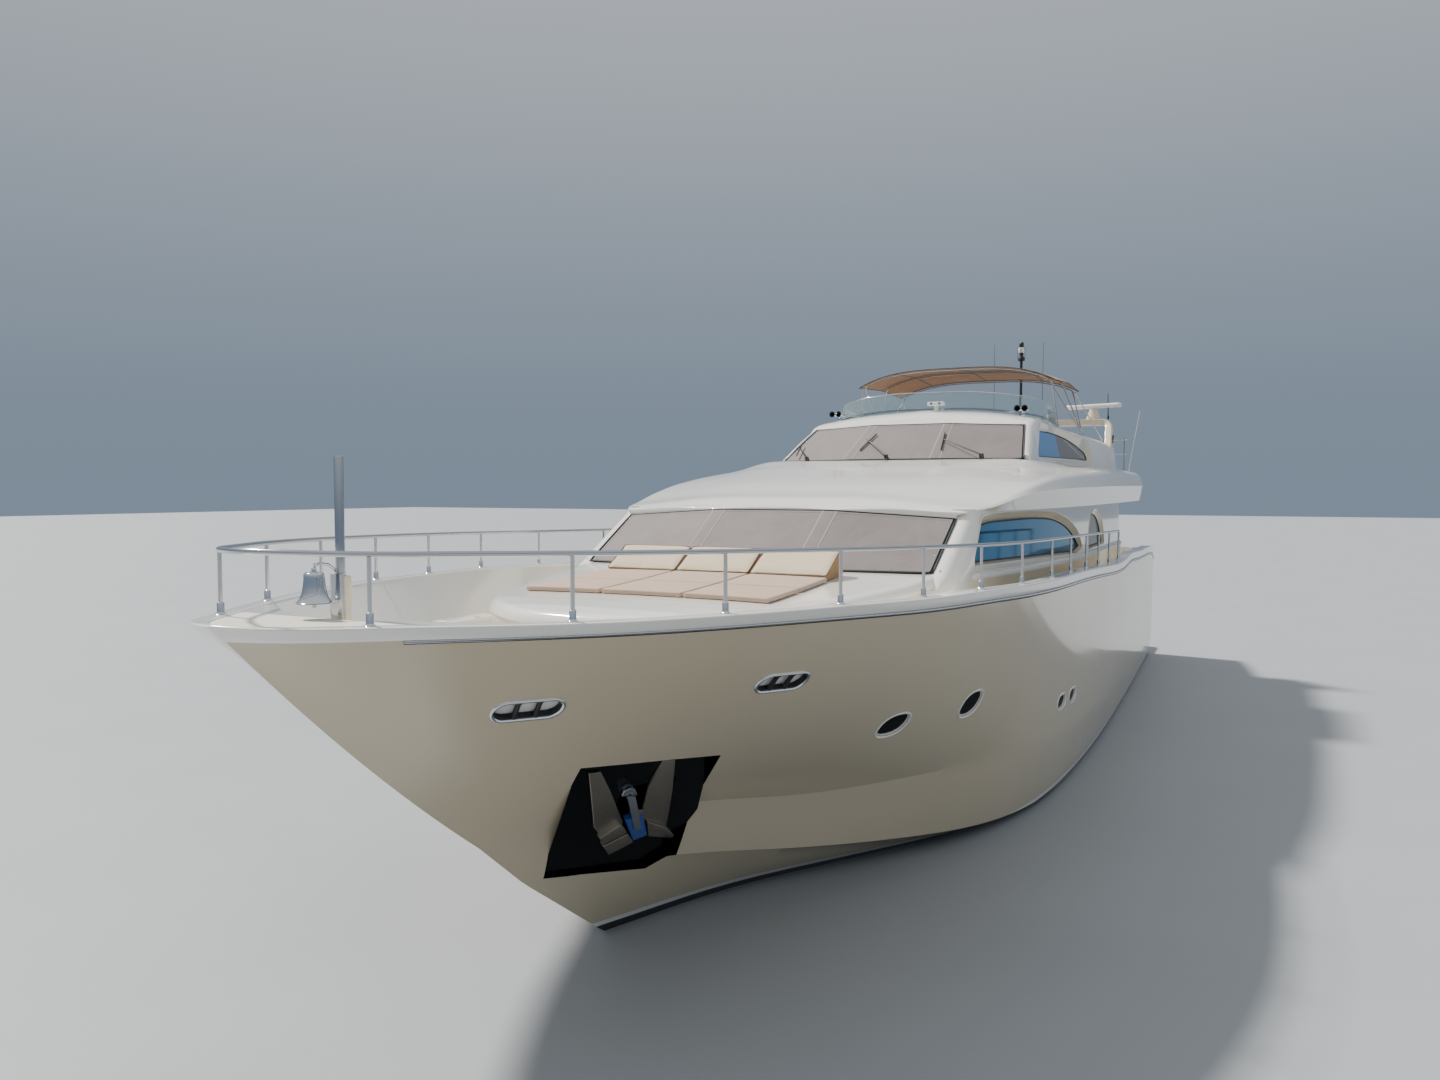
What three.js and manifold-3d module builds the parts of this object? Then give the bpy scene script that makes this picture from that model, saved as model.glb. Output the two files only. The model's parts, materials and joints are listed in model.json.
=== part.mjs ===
// Raised-pilothouse motor yacht, 24.5 m long, afloat on her waterline.
// Millimetres. +X is the bow, +Y is port, +Z is up, and the origin is on the centreline at the waterplane.
import * as THREE from 'three';
import { mergeVertices } from 'three/addons/utils/BufferGeometryUtils.js';
import Module from 'manifold-3d';

const wasm = await Module();
wasm.setup();

// Driving sizes
const GAP = 0.3; // between pieces that touch
const BEAM_HALF = 3150;
const TRANSOM_X = -11050;
const BULWARK = 160; // wall thickness
const COCKPIT_AFT_X = -9950;
const COCKPIT_FRONT_X = -7500;
const COCKPIT_SOLE_Z = 1950;
const HOUSE_FRONT_X = 5040;
const HOUSE_AFT_X = -9000;
const HOUSE_HALF = 2360;
const HOUSE_TOP_Z = 3690;
const HOUSE_WALL = 90;
const SALOON_AFT_X = -7200;
const UPPER_DECK_Z = 4390;
const UPPER_AFT_X = -9100;
const PILOTHOUSE_AFT_X = -2850;
const FLYBRIDGE_AFT_X = -8400;
const PIN_FIT = 0.8; // round a pin, shaft or stock
const RAIL_RADIUS = 18;
const POST_RADIUS = 14;
const SHAFT_Y = 1150;
const RUDDER_X = -10150;
const SIDES = [['port', 1], ['starboard', -1]];

// Finishes: colour, roughness, metalness
const FINISH = {
  gelcoat: ['#d8d2c2', 0.25, 0],
  white: ['#f2f1ec', 0.2, 0],
  cream: ['#e6dcc0', 0.35, 0],
  steel: ['#c9ccce', 0.18, 1],
  bronze: ['#a98a4c', 0.35, 1],
  glass: ['#1f3b52', 0.08, 0],
  clear: ['#cfdde0', 0.05, 0],
  mesh: ['#77706d', 0.9, 0],
  tan: ['#c9ab8c', 0.85, 0],
  beige: ['#e3cfa8', 0.8, 0],
  canvas: ['#9b7448', 0.9, 0],
  teak: ['#9a6a3c', 0.7, 0],
  black: ['#1d1d1f', 0.5, 0],
};

const yacht = new THREE.Group();

// Solids from three.js geometry: merged vertices, no flat triangles, faces outwards
function toSolid(geometry) {
  const bare = geometry.clone();
  bare.deleteAttribute('normal');
  bare.deleteAttribute('uv');
  const merged = mergeVertices(bare, 1e-3);
  const place = merged.attributes.position.array;
  const source = merged.index.array;
  const corner = (k) => new THREE.Vector3(place[3 * k], place[3 * k + 1], place[3 * k + 2]);
  const faces = [];
  let volume = 0;
  for (let k = 0; k < source.length; k += 3) {
    const [a, b, c] = [source[k], source[k + 1], source[k + 2]];
    if (a === b || b === c || c === a) continue;
    faces.push([a, b, c]);
    volume += corner(a).dot(corner(b).cross(corner(c)));
  }
  const turned = volume < 0 ? faces.map(([a, b, c]) => [a, c, b]) : faces;
  return new wasm.Manifold(new wasm.Mesh({
    numProp: 3,
    vertProperties: Float32Array.from(place),
    triVerts: Uint32Array.from(turned.flat()),
  }));
}

const join = (first, ...rest) => rest.reduce((whole, piece) => whole.add(piece), first);
const cut = (first, ...rest) => rest.reduce((whole, piece) => whole.subtract(piece), first);

// A piece cut to sit on another with the gap between them
const seated = (piece, on) => cut(piece, on.translate([0, 0, GAP]));

// A piece grooved all round another
const grooved = (piece, by) => cut(piece, ...[0, 1, 2].flatMap((axis) => [GAP, -GAP].map(
  (move) => by.translate([0, 1, 2].map((k) => (k === axis ? move : 0))),
)));

function add(name, solid, finish) {
  const { vertProperties, triVerts } = solid.getMesh();
  const geometry = new THREE.BufferGeometry();
  geometry.setAttribute('position', new THREE.BufferAttribute(vertProperties, 3));
  geometry.setIndex(new THREE.BufferAttribute(triVerts, 1));
  const [color, roughness, metalness] = FINISH[finish];
  const mesh = new THREE.Mesh(geometry, new THREE.MeshStandardMaterial({ color, roughness, metalness }));
  mesh.name = name;
  yacht.add(mesh);
}

function block(x0, x1, y0, y1, z0, z1) {
  const geometry = new THREE.BoxGeometry(Math.abs(x1 - x0), Math.abs(y1 - y0), Math.abs(z1 - z0));
  return toSolid(geometry.translate((x0 + x1) / 2, (y0 + y1) / 2, (z0 + z1) / 2));
}

// An outline pushed along one axis. The outline is in the other two: x,z for y; y,z for x; x,y for z.
function prism(outline, axis, from, to) {
  const shape = new THREE.Shape(outline.map(([u, v]) => new THREE.Vector2(u, v)));
  const geometry = new THREE.ExtrudeGeometry(shape, { depth: Math.abs(to - from), bevelEnabled: false });
  const [X, Y, Z] = [[1, 0, 0], [0, 1, 0], [0, 0, 1]].map((v) => new THREE.Vector3(...v));
  const low = Math.min(from, to);
  if (axis === 'z') geometry.translate(0, 0, low);
  if (axis === 'x') geometry.applyMatrix4(new THREE.Matrix4().makeBasis(Y, Z, X)).translate(low, 0, 0);
  if (axis === 'y') {
    geometry.applyMatrix4(new THREE.Matrix4().makeBasis(X, Z, Y.clone().negate()));
    geometry.translate(0, Math.max(from, to), 0);
  }
  return toSolid(geometry);
}

// A skin through closed rings with like counts of points, its ends closed flat across one axis
function loft(rings, axis = 'x') {
  const count = rings[0].length;
  const index = [];
  for (let s = 0; s + 1 < rings.length; s++) {
    for (let k = 0; k < count; k++) {
      const a = s * count + k;
      const b = s * count + ((k + 1) % count);
      index.push(a, b, b + count, a, b + count, a + count);
    }
  }
  const [u, v] = { x: [1, 2], y: [2, 0], z: [0, 1] }[axis];
  for (const [s, reverse] of [[0, true], [rings.length - 1, false]]) {
    const flat = rings[s].map((p) => new THREE.Vector2(p[u], p[v]));
    const area = THREE.ShapeUtils.area(flat);
    if (Math.abs(area) < 1) continue;
    for (const [a, b, c] of THREE.ShapeUtils.triangulateShape(flat.slice(), [])) {
      const turn = Math.sign(THREE.ShapeUtils.area([flat[a], flat[b], flat[c]])) * Math.sign(area);
      const [p, q, r] = turn > 0 ? [a, b, c] : [a, c, b];
      index.push(...(reverse ? [p, r, q] : [p, q, r]).map((k) => k + s * count));
    }
  }
  const geometry = new THREE.BufferGeometry();
  geometry.setAttribute('position', new THREE.Float32BufferAttribute(rings.flat(2), 3));
  geometry.setIndex(index);
  return toSolid(geometry);
}

// A closed plate between two like grids of points
function slab(front, back) {
  const [rows, columns] = [front.length - 1, front[0].length - 1];
  const index = [];
  const quad = (a, b, c, d) => index.push(a, b, c, a, c, d);
  const f = (r, c) => r * (columns + 1) + c;
  const g = (r, c) => (rows + 1) * (columns + 1) + f(r, c);
  for (let r = 0; r < rows; r++) {
    for (let c = 0; c < columns; c++) {
      quad(f(r, c), f(r + 1, c), f(r + 1, c + 1), f(r, c + 1));
      quad(g(r, c), g(r, c + 1), g(r + 1, c + 1), g(r + 1, c));
    }
    quad(f(r, 0), g(r, 0), g(r + 1, 0), f(r + 1, 0));
    quad(f(r, columns), f(r + 1, columns), g(r + 1, columns), g(r, columns));
  }
  for (let c = 0; c < columns; c++) {
    quad(f(0, c), f(0, c + 1), g(0, c + 1), g(0, c));
    quad(f(rows, c), g(rows, c), g(rows, c + 1), f(rows, c + 1));
  }
  const geometry = new THREE.BufferGeometry();
  geometry.setAttribute('position', new THREE.Float32BufferAttribute([...front, ...back].flat(2), 3));
  geometry.setIndex(index);
  return toSolid(geometry);
}

// A round bar between two points
function rod(from, to, radius, sides = 12, endRadius = radius) {
  const [a, b] = [new THREE.Vector3(...from), new THREE.Vector3(...to)];
  const along = b.clone().sub(a);
  const geometry = new THREE.CylinderGeometry(endRadius, radius, along.length(), sides);
  geometry.translate(0, along.length() / 2, 0);
  const turn = new THREE.Quaternion().setFromUnitVectors(new THREE.Vector3(0, 1, 0), along.normalize());
  return toSolid(geometry.applyQuaternion(turn).translate(...from));
}

// A round tube along points; a tension of 0 runs straight between them
function tube(points, radius, sides, steps, tension = 0.5) {
  const places = points.map((p) => new THREE.Vector3(...p));
  const path = new THREE.CatmullRomCurve3(places, false, 'catmullrom', tension);
  const ring = new THREE.Shape().absarc(0, 0, radius, 0, 2 * Math.PI);
  return toSolid(new THREE.ExtrudeGeometry(ring, {
    extrudePath: path, steps, curveSegments: sides / 2, bevelEnabled: false,
  }));
}

// A turned piece about a vertical axis through a foot point: profile rows are [radius, height]
function turned(profile, foot, segments = 20) {
  const geometry = new THREE.LatheGeometry(profile.map(([r, h]) => new THREE.Vector2(r, h)), segments);
  geometry.rotateX(Math.PI / 2);
  return toSolid(geometry.translate(...foot));
}

// Value at x in a table whose first column is x, falling from the bow aft
function at(table, x, column) {
  if (x >= table[0][0]) return table[0][column];
  for (let k = 1; k < table.length; k++) {
    const [ahead, behind] = [table[k - 1], table[k]];
    if (x >= behind[0]) {
      const share = (ahead[0] - x) / (ahead[0] - behind[0]);
      return ahead[column] + share * (behind[column] - ahead[column]);
    }
  }
  return table[table.length - 1][column];
}

// Hull: solid to the deck, from lines that run from the stem to the transom
// Columns: x, half breadth, height
const HULL_LINES = {
  gunwale: [
    [12250, 0, 3200], [12100, 330, 3185], [11700, 700, 3165], [10770, 1420, 3125], [9740, 2000, 3100],
    [8670, 2450, 3080], [7570, 2790, 3050], [6460, 3010, 3030], [5350, 3120, 2990],
    [2000, BEAM_HALF, 2890], [-500, BEAM_HALF, 2800], [-2900, 3140, 2720], [-3700, 3130, 2790],
    [-5500, 3120, 2760], [-9400, 3060, 2650], [TRANSOM_X, 2950, 2450],
  ],
  flare: [
    [11200, 0, 2230], [10440, 630, 2300], [8700, 1720, 2300], [7000, 2450, 2200], [5000, 2900, 2100],
    [2000, 3110, 2000], [-4000, 3120, 1800], [TRANSOM_X, 2940, 1500],
  ],
  knuckle: [
    [10000, 0, 1270], [7950, 760, 1180], [6800, 1250, 1010], [5800, 1900, 990], [4300, 2650, 980],
    [1900, 3040, 870], [-3500, 3080, 700], [TRANSOM_X, 2920, 560],
  ],
  chineTop: [
    [9500, 0, 850], [8100, 640, 730], [6900, 1160, 500], [5600, 1860, 315], [4400, 2390, 185],
    [1000, 2900, 20], [-3500, 2950, -90], [TRANSOM_X, 2850, -140],
  ],
  chine: [
    [9380, 0, 760], [8060, 570, 700], [6880, 1080, 470], [5580, 1780, 290], [4380, 2310, 160],
    [1000, 2820, 0], [-3500, 2870, -110], [TRANSOM_X, 2770, -160],
  ],
  keel: [
    [8400, 0, 60], [7700, 0, -350], [6300, 0, -740], [4000, 0, -1000], [0, 0, -1120],
    [-5000, 0, -1080], [TRANSOM_X, 0, -820],
  ],
};
const HULL_STATIONS = 30;
const lineCurve = (rows) => new THREE.CatmullRomCurve3(rows.map((p) => new THREE.Vector3(...p)), false);
const hullCurves = Object.fromEntries(
  Object.entries(HULL_LINES).map(([name, rows]) => [name, lineCurve(rows)]),
);
const onHull = (name, share, side) => {
  const p = hullCurves[name].getPointAt(share);
  return [p.x, p.y * side, p.z];
};
const stationShare = (k) => (k / HULL_STATIONS) ** 1.25;
const [gunwaleRows, flareRows] = ['gunwale', 'flare'].map(
  (name) => Array.from({ length: 121 }, (_, k) => onHull(name, k / 120, 1)),
);

// Deck inside the bulwarks. Columns: x, height
const DECK = [
  [11420, 2840], [10900, 2620], [10300, 2490], [9600, 2440], [9000, 2420], [5600, 2400], [3200, 2240],
  [0, 2140], [-7400, 2060],
  [COCKPIT_FRONT_X, COCKPIT_SOLE_Z], [COCKPIT_AFT_X, COCKPIT_SOLE_Z],
];
const BOW_PLATFORM_AFT = [[11420, 250], [10900, 1080]]; // x, half width of the well behind it
const WELL_STATIONS = [11420, 10900, 10300, 9600, 8700, 7600, 6500, 5350, 3700, 2000, 0, -2900, -3700,
  -5500, -7400, COCKPIT_FRONT_X, -8700, COCKPIT_AFT_X];
// Half breadth of the topsides at a height, between the flare line and the gunwale; the stem closes the bow
const topsideHalf = (x, z) => {
  const [high, top] = [at(gunwaleRows, x, 1), at(gunwaleRows, x, 2)];
  const stemX = HULL_LINES.flare[0][0];
  const stemShare = Math.max(x - stemX, 0) / (HULL_LINES.gunwale[0][0] - stemX);
  const low = at(flareRows, x, 1);
  const foot = at(flareRows, x, 2) + stemShare * (top - at(flareRows, x, 2));
  return low + (high - low) * Math.min((z - foot) / (top - foot), 1);
};
const wellHalf = (x, z) => Math.min(
  topsideHalf(x, z) - BULWARK,
  x > BOW_PLATFORM_AFT[1][0] ? at(BOW_PLATFORM_AFT, x, 1) : BEAM_HALF,
);

const hullRings = Array.from({ length: HULL_STATIONS + 1 }, (_, k) => {
  const names = Object.keys(HULL_LINES);
  const port = names.map((name) => onHull(name, stationShare(k), 1));
  const starboard = names.slice(0, -1).map((name) => onHull(name, stationShare(k), -1)).reverse();
  return [...port, ...starboard];
});
const wellRings = WELL_STATIONS.map((x) => {
  const [floor, rim] = [at(DECK, x, 1), at(gunwaleRows, x, 2) - 60];
  const [foot, head] = [wellHalf(x, floor), wellHalf(x, rim)];
  return [[x, -foot, floor], [x, foot, floor], [x, head, rim], [x, head, 3600], [x, -head, 3600], [x, -head, rim]];
});

// Stairs down from the cockpit to the swim platform, one flight each side
const STAIR = { inner: 1720, outer: 2560, front: COCKPIT_AFT_X + 10, tread: 220, rise: 270, steps: 5 };
const stairCuts = (side) => Array.from({ length: STAIR.steps }, (_, k) => block(
  STAIR.front - k * STAIR.tread, TRANSOM_X - 50, side * STAIR.inner, side * STAIR.outer,
  COCKPIT_SOLE_Z - k * STAIR.rise, 3000,
));

// Shafts, their bores in the hull, and the rudder stocks' bores
const SHAFT = { frontX: -4900, frontZ: -645, propX: -9350, propZ: -1280, radius: 38, bore: 60 };
const shaftPoint = (x, side) => {
  const share = (x - SHAFT.frontX) / (SHAFT.propX - SHAFT.frontX);
  return [x, side * SHAFT_Y, SHAFT.frontZ + share * (SHAFT.propZ - SHAFT.frontZ)];
};
const STOCK_RADIUS = 35;

// Anchor pocket on each bow, on a plane laid against the flare
const POCKET = {
  centre: [8700, 680, 1262],
  normal: [0.332, 0.775, -0.538],
  outline: [[-860, 700], [480, 620], [660, -180], [500, -640], [280, -760], [-800, -540]],
  plateDepth: 70,
  recess: [[-330, 330], [230, 330], [230, -330], [-330, -330]],
  recessDepth: 420,
};
function pocketMatrix(side) {
  const n = new THREE.Vector3(...POCKET.normal).normalize();
  const u = new THREE.Vector3(-n.y, n.x, 0).normalize();
  const v = n.clone().cross(u);
  const matrix = new THREE.Matrix4().makeBasis(u, v, n).setPosition(...POCKET.centre);
  return new THREE.Matrix4().makeScale(1, side, 1).multiply(matrix);
}
function onPocket(outline, low, high, side) {
  const shape = new THREE.Shape(outline.map(([u, v]) => new THREE.Vector2(u, v)));
  const geometry = new THREE.ExtrudeGeometry(shape, { depth: high - low, bevelEnabled: false });
  return toSolid(geometry.translate(0, 0, low).applyMatrix4(pocketMatrix(side)));
}
const grown = (outline, by) => outline.map(([u, v]) => [u + Math.sign(u) * by, v + Math.sign(v) * by]);

// Rope lockers beside the foredeck trunk's nose, moulded with the deck
const LOCKER = { frontX: 8250, aftX: 7500, inner: 1740, outer: 1990, top: 2640, wall: 20, lid: 30, inside: 2440 };
const lockerBox = (side, by, low, high) => block(
  LOCKER.aftX + by, LOCKER.frontX - by, side * (LOCKER.inner + by), side * (LOCKER.outer - by), low, high,
);

// Sizes of the struts that carry the shafts
const STRUT = { frontX: -8780, aftX: -9080, barrel: 78, thick: 36 };
const strutParts = (side) => [
  prism([[-8800, -160], [-9060, -160], [-9030, -1220], [-8830, -1220]],
    'y', side * SHAFT_Y - STRUT.thick / 2, side * SHAFT_Y + STRUT.thick / 2),
  rod(shaftPoint(STRUT.frontX, side), shaftPoint(STRUT.aftX, side), STRUT.barrel, 20),
];

// Gates at the heads of the transom stairs, each on a pin held by two lugs
const GATE = {
  thick: 30, inner: 1735, pinX: COCKPIT_AFT_X + 24, pinY: 2590, pin: 8, low: COCKPIT_SOLE_Z + 20, high: 2600,
  lugs: [[2080, 2120], [2440, 2480]], lug: 12,
};
const gateLugs = (side) => GATE.lugs.map(([low, high]) => block(
  COCKPIT_AFT_X - 20, GATE.pinX + GATE.lug, side * (GATE.pinY - GATE.lug), side * (GATE.pinY + GATE.lug), low, high,
));
const gatePin = (side, radius) => rod(
  [GATE.pinX, side * GATE.pinY, GATE.low + 20], [GATE.pinX, side * GATE.pinY, GATE.high - 20], radius, 24,
);

// The bulwarks stand on the deck's edge from the bow platform to the transom gates
const BULWARK_AFT_X = COCKPIT_AFT_X + 70;
const aboveDeck = (lift, ends) => loft(
  [WELL_STATIONS[0] - ends, ...WELL_STATIONS.slice(1, -1), BULWARK_AFT_X + ends].map((x) => {
    const floor = at(DECK, x, 1) + lift;
    return [[x, -4000, floor], [x, 4000, floor], [x, 4000, 3700], [x, -4000, 3700]];
  }),
);
const moulding = cut(loft(hullRings), loft(wellRings));
const bulwarks = SIDES.map(([, side]) => cut(
  moulding.intersect(aboveDeck(GAP, GAP)).intersect(block(-12000, 13000, 0, side * 4000, 0, 4000)),
  lockerBox(side, -GAP, LOCKER.inside - 40, LOCKER.top + GAP),
));

let hull = cut(moulding, aboveDeck(0, 0));
for (const [, side] of SIDES) {
  hull = cut(
    join(hull, lockerBox(side, 0, LOCKER.inside - 40, LOCKER.top), ...gateLugs(side)),
    lockerBox(side, LOCKER.wall, LOCKER.inside, 3000),
    gatePin(side, GATE.pin + PIN_FIT),
    ...stairCuts(side),
    rod(shaftPoint(-4300, side), shaftPoint(-6600, side), SHAFT.bore),
    rod([RUDDER_X, side * SHAFT_Y, -900], [RUDDER_X, side * SHAFT_Y, -150], STOCK_RADIUS + PIN_FIT, 32),
    onPocket(POCKET.outline, -POCKET.plateDepth, 400, side),
    onPocket(POCKET.recess, -POCKET.recessDepth, 0, side),
  );
}
add('hull', hull, 'gelcoat');
SIDES.forEach(([label], k) => add(`bulwark_${label}`, bulwarks[k], 'gelcoat'));
const topsides = join(hull, ...bulwarks);

// Struts under the hull, each with a bearing round its shaft
for (const [label, side] of SIDES) {
  add(`shaft_strut_${label}`, cut(
    join(...strutParts(side)),
    rod(shaftPoint(STRUT.frontX + 150, side), shaftPoint(STRUT.aftX - 150, side), SHAFT.radius + PIN_FIT, 20),
    hull.translate([0, 0, -GAP]),
  ), 'bronze');
}

// Swim platform across the transom
const PLATFORM = { aftX: -12280, half: 2650, low: 360, high: 470, corner: 300 };
add('swim_platform', prism([
  [TRANSOM_X - GAP, -PLATFORM.half], [TRANSOM_X - GAP, PLATFORM.half],
  [PLATFORM.aftX + PLATFORM.corner, PLATFORM.half], [PLATFORM.aftX, PLATFORM.half - PLATFORM.corner],
  [PLATFORM.aftX, PLATFORM.corner - PLATFORM.half], [PLATFORM.aftX + PLATFORM.corner, -PLATFORM.half],
], 'z', PLATFORM.low, PLATFORM.high), 'teak');

// Bow rail: one top tube round the nose on posts that stand on the gunwale
const RAIL = { inset: 95, endX: -3050 };
const RAIL_POSTS = [11670, 10710, 9700, 8640, 7560, 6450, 5180, 3640, 2200, 800, -450, -1700, -3020]; // x
const RAIL_TOP = [[12250, 3600], [11640, 3580], [5350, 3410], [-3050, 3230]]; // x, height
const railAt = (x, side) => [x, side * (at(gunwaleRows, x, 1) - RAIL.inset), at(RAIL_TOP, x, 1)];
const railXs = [11640, 11100, 10300, 9300, 8200, 7000, 5600, 4000, 2000, 0, -1600, RAIL.endX];
const railNose = [[11930, 250], [12010, 0]]; // x, half breadth
const railPoints = [
  ...railXs.slice().reverse().map((x) => railAt(x, -1)),
  [railNose[0][0], -railNose[0][1], 3595], [railNose[1][0], 0, 3600], [railNose[0][0], railNose[0][1], 3595],
  ...railXs.map((x) => railAt(x, 1)),
];
const railPosts = SIDES.flatMap(([, side]) => RAIL_POSTS.map((x) => {
  const [, y, z] = railAt(x, side);
  return rod([x, y, at(gunwaleRows, x, 2) - 20], [x, y, z], POST_RADIUS, 8);
}));
add('bow_rail', seated(join(tube(railPoints, RAIL_RADIUS, 8, 64), ...railPosts), topsides), 'steel');

// Jack staff at the bow with its bell
const STAFF = { x: 11290, postTop: 3410, top: 4160, radius: 33, bellX: 11500, bellZ: 3220 };
const staffPost = join(
  block(STAFF.x - 60, STAFF.x + 60, -55, 55, at(DECK, STAFF.x, 1) + GAP, STAFF.postTop),
  rod([STAFF.x + 45, 0, 3470], [STAFF.bellX, 0, 3470], 9),
  rod([STAFF.bellX - 8, 0, STAFF.bellZ + 240 + GAP], [STAFF.bellX - 8, 0, 3475], 8),
  block(STAFF.x + 36, STAFF.x + 60, -20, 20, STAFF.postTop - 60, 3500),
  rod([STAFF.x, 0, STAFF.postTop - 100], [STAFF.x, 0, STAFF.top], STAFF.radius, 20),
);
add('jack_staff', seated(staffPost, hull), 'steel');
add('bow_bell', turned([
  [0, 200], [50, 200], [62, 180], [70, 110], [84, 40], [112, 0], [104, 0], [76, 40], [62, 110], [50, 170], [0, 185],
], [STAFF.bellX, 0, STAFF.bellZ + 40], 24), 'steel');

// Anchors in their pockets
for (const [label, side] of SIDES) {
  const wall = grown(POCKET.recess, -GAP);
  const plate = cut(
    onPocket(grown(POCKET.outline, -1), -POCKET.plateDepth + GAP, -POCKET.plateDepth + 12, side),
    onPocket(grown(POCKET.recess, -12), -POCKET.plateDepth - 10, 100, side),
  );
  const well = cut(
    onPocket(wall, -POCKET.recessDepth + GAP, -POCKET.plateDepth + 6, side),
    onPocket(grown(POCKET.recess, -12), -POCKET.recessDepth + 10, 100, side),
  );
  add(`anchor_plate_${label}`, join(plate, well), 'steel');
  const shank = onPocket([[-35, 260], [35, 260], [45, -200], [-45, -200]], -300, -190, side);
  const crown = onPocket([[-200, -120], [200, -120], [190, -230], [-190, -230]], -330, -130, side);
  const flukes = [-1, 1].map((turn) => onPocket(
    [[turn * 60, -200], [turn * 200, -200], [turn * 150, 150]], -400, -330 + 30, side,
  ));
  const seat = onPocket([[-30, -100], [30, -100], [30, -180], [-30, -180]], -POCKET.recessDepth + 10 + GAP, -320, side);
  add(`anchor_${label}`, join(shank, crown, ...flukes, seat), 'steel');
}

// Foredeck trunk under the sunpads. Columns: x, half width, edge height, crown height
const TRUNK = [
  [8740, 250, 2840, 2850], [8650, 700, 2880, 2895], [8450, 1080, 2905, 2925], [8100, 1420, 2925, 2945],
  [7500, 1690, 2940, 2960], [6800, 1900, 2965, 2995], [6000, 2090, 3005, 3045],
  [5560, 2180, 3040, 3070], [5300, 2225, 3066, 3072], [HOUSE_FRONT_X + GAP, 2250, 3070, 3072],
];
const trunkTop = (x) => at(TRUNK, x, 3);
const TRUNK_ROUND = 80;
const trunk = seated(loft(TRUNK.map(([x, w, edge, crown]) => {
  const base = at(DECK, x, 1) - 20;
  return [
    [x, -w + 60, base], [x, w - 60, base], [x, w, edge - 2 * TRUNK_ROUND], [x, w, edge - TRUNK_ROUND],
    [x, w - TRUNK_ROUND / 3, edge - TRUNK_ROUND / 3], [x, w - TRUNK_ROUND, edge], [x, w * 0.45, crown],
    [x, -w * 0.45, crown], [x, -w + TRUNK_ROUND, edge], [x, -w + TRUNK_ROUND / 3, edge - TRUNK_ROUND / 3],
    [x, -w, edge - TRUNK_ROUND], [x, -w, edge - 2 * TRUNK_ROUND],
  ];
})), hull);
add('foredeck_trunk', trunk, 'white');

// Sunpads and their three wedge backrests
const PAD = { frontX: 7690, backX: 6240, half: 1330, thick: 45 };
const padStations = [PAD.frontX, 7500, 6800, PAD.backX];
add('sunpad', loft(padStations.map((x) => {
  const [low, edge] = [trunkTop(x) + GAP, x === PAD.frontX ? PAD.half - 30 : PAD.half];
  return [[x, -edge, low], [x, edge, low], [x, edge, low + PAD.thick], [x, -edge, low + PAD.thick]];
})), 'tan');
const REST = { width: 860, gap: 14, back: 5720, front: 6228, top: 3310, lift: 5840 };
for (const [label, place] of [['port', 1], ['centre', 0], ['starboard', -1]]) {
  const middle = place * (REST.width + REST.gap);
  const foot = [REST.back, 6000, REST.front].map((x) => [x, trunkTop(x) + GAP]);
  add(`backrest_${label}`, prism([
    ...foot, [REST.front, trunkTop(6000) + 30], [REST.lift, REST.top], [REST.back + 30, REST.top - 25],
  ], 'y', middle - REST.width / 2, middle + REST.width / 2), 'beige');
}

// Lids of the two deck lockers, hinged on their outboard edges
for (const [label, side] of SIDES) {
  add(`locker_lid_${label}`, lockerBox(side, -8, LOCKER.top + GAP, LOCKER.top + GAP + LOCKER.lid), 'white');
}

// Main deckhouse: side walls with arched windows, open at the top and ends
// Columns: x, half width, top height
const HOUSE = [
  [HOUSE_FRONT_X, 2300, 3270], [4340, 2350, 3620], [4200, HOUSE_HALF, HOUSE_TOP_Z],
  [0, HOUSE_HALF, HOUSE_TOP_Z], [-7400, HOUSE_HALF, HOUSE_TOP_Z], [COCKPIT_FRONT_X, HOUSE_HALF, HOUSE_TOP_Z],
  [HOUSE_AFT_X, HOUSE_HALF - 20, HOUSE_TOP_Z],
];
const WINDOW_MAIN = [
  [4480, 3130], [4040, 3530], [3500, 3560], [800, 3540], [-900, 3480], [-2100, 3330], [-2950, 3130],
  [-3480, 2930], [-2890, 2870],
];
const WINDOW_AFT = [
  [-4350, 2860], [-4400, 3200], [-4700, 3400], [-5200, 3480], [-5800, 3380], [-6250, 3150], [-6500, 2860],
];
const houseRing = ([x, w, top], side, low) => [
  [x, side * (w - HOUSE_WALL), low], [x, side * w, low], [x, side * w, top], [x, side * (w - HOUSE_WALL), top],
];
const windowCut = (outline, side) => prism(outline, 'y', side * 2100, side * 2600);
const houseSides = SIDES.map(([, side]) => cut(
  join(
    loft(HOUSE.map((row) => houseRing(row, side, at(DECK, row[0], 1) - 20))),
    loft([[5330, 2240, 3125], [HOUSE_FRONT_X, 2300, 3270]].map((row) => houseRing(row, side, 3076))),
  ),
  windowCut(WINDOW_MAIN, side),
  windowCut(WINDOW_AFT, side),
));
const houseSill = block(HOUSE_FRONT_X - 60, HOUSE_FRONT_X, -2260, 2260, at(DECK, 5000, 1) + GAP + 8, 3100);
add('main_house', seated(join(houseSides[0], houseSides[1], houseSill), hull), 'white');

// An outline drawn in by a distance, edge by edge
function shrunk(outline, by) {
  const points = outline.map(([u, v]) => new THREE.Vector2(u, v));
  const inward = Math.sign(THREE.ShapeUtils.area(points));
  return points.map((p, k) => {
    const before = p.clone().sub(points.at(k - 1)).normalize();
    const after = points[(k + 1) % points.length].clone().sub(p).normalize();
    const [m, n] = [before, after].map((d) => new THREE.Vector2(-d.y, d.x).multiplyScalar(inward));
    const move = m.clone().add(n).divideScalar(1 + m.dot(n));
    return p.clone().addScaledVector(move, by).toArray();
  });
}

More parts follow.
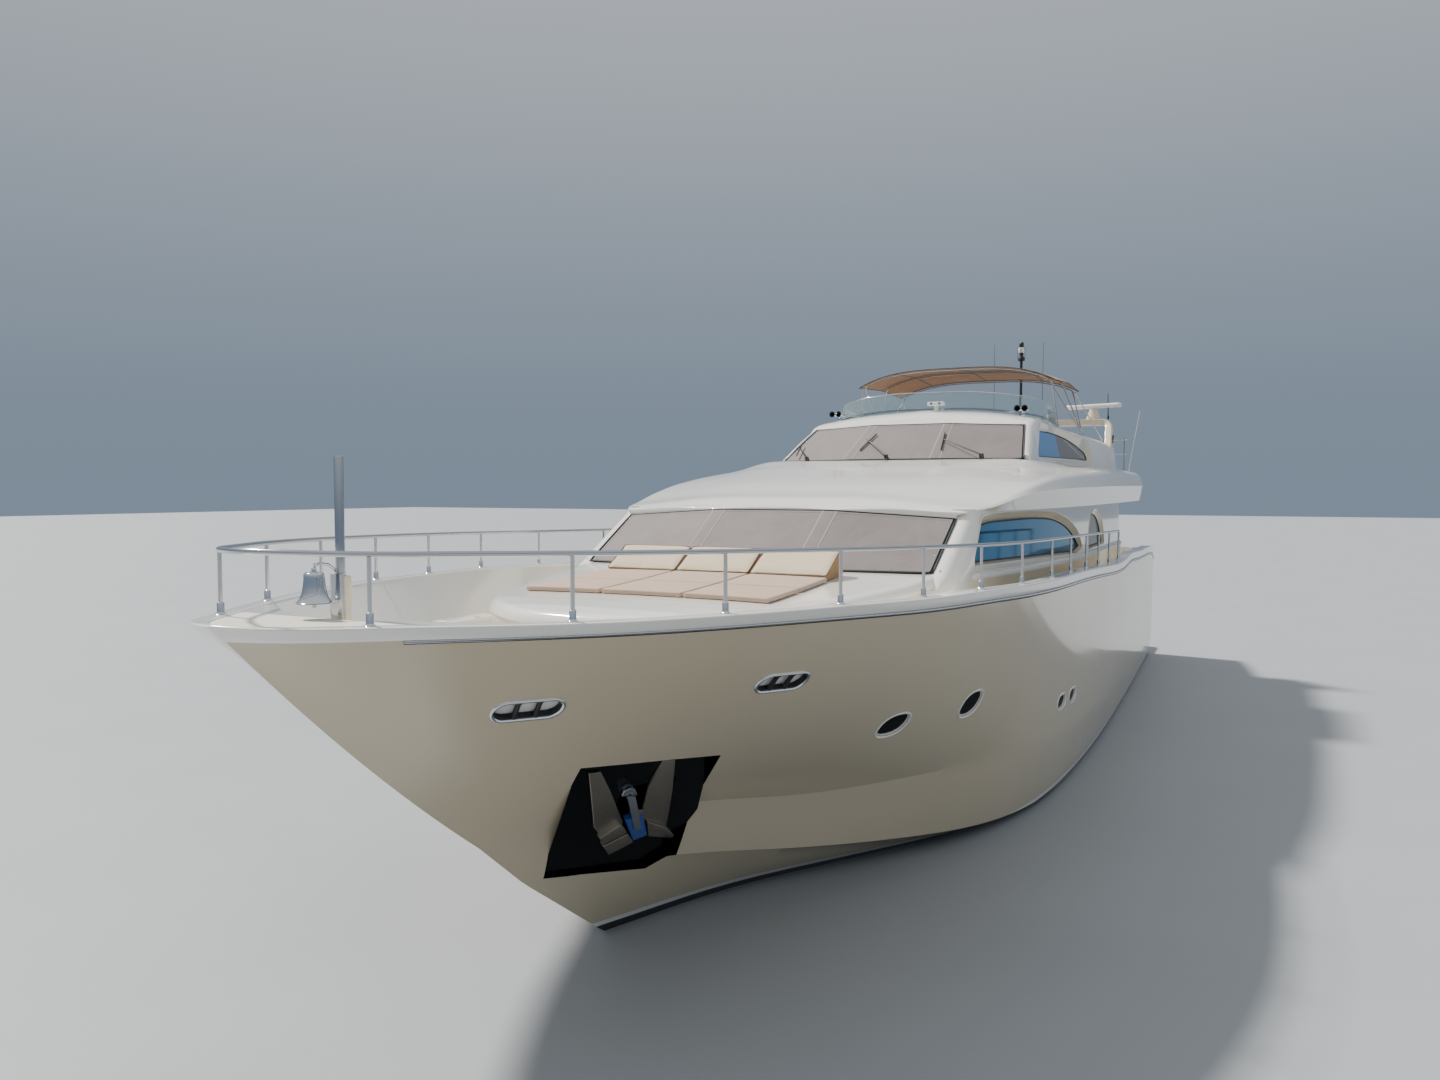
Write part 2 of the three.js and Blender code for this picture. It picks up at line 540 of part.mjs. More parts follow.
// Side glass, set in the middle of the wall
for (const [label, side] of SIDES) {
  for (const [place, outline] of [['main', WINDOW_MAIN], ['aft', WINDOW_AFT]]) {
    add(`${place}_window_${label}`, prism(shrunk(outline, GAP), 'y', side * 2306, side * 2318), 'glass');
  }
}

// A three-panel screen between a lower and an upper edge, as a plate that follows their twist
// Edge columns: x, half breadth, height
const SCREEN_STRIPS = 5;
const SCREEN_STEPS = 4;
function screen(edges, lift, thick) {
  const mix = (p, q, share) => p.map((value, k) => value + share * (q[k] - value));
  const across = (rows, k) => {
    const stops = [[rows[1], -1], [rows[0], -1], [rows[0], 1], [rows[1], 1]].map(([p, side]) => [p[0], side * p[1], p[2]]);
    const place = Math.min(Math.floor(k / SCREEN_STRIPS), 2);
    return mix(stops[place], stops[place + 1], k / SCREEN_STRIPS - place);
  };
  const face = (by) => Array.from({ length: 3 * SCREEN_STRIPS + 1 }, (_, k) => {
    const [foot, head] = [across(edges.low, k), across(edges.top, k)];
    return Array.from({ length: SCREEN_STEPS + 1 }, (__, step) => {
      const [x, y, z] = mix(foot, head, step / SCREEN_STEPS);
      return [x + by * 0.5, y, z + by * 0.87];
    });
  });
  return slab(face(lift), face(lift + thick));
}
const LOWER_SCREEN = {
  low: [[5560, 720, 3064], [5330, 2130, 3064]],
  top: [[4620, 720, 3690], [4380, 2130, 3600]],
};
const UPPER_SCREEN = {
  low: [[200, 710, UPPER_DECK_Z + GAP], [-225, 1960, UPPER_DECK_Z + GAP]],
  top: [[-900, 640, 4990], [-1230, 1780, 4950]],
};
const SCREEN_GLASS = 12; // thickness
for (const [label, edges] of [['lower', LOWER_SCREEN], ['upper', UPPER_SCREEN]]) {
  add(`${label}_windshield`, seated(screen(edges, 0, SCREEN_GLASS), trunk), 'glass');
  add(`${label}_windshield_cover`, screen(edges, SCREEN_GLASS + GAP, 5), 'mesh');
}

// Upper deck: the coachroof, its side wings and the boat deck, hollow over the saloon
// Columns: x, underside height, crease half width and height, shoulder half width and height, crown likewise
const WING_LOW_Z = HOUSE_TOP_Z + GAP;
const UPPER_DECK = [
  [4610, 3700, 700, 3705, 690, 3712, 300, 3725], [4500, 3700, 1350, 3708, 1335, 3722, 560, 3750],
  [4360, 3640, 2170, 3665, 2120, 3690, 900, 3790], [4180, WING_LOW_Z, 2290, 3700, 2230, 3720, 1000, 3840],
  [3800, WING_LOW_Z, 2420, 3740, 2320, 3770, 1080, 3900], [3100, WING_LOW_Z, 2570, 3850, 2390, 3900, 1200, 4030],
  [2300, WING_LOW_Z, 2690, 3920, 2450, 4040, 1350, 4150], [1300, WING_LOW_Z, 2790, 3950, 2510, 4150, 1600, 4290],
  [200, WING_LOW_Z, 2850, 3965, 2570, 4200, 2080, UPPER_DECK_Z],
  [-1000, WING_LOW_Z, 2890, 3975, 2620, 4235, 2130, UPPER_DECK_Z],
  [-3000, WING_LOW_Z, 2930, 3990, 2700, 4270, 2130, UPPER_DECK_Z],
  [-7600, WING_LOW_Z, 2940, 4000, 2730, 4300, 2130, UPPER_DECK_Z],
  [-8700, WING_LOW_Z, 2880, 4000, 2680, 4300, 2130, UPPER_DECK_Z],
  [UPPER_AFT_X, WING_LOW_Z, 2740, 4000, 2560, 4290, 2100, UPPER_DECK_Z],
];
const CEILING = [ // x, height
  [4100, 3700], [3500, 3780], [2500, 3930], [1000, 4080], [UPPER_AFT_X + 200, 4120],
];
const upperDeckRings = UPPER_DECK.map(([x, low, w, crease, shoulderHalf, shoulder, crownHalf, crown]) => {
  const half = [
    [w - 70, low], [w, crease], [w - 0.3 * (w - shoulderHalf), crease + 0.78 * (shoulder - crease)],
    [shoulderHalf, shoulder], [crownHalf, crown],
  ];
  return [...half, ...half.map(([y, z]) => [-y, z]).reverse()].map(([y, z]) => [x, y, z]);
});
const ceilingRings = CEILING.map(([x, z]) => [[x, -2260, 3600], [x, 2260, 3600], [x, 2260, z], [x, -2260, z]]);
const FLY_STAIR = { frontX: -7450, aftX: -8500, inner: -1000, outer: -1700 };
const upperDeck = cut(
  loft(upperDeckRings),
  loft(ceilingRings),
  block(-450, PILOTHOUSE_AFT_X + 60, -1750, 1750, 3600, 4600),
  block(FLY_STAIR.frontX, FLY_STAIR.aftX, FLY_STAIR.inner, FLY_STAIR.outer, 3600, 4600),
);
add('upper_deck', upperDeck, 'white');

// Pilothouse and flybridge coaming in one moulding
// Columns: x, half width at the foot, half width at the top, side height, crown height
const BRIDGE = [
  [-330, 2060, 2040, 4460, 4470], [-600, 2065, 2000, 4620, 4800], [-900, 2070, 1955, 4785, 5005],
  [-1250, 2080, 1900, 4970, 5140], [-1330, 2085, 1900, 5030, 5180], [-1700, 2090, 1900, 5090, 5275],
  [-2200, 2100, 1900, 5110, 5320], [PILOTHOUSE_AFT_X, 2100, 1900, 5090, 5330],
  [-4200, 2160, 2000, 5020, 5330], [-6200, 2270, 2150, 4960, 5330],
  [FLYBRIDGE_AFT_X, 2370, 2290, 4890, 5330],
];
const BRIDGE_FOOT = UPPER_DECK_Z + GAP;
const BRIDGE_LOW = 4300; // the moulding's foot before it is cut to the deck's round
const bridgeRing = ([x, foot, top, side, crown], inset, low) => [
  [x, -foot + inset, low], [x, foot - inset, low], [x, top - inset, side - inset],
  [x, top * 0.6, side * 0.35 + crown * 0.65 - inset], [x, 0, crown - inset],
  [x, -top * 0.6, side * 0.35 + crown * 0.65 - inset], [x, -top + inset, side - inset],
];
const WINDOW_PILOT = [
  [-1080, 4460], [-1800, 4900], [-2900, 4905], [-3900, 4860], [-4800, 4760], [-5450, 4630], [-5500, 4500],
];
const bridgeSide = (x, z) => { // half breadth of the outer side at a place and height
  const [foot, top, high] = [1, 2, 3].map((column) => at(BRIDGE, x, column));
  return foot + (top - foot) * (z - BRIDGE_LOW) / (high - BRIDGE_LOW);
};
const cabinRows = [[-420, ...BRIDGE[0].slice(1)], ...BRIDGE.slice(1, 7), [PILOTHOUSE_AFT_X + 80, ...BRIDGE[7].slice(1)]];
const flyWell = prism([
  [PILOTHOUSE_AFT_X, -1760], [PILOTHOUSE_AFT_X, 1760], [-4200, 1860], [-6200, 2010], [FLYBRIDGE_AFT_X - 50, 2150],
  [FLYBRIDGE_AFT_X - 50, -2150], [-6200, -2010], [-4200, -1860],
], 'z', BRIDGE_LOW - 100, 5600);
const frontOpening = prism([
  [300, -1990], [300, 1990], [-240, 1970], [-1245, 1795], [-915, 645], [-915, -645], [-1245, -1795], [-240, -1970],
], 'z', BRIDGE_LOW - 100, 5600);
// Aft of the cabin the windows are blind: the coaming's wall carries on behind the glass
const windowBack = prism([
  [-2770, -1820], [-2770, 1820], [-4200, 1920], [-5700, 2040], [-5700, -2040], [-4200, -1920],
], 'z', BRIDGE_LOW - 100, 5600);
const pilothouse = seated(cut(
  loft(BRIDGE.map((row) => bridgeRing(row, 0, BRIDGE_LOW))),
  loft(cabinRows.map((row) => bridgeRing(row, 90, BRIDGE_LOW - 100))),
  frontOpening,
  flyWell,
  ...SIDES.map(([, side]) => cut(prism(WINDOW_PILOT, 'y', side * 1700, side * 2400), windowBack)),
), upperDeck);
add('pilothouse', pilothouse, 'white');

// A pane that follows the wall's slope and flare
function pane(outline, side, halfAt, thick) {
  const shape = new THREE.Shape(outline.map(([u, v]) => new THREE.Vector2(u, v)));
  const geometry = new THREE.ExtrudeGeometry(shape, { depth: thick, bevelEnabled: false });
  const place = geometry.attributes.position;
  for (let k = 0; k < place.count; k++) {
    const [x, z, deep] = [place.getX(k), place.getY(k), place.getZ(k)];
    place.setXYZ(k, x, side * (halfAt(x, z) - deep), z);
  }
  return toSolid(geometry);
}
for (const [label, side] of SIDES) {
  add(`pilothouse_window_${label}`, pane(
    shrunk(WINDOW_PILOT, GAP), side, (x, z) => bridgeSide(x, z) - 60, 12,
  ), 'glass');
}

// Sole of the raised pilothouse, between the house walls, and its helm
const SOLE = { frontX: 900, aftX: -3000, top: 3050, thick: 60 };
const innerHalf = HOUSE_HALF - HOUSE_WALL - GAP;
add('pilothouse_sole', block(
  SOLE.frontX, SOLE.aftX, -innerHalf, innerHalf, SOLE.top - SOLE.thick, SOLE.top,
), 'teak');
add('pilothouse_helm', prism([
  [-620, SOLE.top + GAP], [-1300, SOLE.top + GAP], [-1300, 3850], [-1050, 4150], [-620, 4200],
], 'y', -900, 900), 'beige');

// Saloon's aft wall with its opening, one fixed and one sliding panel
const DOORWAY = { half: 1000, low: 2070, high: 3900 };
const aftWallHalf = HOUSE_HALF - HOUSE_WALL - GAP;
const aftWallFoot = at(DECK, SALOON_AFT_X, 1) + GAP;
const aftWallTop = at(CEILING, SALOON_AFT_X, 1) - GAP;
const TRACK = { x: SALOON_AFT_X - 85, z: 3945, radius: 12, from: -1090, to: 1110, bracket: 30 };
const trackRod = (radius) => rod([TRACK.x, TRACK.from - 20, TRACK.z], [TRACK.x, TRACK.to + 20, TRACK.z], radius, 24);
const trackBlock = (y, low, high) => block(TRACK.x - 15, TRACK.x + 15, y, y + TRACK.bracket, low, high);
const trackBracket = (y) => block(TRACK.x - 15, SALOON_AFT_X - 55, y, y + TRACK.bracket, TRACK.z - 20, TRACK.z + 20);
add('saloon_bulkhead', join(
  cut(
    prism([
      [-aftWallHalf, aftWallFoot], [aftWallHalf, aftWallFoot], [aftWallHalf, HOUSE_TOP_Z - 90],
      [aftWallHalf - 10, HOUSE_TOP_Z - 10], [aftWallHalf - 10, aftWallTop],
      [10 - aftWallHalf, aftWallTop], [10 - aftWallHalf, HOUSE_TOP_Z - 10], [-aftWallHalf, HOUSE_TOP_Z - 90],
    ], 'x', SALOON_AFT_X - 60, SALOON_AFT_X),
    block(SALOON_AFT_X - 90, SALOON_AFT_X + 90, 0, DOORWAY.half, DOORWAY.low + 40, DOORWAY.high),
  ),
  trackRod(TRACK.radius), trackBracket(TRACK.from), trackBracket(TRACK.to - TRACK.bracket),
), 'white');
add('saloon_door', cut(
  join(
    block(TRACK.x - 15, TRACK.x + 15, -20, DOORWAY.half + 30, DOORWAY.low + 45, DOORWAY.high - 5),
    ...[30, DOORWAY.half - 50].map((y) => trackBlock(y, DOORWAY.high - 10, TRACK.z + 25)),
  ),
  trackRod(TRACK.radius + PIN_FIT),
), 'glass');

// Flybridge screen round the front of the coaming
const WIND = { rows: [[-3500, 1900, 5065], [-2300, 1830, 5150], [-1980, 1300, 5235], [-1890, 650, 5290]], high: 330 };
const windRow = ([x, y, z], side) => [[x, side * y, z - 40], [x - 90, side * (y - 60), z + WIND.high],
  [x - 98, side * (y - 66), z + WIND.high], [x - 10, side * (y - 8), z - 40]];
add('wind_screen', seated(loft([
  ...WIND.rows.map((row) => windRow(row, -1)), ...WIND.rows.slice().reverse().map((row) => windRow(row, 1)),
], 'y'), pilothouse), 'clear');

// Flybridge helm, seats and table
const FLOOR = UPPER_DECK_Z + GAP;
add('flybridge_console', prism([
  [-2910, FLOOR], [-3450, FLOOR], [-3450, 5000], [-3250, 5180], [-2910, 5240],
], 'y', -1100, 300), 'white');
add('flybridge_helm_seat', join(
  block(-3950, -4500, -1050, -100, FLOOR, 4830), block(-4380, -4500, -1050, -100, 4800, 5300),
), 'beige');
add('flybridge_settee', join(
  block(-5400, -7300, 1150, 1740, FLOOR, 4830), block(-5400, -7300, 1640, 1740, 4800, 5120),
  block(-7300, -7900, 300, 1740, FLOOR, 4830), block(-7800, -7900, 300, 1740, 4800, 5120),
), 'beige');
add('flybridge_table', join(
  rod([-6300, 650, FLOOR], [-6300, 650, 5000], 45, 16), block(-5700, -6900, 300, 1000, 4990, 5030),
), 'teak');

// Bimini: tube bows on the coaming, with the canopy over them
const BIMINI = { frontX: -3600, aftX: -6350, half: 1860, edgeZ: 5960, crownZ: 6260, thick: 24, footX: -5600,
  bowInset: 30, tube: 13 };
const biminiArc = (x, drop, inset) => Array.from({ length: 13 }, (_, k) => {
  const share = k / 6 - 1;
  const z = BIMINI.edgeZ + (BIMINI.crownZ - BIMINI.edgeZ) * (1 - Math.abs(share) ** 3.4) - drop;
  return [x, share * (BIMINI.half - inset), z];
});
const biminiDrop = (x) => 60 * ((x - (BIMINI.frontX + BIMINI.aftX) / 2) / 1375) ** 2;
const canopyXs = [BIMINI.frontX, -4300, -4975, -5650, BIMINI.aftX];
const canopy = loft(canopyXs.map((x) => [
  ...biminiArc(x, biminiDrop(x), 0), ...biminiArc(x, biminiDrop(x) + BIMINI.thick, 12).reverse(),
]));
const bowArc = (x) => biminiArc(x, biminiDrop(x) + BIMINI.thick + 10, BIMINI.bowInset);
const biminiFoot = (x, side, lift) => [x, side * (at(BRIDGE, x, 2) - 70), at(BRIDGE, x, 3) + lift];
const bowTube = (x) => tube(
  [biminiFoot(BIMINI.footX, -1, 40), ...bowArc(x), biminiFoot(BIMINI.footX, 1, 40)], BIMINI.tube, 6, 30,
);
const biminiStay = (footX, bowX, side) => {
  const arc = bowArc(bowX);
  return rod(biminiFoot(footX, side, 30), side < 0 ? arc[0] : arc.at(-1), BIMINI.tube, 6);
};
const biminiFeet = SIDES.flatMap(([, side]) => [-3700, BIMINI.footX, -7600].map(
  (x) => rod(biminiFoot(x, side, -60), biminiFoot(x, side, 70), 22, 8),
));
const biminiStays = SIDES.flatMap(([, side]) => [
  biminiStay(-3700, BIMINI.frontX - 20, side), biminiStay(-7600, BIMINI.aftX + 20, side),
]);
const biminiFrame = seated(join(
  bowTube(BIMINI.frontX - 20), bowTube(-4975), bowTube(BIMINI.aftX + 20), ...biminiFeet, ...biminiStays,
), pilothouse);
add('bimini_frame', biminiFrame, 'steel');
add('bimini_canopy', grooved(canopy, biminiFrame), 'canvas');

// Radar arch over the aft end of the coaming, its radar and light mast
const ARCH = { footX: -8050, topX: -8500, foot: 2290, top: 2240, low: 4840, beamLow: 5330, high: 5480, width: 420, leg: 130 };
const archLegs = SIDES.map(([, side]) => loft([
  [ARCH.footX + 120, ARCH.foot, ARCH.low, 620], [ARCH.topX + 60, ARCH.top, ARCH.high, ARCH.width],
].map(([x, y, z, long]) => [
  [x, side * y, z], [x - long, side * y, z], [x - long, side * (y - ARCH.leg), z], [x, side * (y - ARCH.leg), z],
]), 'z'));
const archBeam = block(ARCH.topX + 70, ARCH.topX + 60 - ARCH.width, -ARCH.top + 20, ARCH.top - 20, ARCH.beamLow, ARCH.high);
const RADAR = { x: -8640, y: 1830, pedestal: 230, reach: 640, pin: 40, rest: -22 }; // rest: degrees at which it stands still
const scannerLow = ARCH.high + RADAR.pedestal + 6;
const scannerPin = (radius, high) => rod([RADAR.x, RADAR.y, ARCH.high + 50], [RADAR.x, RADAR.y, high], radius, 32);
const radarPedestal = join(
  turned([[0, -20], [140, -20], [150, 60], [120, 170], [80, RADAR.pedestal], [0, RADAR.pedestal]],
    [RADAR.x, RADAR.y, ARCH.high]),
  scannerPin(RADAR.pin, scannerLow + 55),
);
add('radar_arch', seated(join(archBeam, ...archLegs, radarPedestal), pilothouse), 'cream');
add('radar_scanner', cut(
  block(-70, 70, -RADAR.reach, RADAR.reach, scannerLow, scannerLow + 94)
    .rotate([0, 0, RADAR.rest]).translate([RADAR.x, RADAR.y, 0]),
  scannerPin(RADAR.pin + PIN_FIT, scannerLow + 55 + GAP),
), 'white');
add('light_mast', join(
  rod([-8640, 250, ARCH.high + GAP], [-8640, 250, 7000], 30, 12),
  turned([[0, 0], [75, 0], [75, 90], [45, 110], [45, 200], [80, 210], [80, 300], [50, 320], [50, 420], [0, 430]],
    [-8640, 250, 6850], 16),
), 'black');

// Air horns and searchlight on the brow
for (const [label, side] of SIDES) {
  const y = side * 1620;
  const base = 5175;
  const trumpet = (shift) => join(
    rod([-1990, y + shift, base + 95], [-1800, y + shift, base + 95], 16, 10),
    rod([-1800, y + shift, base + 95], [-1700, y + shift, base + 95], 16, 12, 50),
  );
  add(`horns_${label}`, seated(join(
    trumpet(-60), trumpet(60), block(-1960, -1900, y - 75, y + 75, base + 60, base + 110),
    block(-1960, -1900, y - 30, y + 30, base - 90, base + 70),
  ), pilothouse), 'steel');
}
add('searchlight', seated(join(
  turned([[0, -45], [70, -45], [70, 0], [40, 50], [35, 110], [0, 110]], [-1700, 210, 5270]),
  block(-1750, -1620, 60, 360, 5360, 5420),
), pilothouse), 'white');

// Boat deck rail
const AFT_RAIL = { half: 2500, frontX: -8480, aftX: UPPER_AFT_X + 90, high: 640 };
const aftRailLoop = (high) => tube([
  [AFT_RAIL.frontX, -AFT_RAIL.half, UPPER_DECK_Z + high], [AFT_RAIL.aftX + 120, -AFT_RAIL.half, UPPER_DECK_Z + high],
  [AFT_RAIL.aftX, -AFT_RAIL.half + 120, UPPER_DECK_Z + high], [AFT_RAIL.aftX, 0, UPPER_DECK_Z + high],
  [AFT_RAIL.aftX, AFT_RAIL.half - 120, UPPER_DECK_Z + high], [AFT_RAIL.aftX + 120, AFT_RAIL.half, UPPER_DECK_Z + high],
  [AFT_RAIL.frontX, AFT_RAIL.half, UPPER_DECK_Z + high],
], 16, 6, 40, 0);
const aftPosts = [
  ...SIDES.map(([, side]) => [AFT_RAIL.frontX - 20, side * AFT_RAIL.half]),
  ...[-2000, -1000, 0, 1000, 2000].map((y) => [AFT_RAIL.aftX, y]),
].map(([x, y]) => rod([x, y, UPPER_DECK_Z - 90], [x, y, UPPER_DECK_Z + AFT_RAIL.high], 14, 8));
add('boat_deck_rail', seated(
  join(aftRailLoop(AFT_RAIL.high), aftRailLoop(AFT_RAIL.high / 2), ...aftPosts), upperDeck,
), 'steel');

// Stair from the cockpit to the boat deck: two stringers with treads between
const treadCount = 8;
const stairY = [FLY_STAIR.inner - 60, FLY_STAIR.outer + 60];
const stairLine = (share, drop) => [
  FLY_STAIR.aftX - 250 + share * 1000, COCKPIT_SOLE_Z + GAP + share * (UPPER_DECK_Z - COCKPIT_SOLE_Z - 60) - drop,
];
const stringers = stairY.map((y) => prism([
  [FLY_STAIR.aftX - 350, COCKPIT_SOLE_Z + GAP], [FLY_STAIR.aftX - 150, COCKPIT_SOLE_Z + GAP],
  stairLine(1, 150), stairLine(1, 0), [FLY_STAIR.aftX + 550, UPPER_DECK_Z - 60],
], 'y', y - 15, y + 15));
const treads = Array.from({ length: treadCount }, (_, k) => {
  const [x, z] = stairLine((k + 1) / (treadCount + 1), 60);
  return block(x - 130, x + 110, stairY[0] + 5, stairY[1] - 5, z - 35, z);
});
add('flybridge_stair', seated(join(...stringers, ...treads), hull), 'teak');

// Cockpit settee against the transom, and its table
add('cockpit_settee', join(
  block(-9400, COCKPIT_AFT_X + GAP, -1500, 1500, COCKPIT_SOLE_Z + GAP, 2380),
  block(-9820, COCKPIT_AFT_X + GAP, -1500, 1500, 2370, 2740),
), 'beige');
add('cockpit_table', join(
  rod([-8950, 0, COCKPIT_SOLE_Z + GAP], [-8950, 0, 2650], 50, 16), block(-8600, -9300, -650, 650, 2640, 2680),
), 'teak');

// Transom gates, cut back round their lugs
for (const [label, side] of SIDES) {
  const [front, back] = [GATE.pinX + GATE.thick / 2, GATE.pinX - GATE.thick / 2];
  add(`transom_gate_${label}`, join(
    cut(
      block(back, front, side * GATE.inner, side * GATE.pinY, GATE.low, GATE.high),
      ...GATE.lugs.map(([low, high]) => block(
        back - 10, front + 10, side * (GATE.pinY - 28), side * (GATE.pinY + 10), low - 6, high + 6,
      )),
    ),
    gatePin(side, GATE.pin),
  ), 'white');
}

// Shafts with five-bladed propellers, struts and rudders
const PROPELLER = { radius: 430, hub: 85, blades: 5, length: 170, pitch: 0.62 };
for (const [label, side] of SIDES) {
  const [front, prop] = [shaftPoint(SHAFT.frontX, side), shaftPoint(SHAFT.propX - 120, side)];
  const along = new THREE.Vector3(...prop).sub(new THREE.Vector3(...front)).normalize();
  const turn = new THREE.Quaternion().setFromUnitVectors(new THREE.Vector3(0, 0, 1), along);
  const place = new THREE.Vector3(...shaftPoint(SHAFT.propX, side));
  const blade = (k) => {
    const shape = new THREE.Shape().absellipse(0, PROPELLER.radius * 0.56, 130, PROPELLER.radius * 0.44, 0, 2 * Math.PI);
    const geometry = new THREE.ExtrudeGeometry(shape, { depth: 16, bevelEnabled: false, curveSegments: 12 });
    geometry.translate(0, 0, -8).rotateY(side * PROPELLER.pitch).rotateZ((k / PROPELLER.blades) * 2 * Math.PI);
    return toSolid(geometry.applyQuaternion(turn).translate(...place.toArray()));
  };
  const hubEnds = [-PROPELLER.length / 2, PROPELLER.length / 2].map((s) => place.clone().addScaledVector(along, s));
  add(`propeller_${label}`, join(
    rod(front, prop, SHAFT.radius, 16),
    rod(hubEnds[0].toArray(), hubEnds[1].toArray(), PROPELLER.hub, 20, PROPELLER.hub * 0.8),
    ...Array.from({ length: PROPELLER.blades }, (_, k) => blade(k)),
  ), 'bronze');

  const foil = (z, ahead, behind) => [
    [ahead, 0], [ahead * 0.6, 30], [0, 36], [-behind * 0.6, 22], [-behind, 4],
    [-behind, -4], [-behind * 0.6, -22], [0, -36], [ahead * 0.6, -30],
  ].map(([x, y]) => [RUDDER_X + x, side * SHAFT_Y + y, z]);
  add(`rudder_${label}`, join(
    loft([foil(-1660, 150, 330), foil(-800, 190, 420)], 'z'),
    rod([RUDDER_X, side * SHAFT_Y, -900], [RUDDER_X, side * SHAFT_Y, -260], STOCK_RADIUS, 16),
  ), 'bronze');
}

export default yacht;
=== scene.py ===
import json
import math
import bmesh
import bpy
import numpy as np
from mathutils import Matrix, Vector

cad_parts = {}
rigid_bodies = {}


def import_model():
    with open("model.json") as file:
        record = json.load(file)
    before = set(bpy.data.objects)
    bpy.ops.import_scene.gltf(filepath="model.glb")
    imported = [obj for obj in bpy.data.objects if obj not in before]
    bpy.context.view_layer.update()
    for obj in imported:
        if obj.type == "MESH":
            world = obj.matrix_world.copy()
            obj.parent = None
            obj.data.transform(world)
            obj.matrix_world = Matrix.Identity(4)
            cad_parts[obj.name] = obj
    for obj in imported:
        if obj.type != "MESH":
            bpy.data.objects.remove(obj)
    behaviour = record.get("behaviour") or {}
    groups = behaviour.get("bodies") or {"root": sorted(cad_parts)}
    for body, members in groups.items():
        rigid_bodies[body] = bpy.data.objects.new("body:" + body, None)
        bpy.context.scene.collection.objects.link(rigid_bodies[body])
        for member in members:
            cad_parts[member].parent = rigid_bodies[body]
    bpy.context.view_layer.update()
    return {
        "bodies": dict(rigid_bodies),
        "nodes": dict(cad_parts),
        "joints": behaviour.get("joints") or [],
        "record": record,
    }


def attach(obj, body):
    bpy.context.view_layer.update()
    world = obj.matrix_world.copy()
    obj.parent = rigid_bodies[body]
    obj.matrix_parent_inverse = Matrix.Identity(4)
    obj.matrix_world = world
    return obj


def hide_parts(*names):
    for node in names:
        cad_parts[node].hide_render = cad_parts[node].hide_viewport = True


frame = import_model()

# Camera
# A wide lens on a stand just ahead of the port bow, a little above the rail. It looks aft and slightly down.
EYE = (16.127, 5.131, 3.959)
YAW, PITCH = math.radians(206.924), math.radians(-2.814)
lens = bpy.data.cameras.new("camera")
lens.sensor_width, lens.lens = 36, 26.48
lens.clip_end = 500
camera = bpy.data.objects.new("camera", lens)
camera.location = EYE
camera.rotation_euler = (math.pi / 2 + PITCH, 0, YAW - math.pi / 2)
bpy.context.scene.collection.objects.link(camera)
bpy.context.scene.camera = camera

# Floor and studio light
# A pale matt floor at the waterline, a soft high key light from starboard, and even light from all round.
FLOOR_HALF = 150
WORLD_STRENGTH, KEY_STRENGTH, KEY_WIDTH, KEY_FROM = 0.75, 6.5, math.radians(5), (-0.10, -0.62, 0.78)
SIDES = (("port", 1), ("starboard", -1))  # each side's name and the sign of its y


def linear(code):
    """A colour as shaders take it, from its sRGB hex code: each channel c becomes ((c + 0.055) / 1.055) ** 2.4."""
    channels = [int(code[k:k + 2], 16) / 255 for k in (1, 3, 5)]
    return tuple(c / 12.92 if c <= 0.04045 else ((c + 0.055) / 1.055) ** 2.4 for c in channels) + (1.0,)


def node(tree, kind, links=None, **settings):
    """Adds a node. Settings are its own properties; links are its inputs, each a value or another node's socket."""
    made = tree.nodes.new(kind)
    for key, value in settings.items():
        setattr(made, key, value)
    for key, value in (links or {}).items():
        if isinstance(value, bpy.types.NodeSocket):
            tree.links.new(value, made.inputs[key])
        else:
            made.inputs[key].default_value = value
    return made


def finish_of(name, **values):
    """A new material with constant values on its shader's own sockets; gives the material, its tree and its shader."""
    made = bpy.data.materials.new(name)
    made.use_nodes = True
    shader = made.node_tree.nodes["Principled BSDF"]
    for key, value in values.items():
        shader.inputs[key.replace("_", " ")].default_value = value
    return made, made.node_tree, shader


def tree_coordinates(tree):
    """The place on the object itself, in metres."""
    return node(tree, "ShaderNodeTexCoord").outputs["Object"]


def blend(tree, factor, pale, deep):
    """A colour from pale, where the factor is 0, to deep, where it is 1: each a hex code or another node's socket."""
    ends = [linear(colour) if isinstance(colour, str) else colour for colour in (pale, deep)]
    mix = node(tree, "ShaderNodeMix", {"Factor": factor, "A": ends[0], "B": ends[1]}, data_type="RGBA")
    return mix.outputs["Result"]


def speckled(name, scale, detail, pale, deep, **values):
    """A new material whose colour drifts between two shades over a noise."""
    material, tree, shader = finish_of(name, **values)
    fleck = node(tree, "ShaderNodeTexNoise", {"Vector": tree_coordinates(tree), "Scale": scale, "Detail": detail})
    tree.links.new(blend(tree, fleck.outputs["Fac"], pale, deep), shader.inputs["Base Color"])
    return material


def handled(name, colour, scale, detail, low, high):
    """Polished metal of one colour, smeared by hands and weather: over a noise its roughness runs from low to high."""
    material, tree, shader = finish_of(name, Base_Color=linear(colour), Metallic=1.0)
    smear = node(tree, "ShaderNodeTexNoise", {"Vector": tree_coordinates(tree), "Scale": scale, "Detail": detail})
    haze = node(tree, "ShaderNodeMapRange", {"Value": smear.outputs["Fac"], "To Min": low, "To Max": high})
    tree.links.new(haze.outputs["Result"], shader.inputs["Roughness"])
    return material


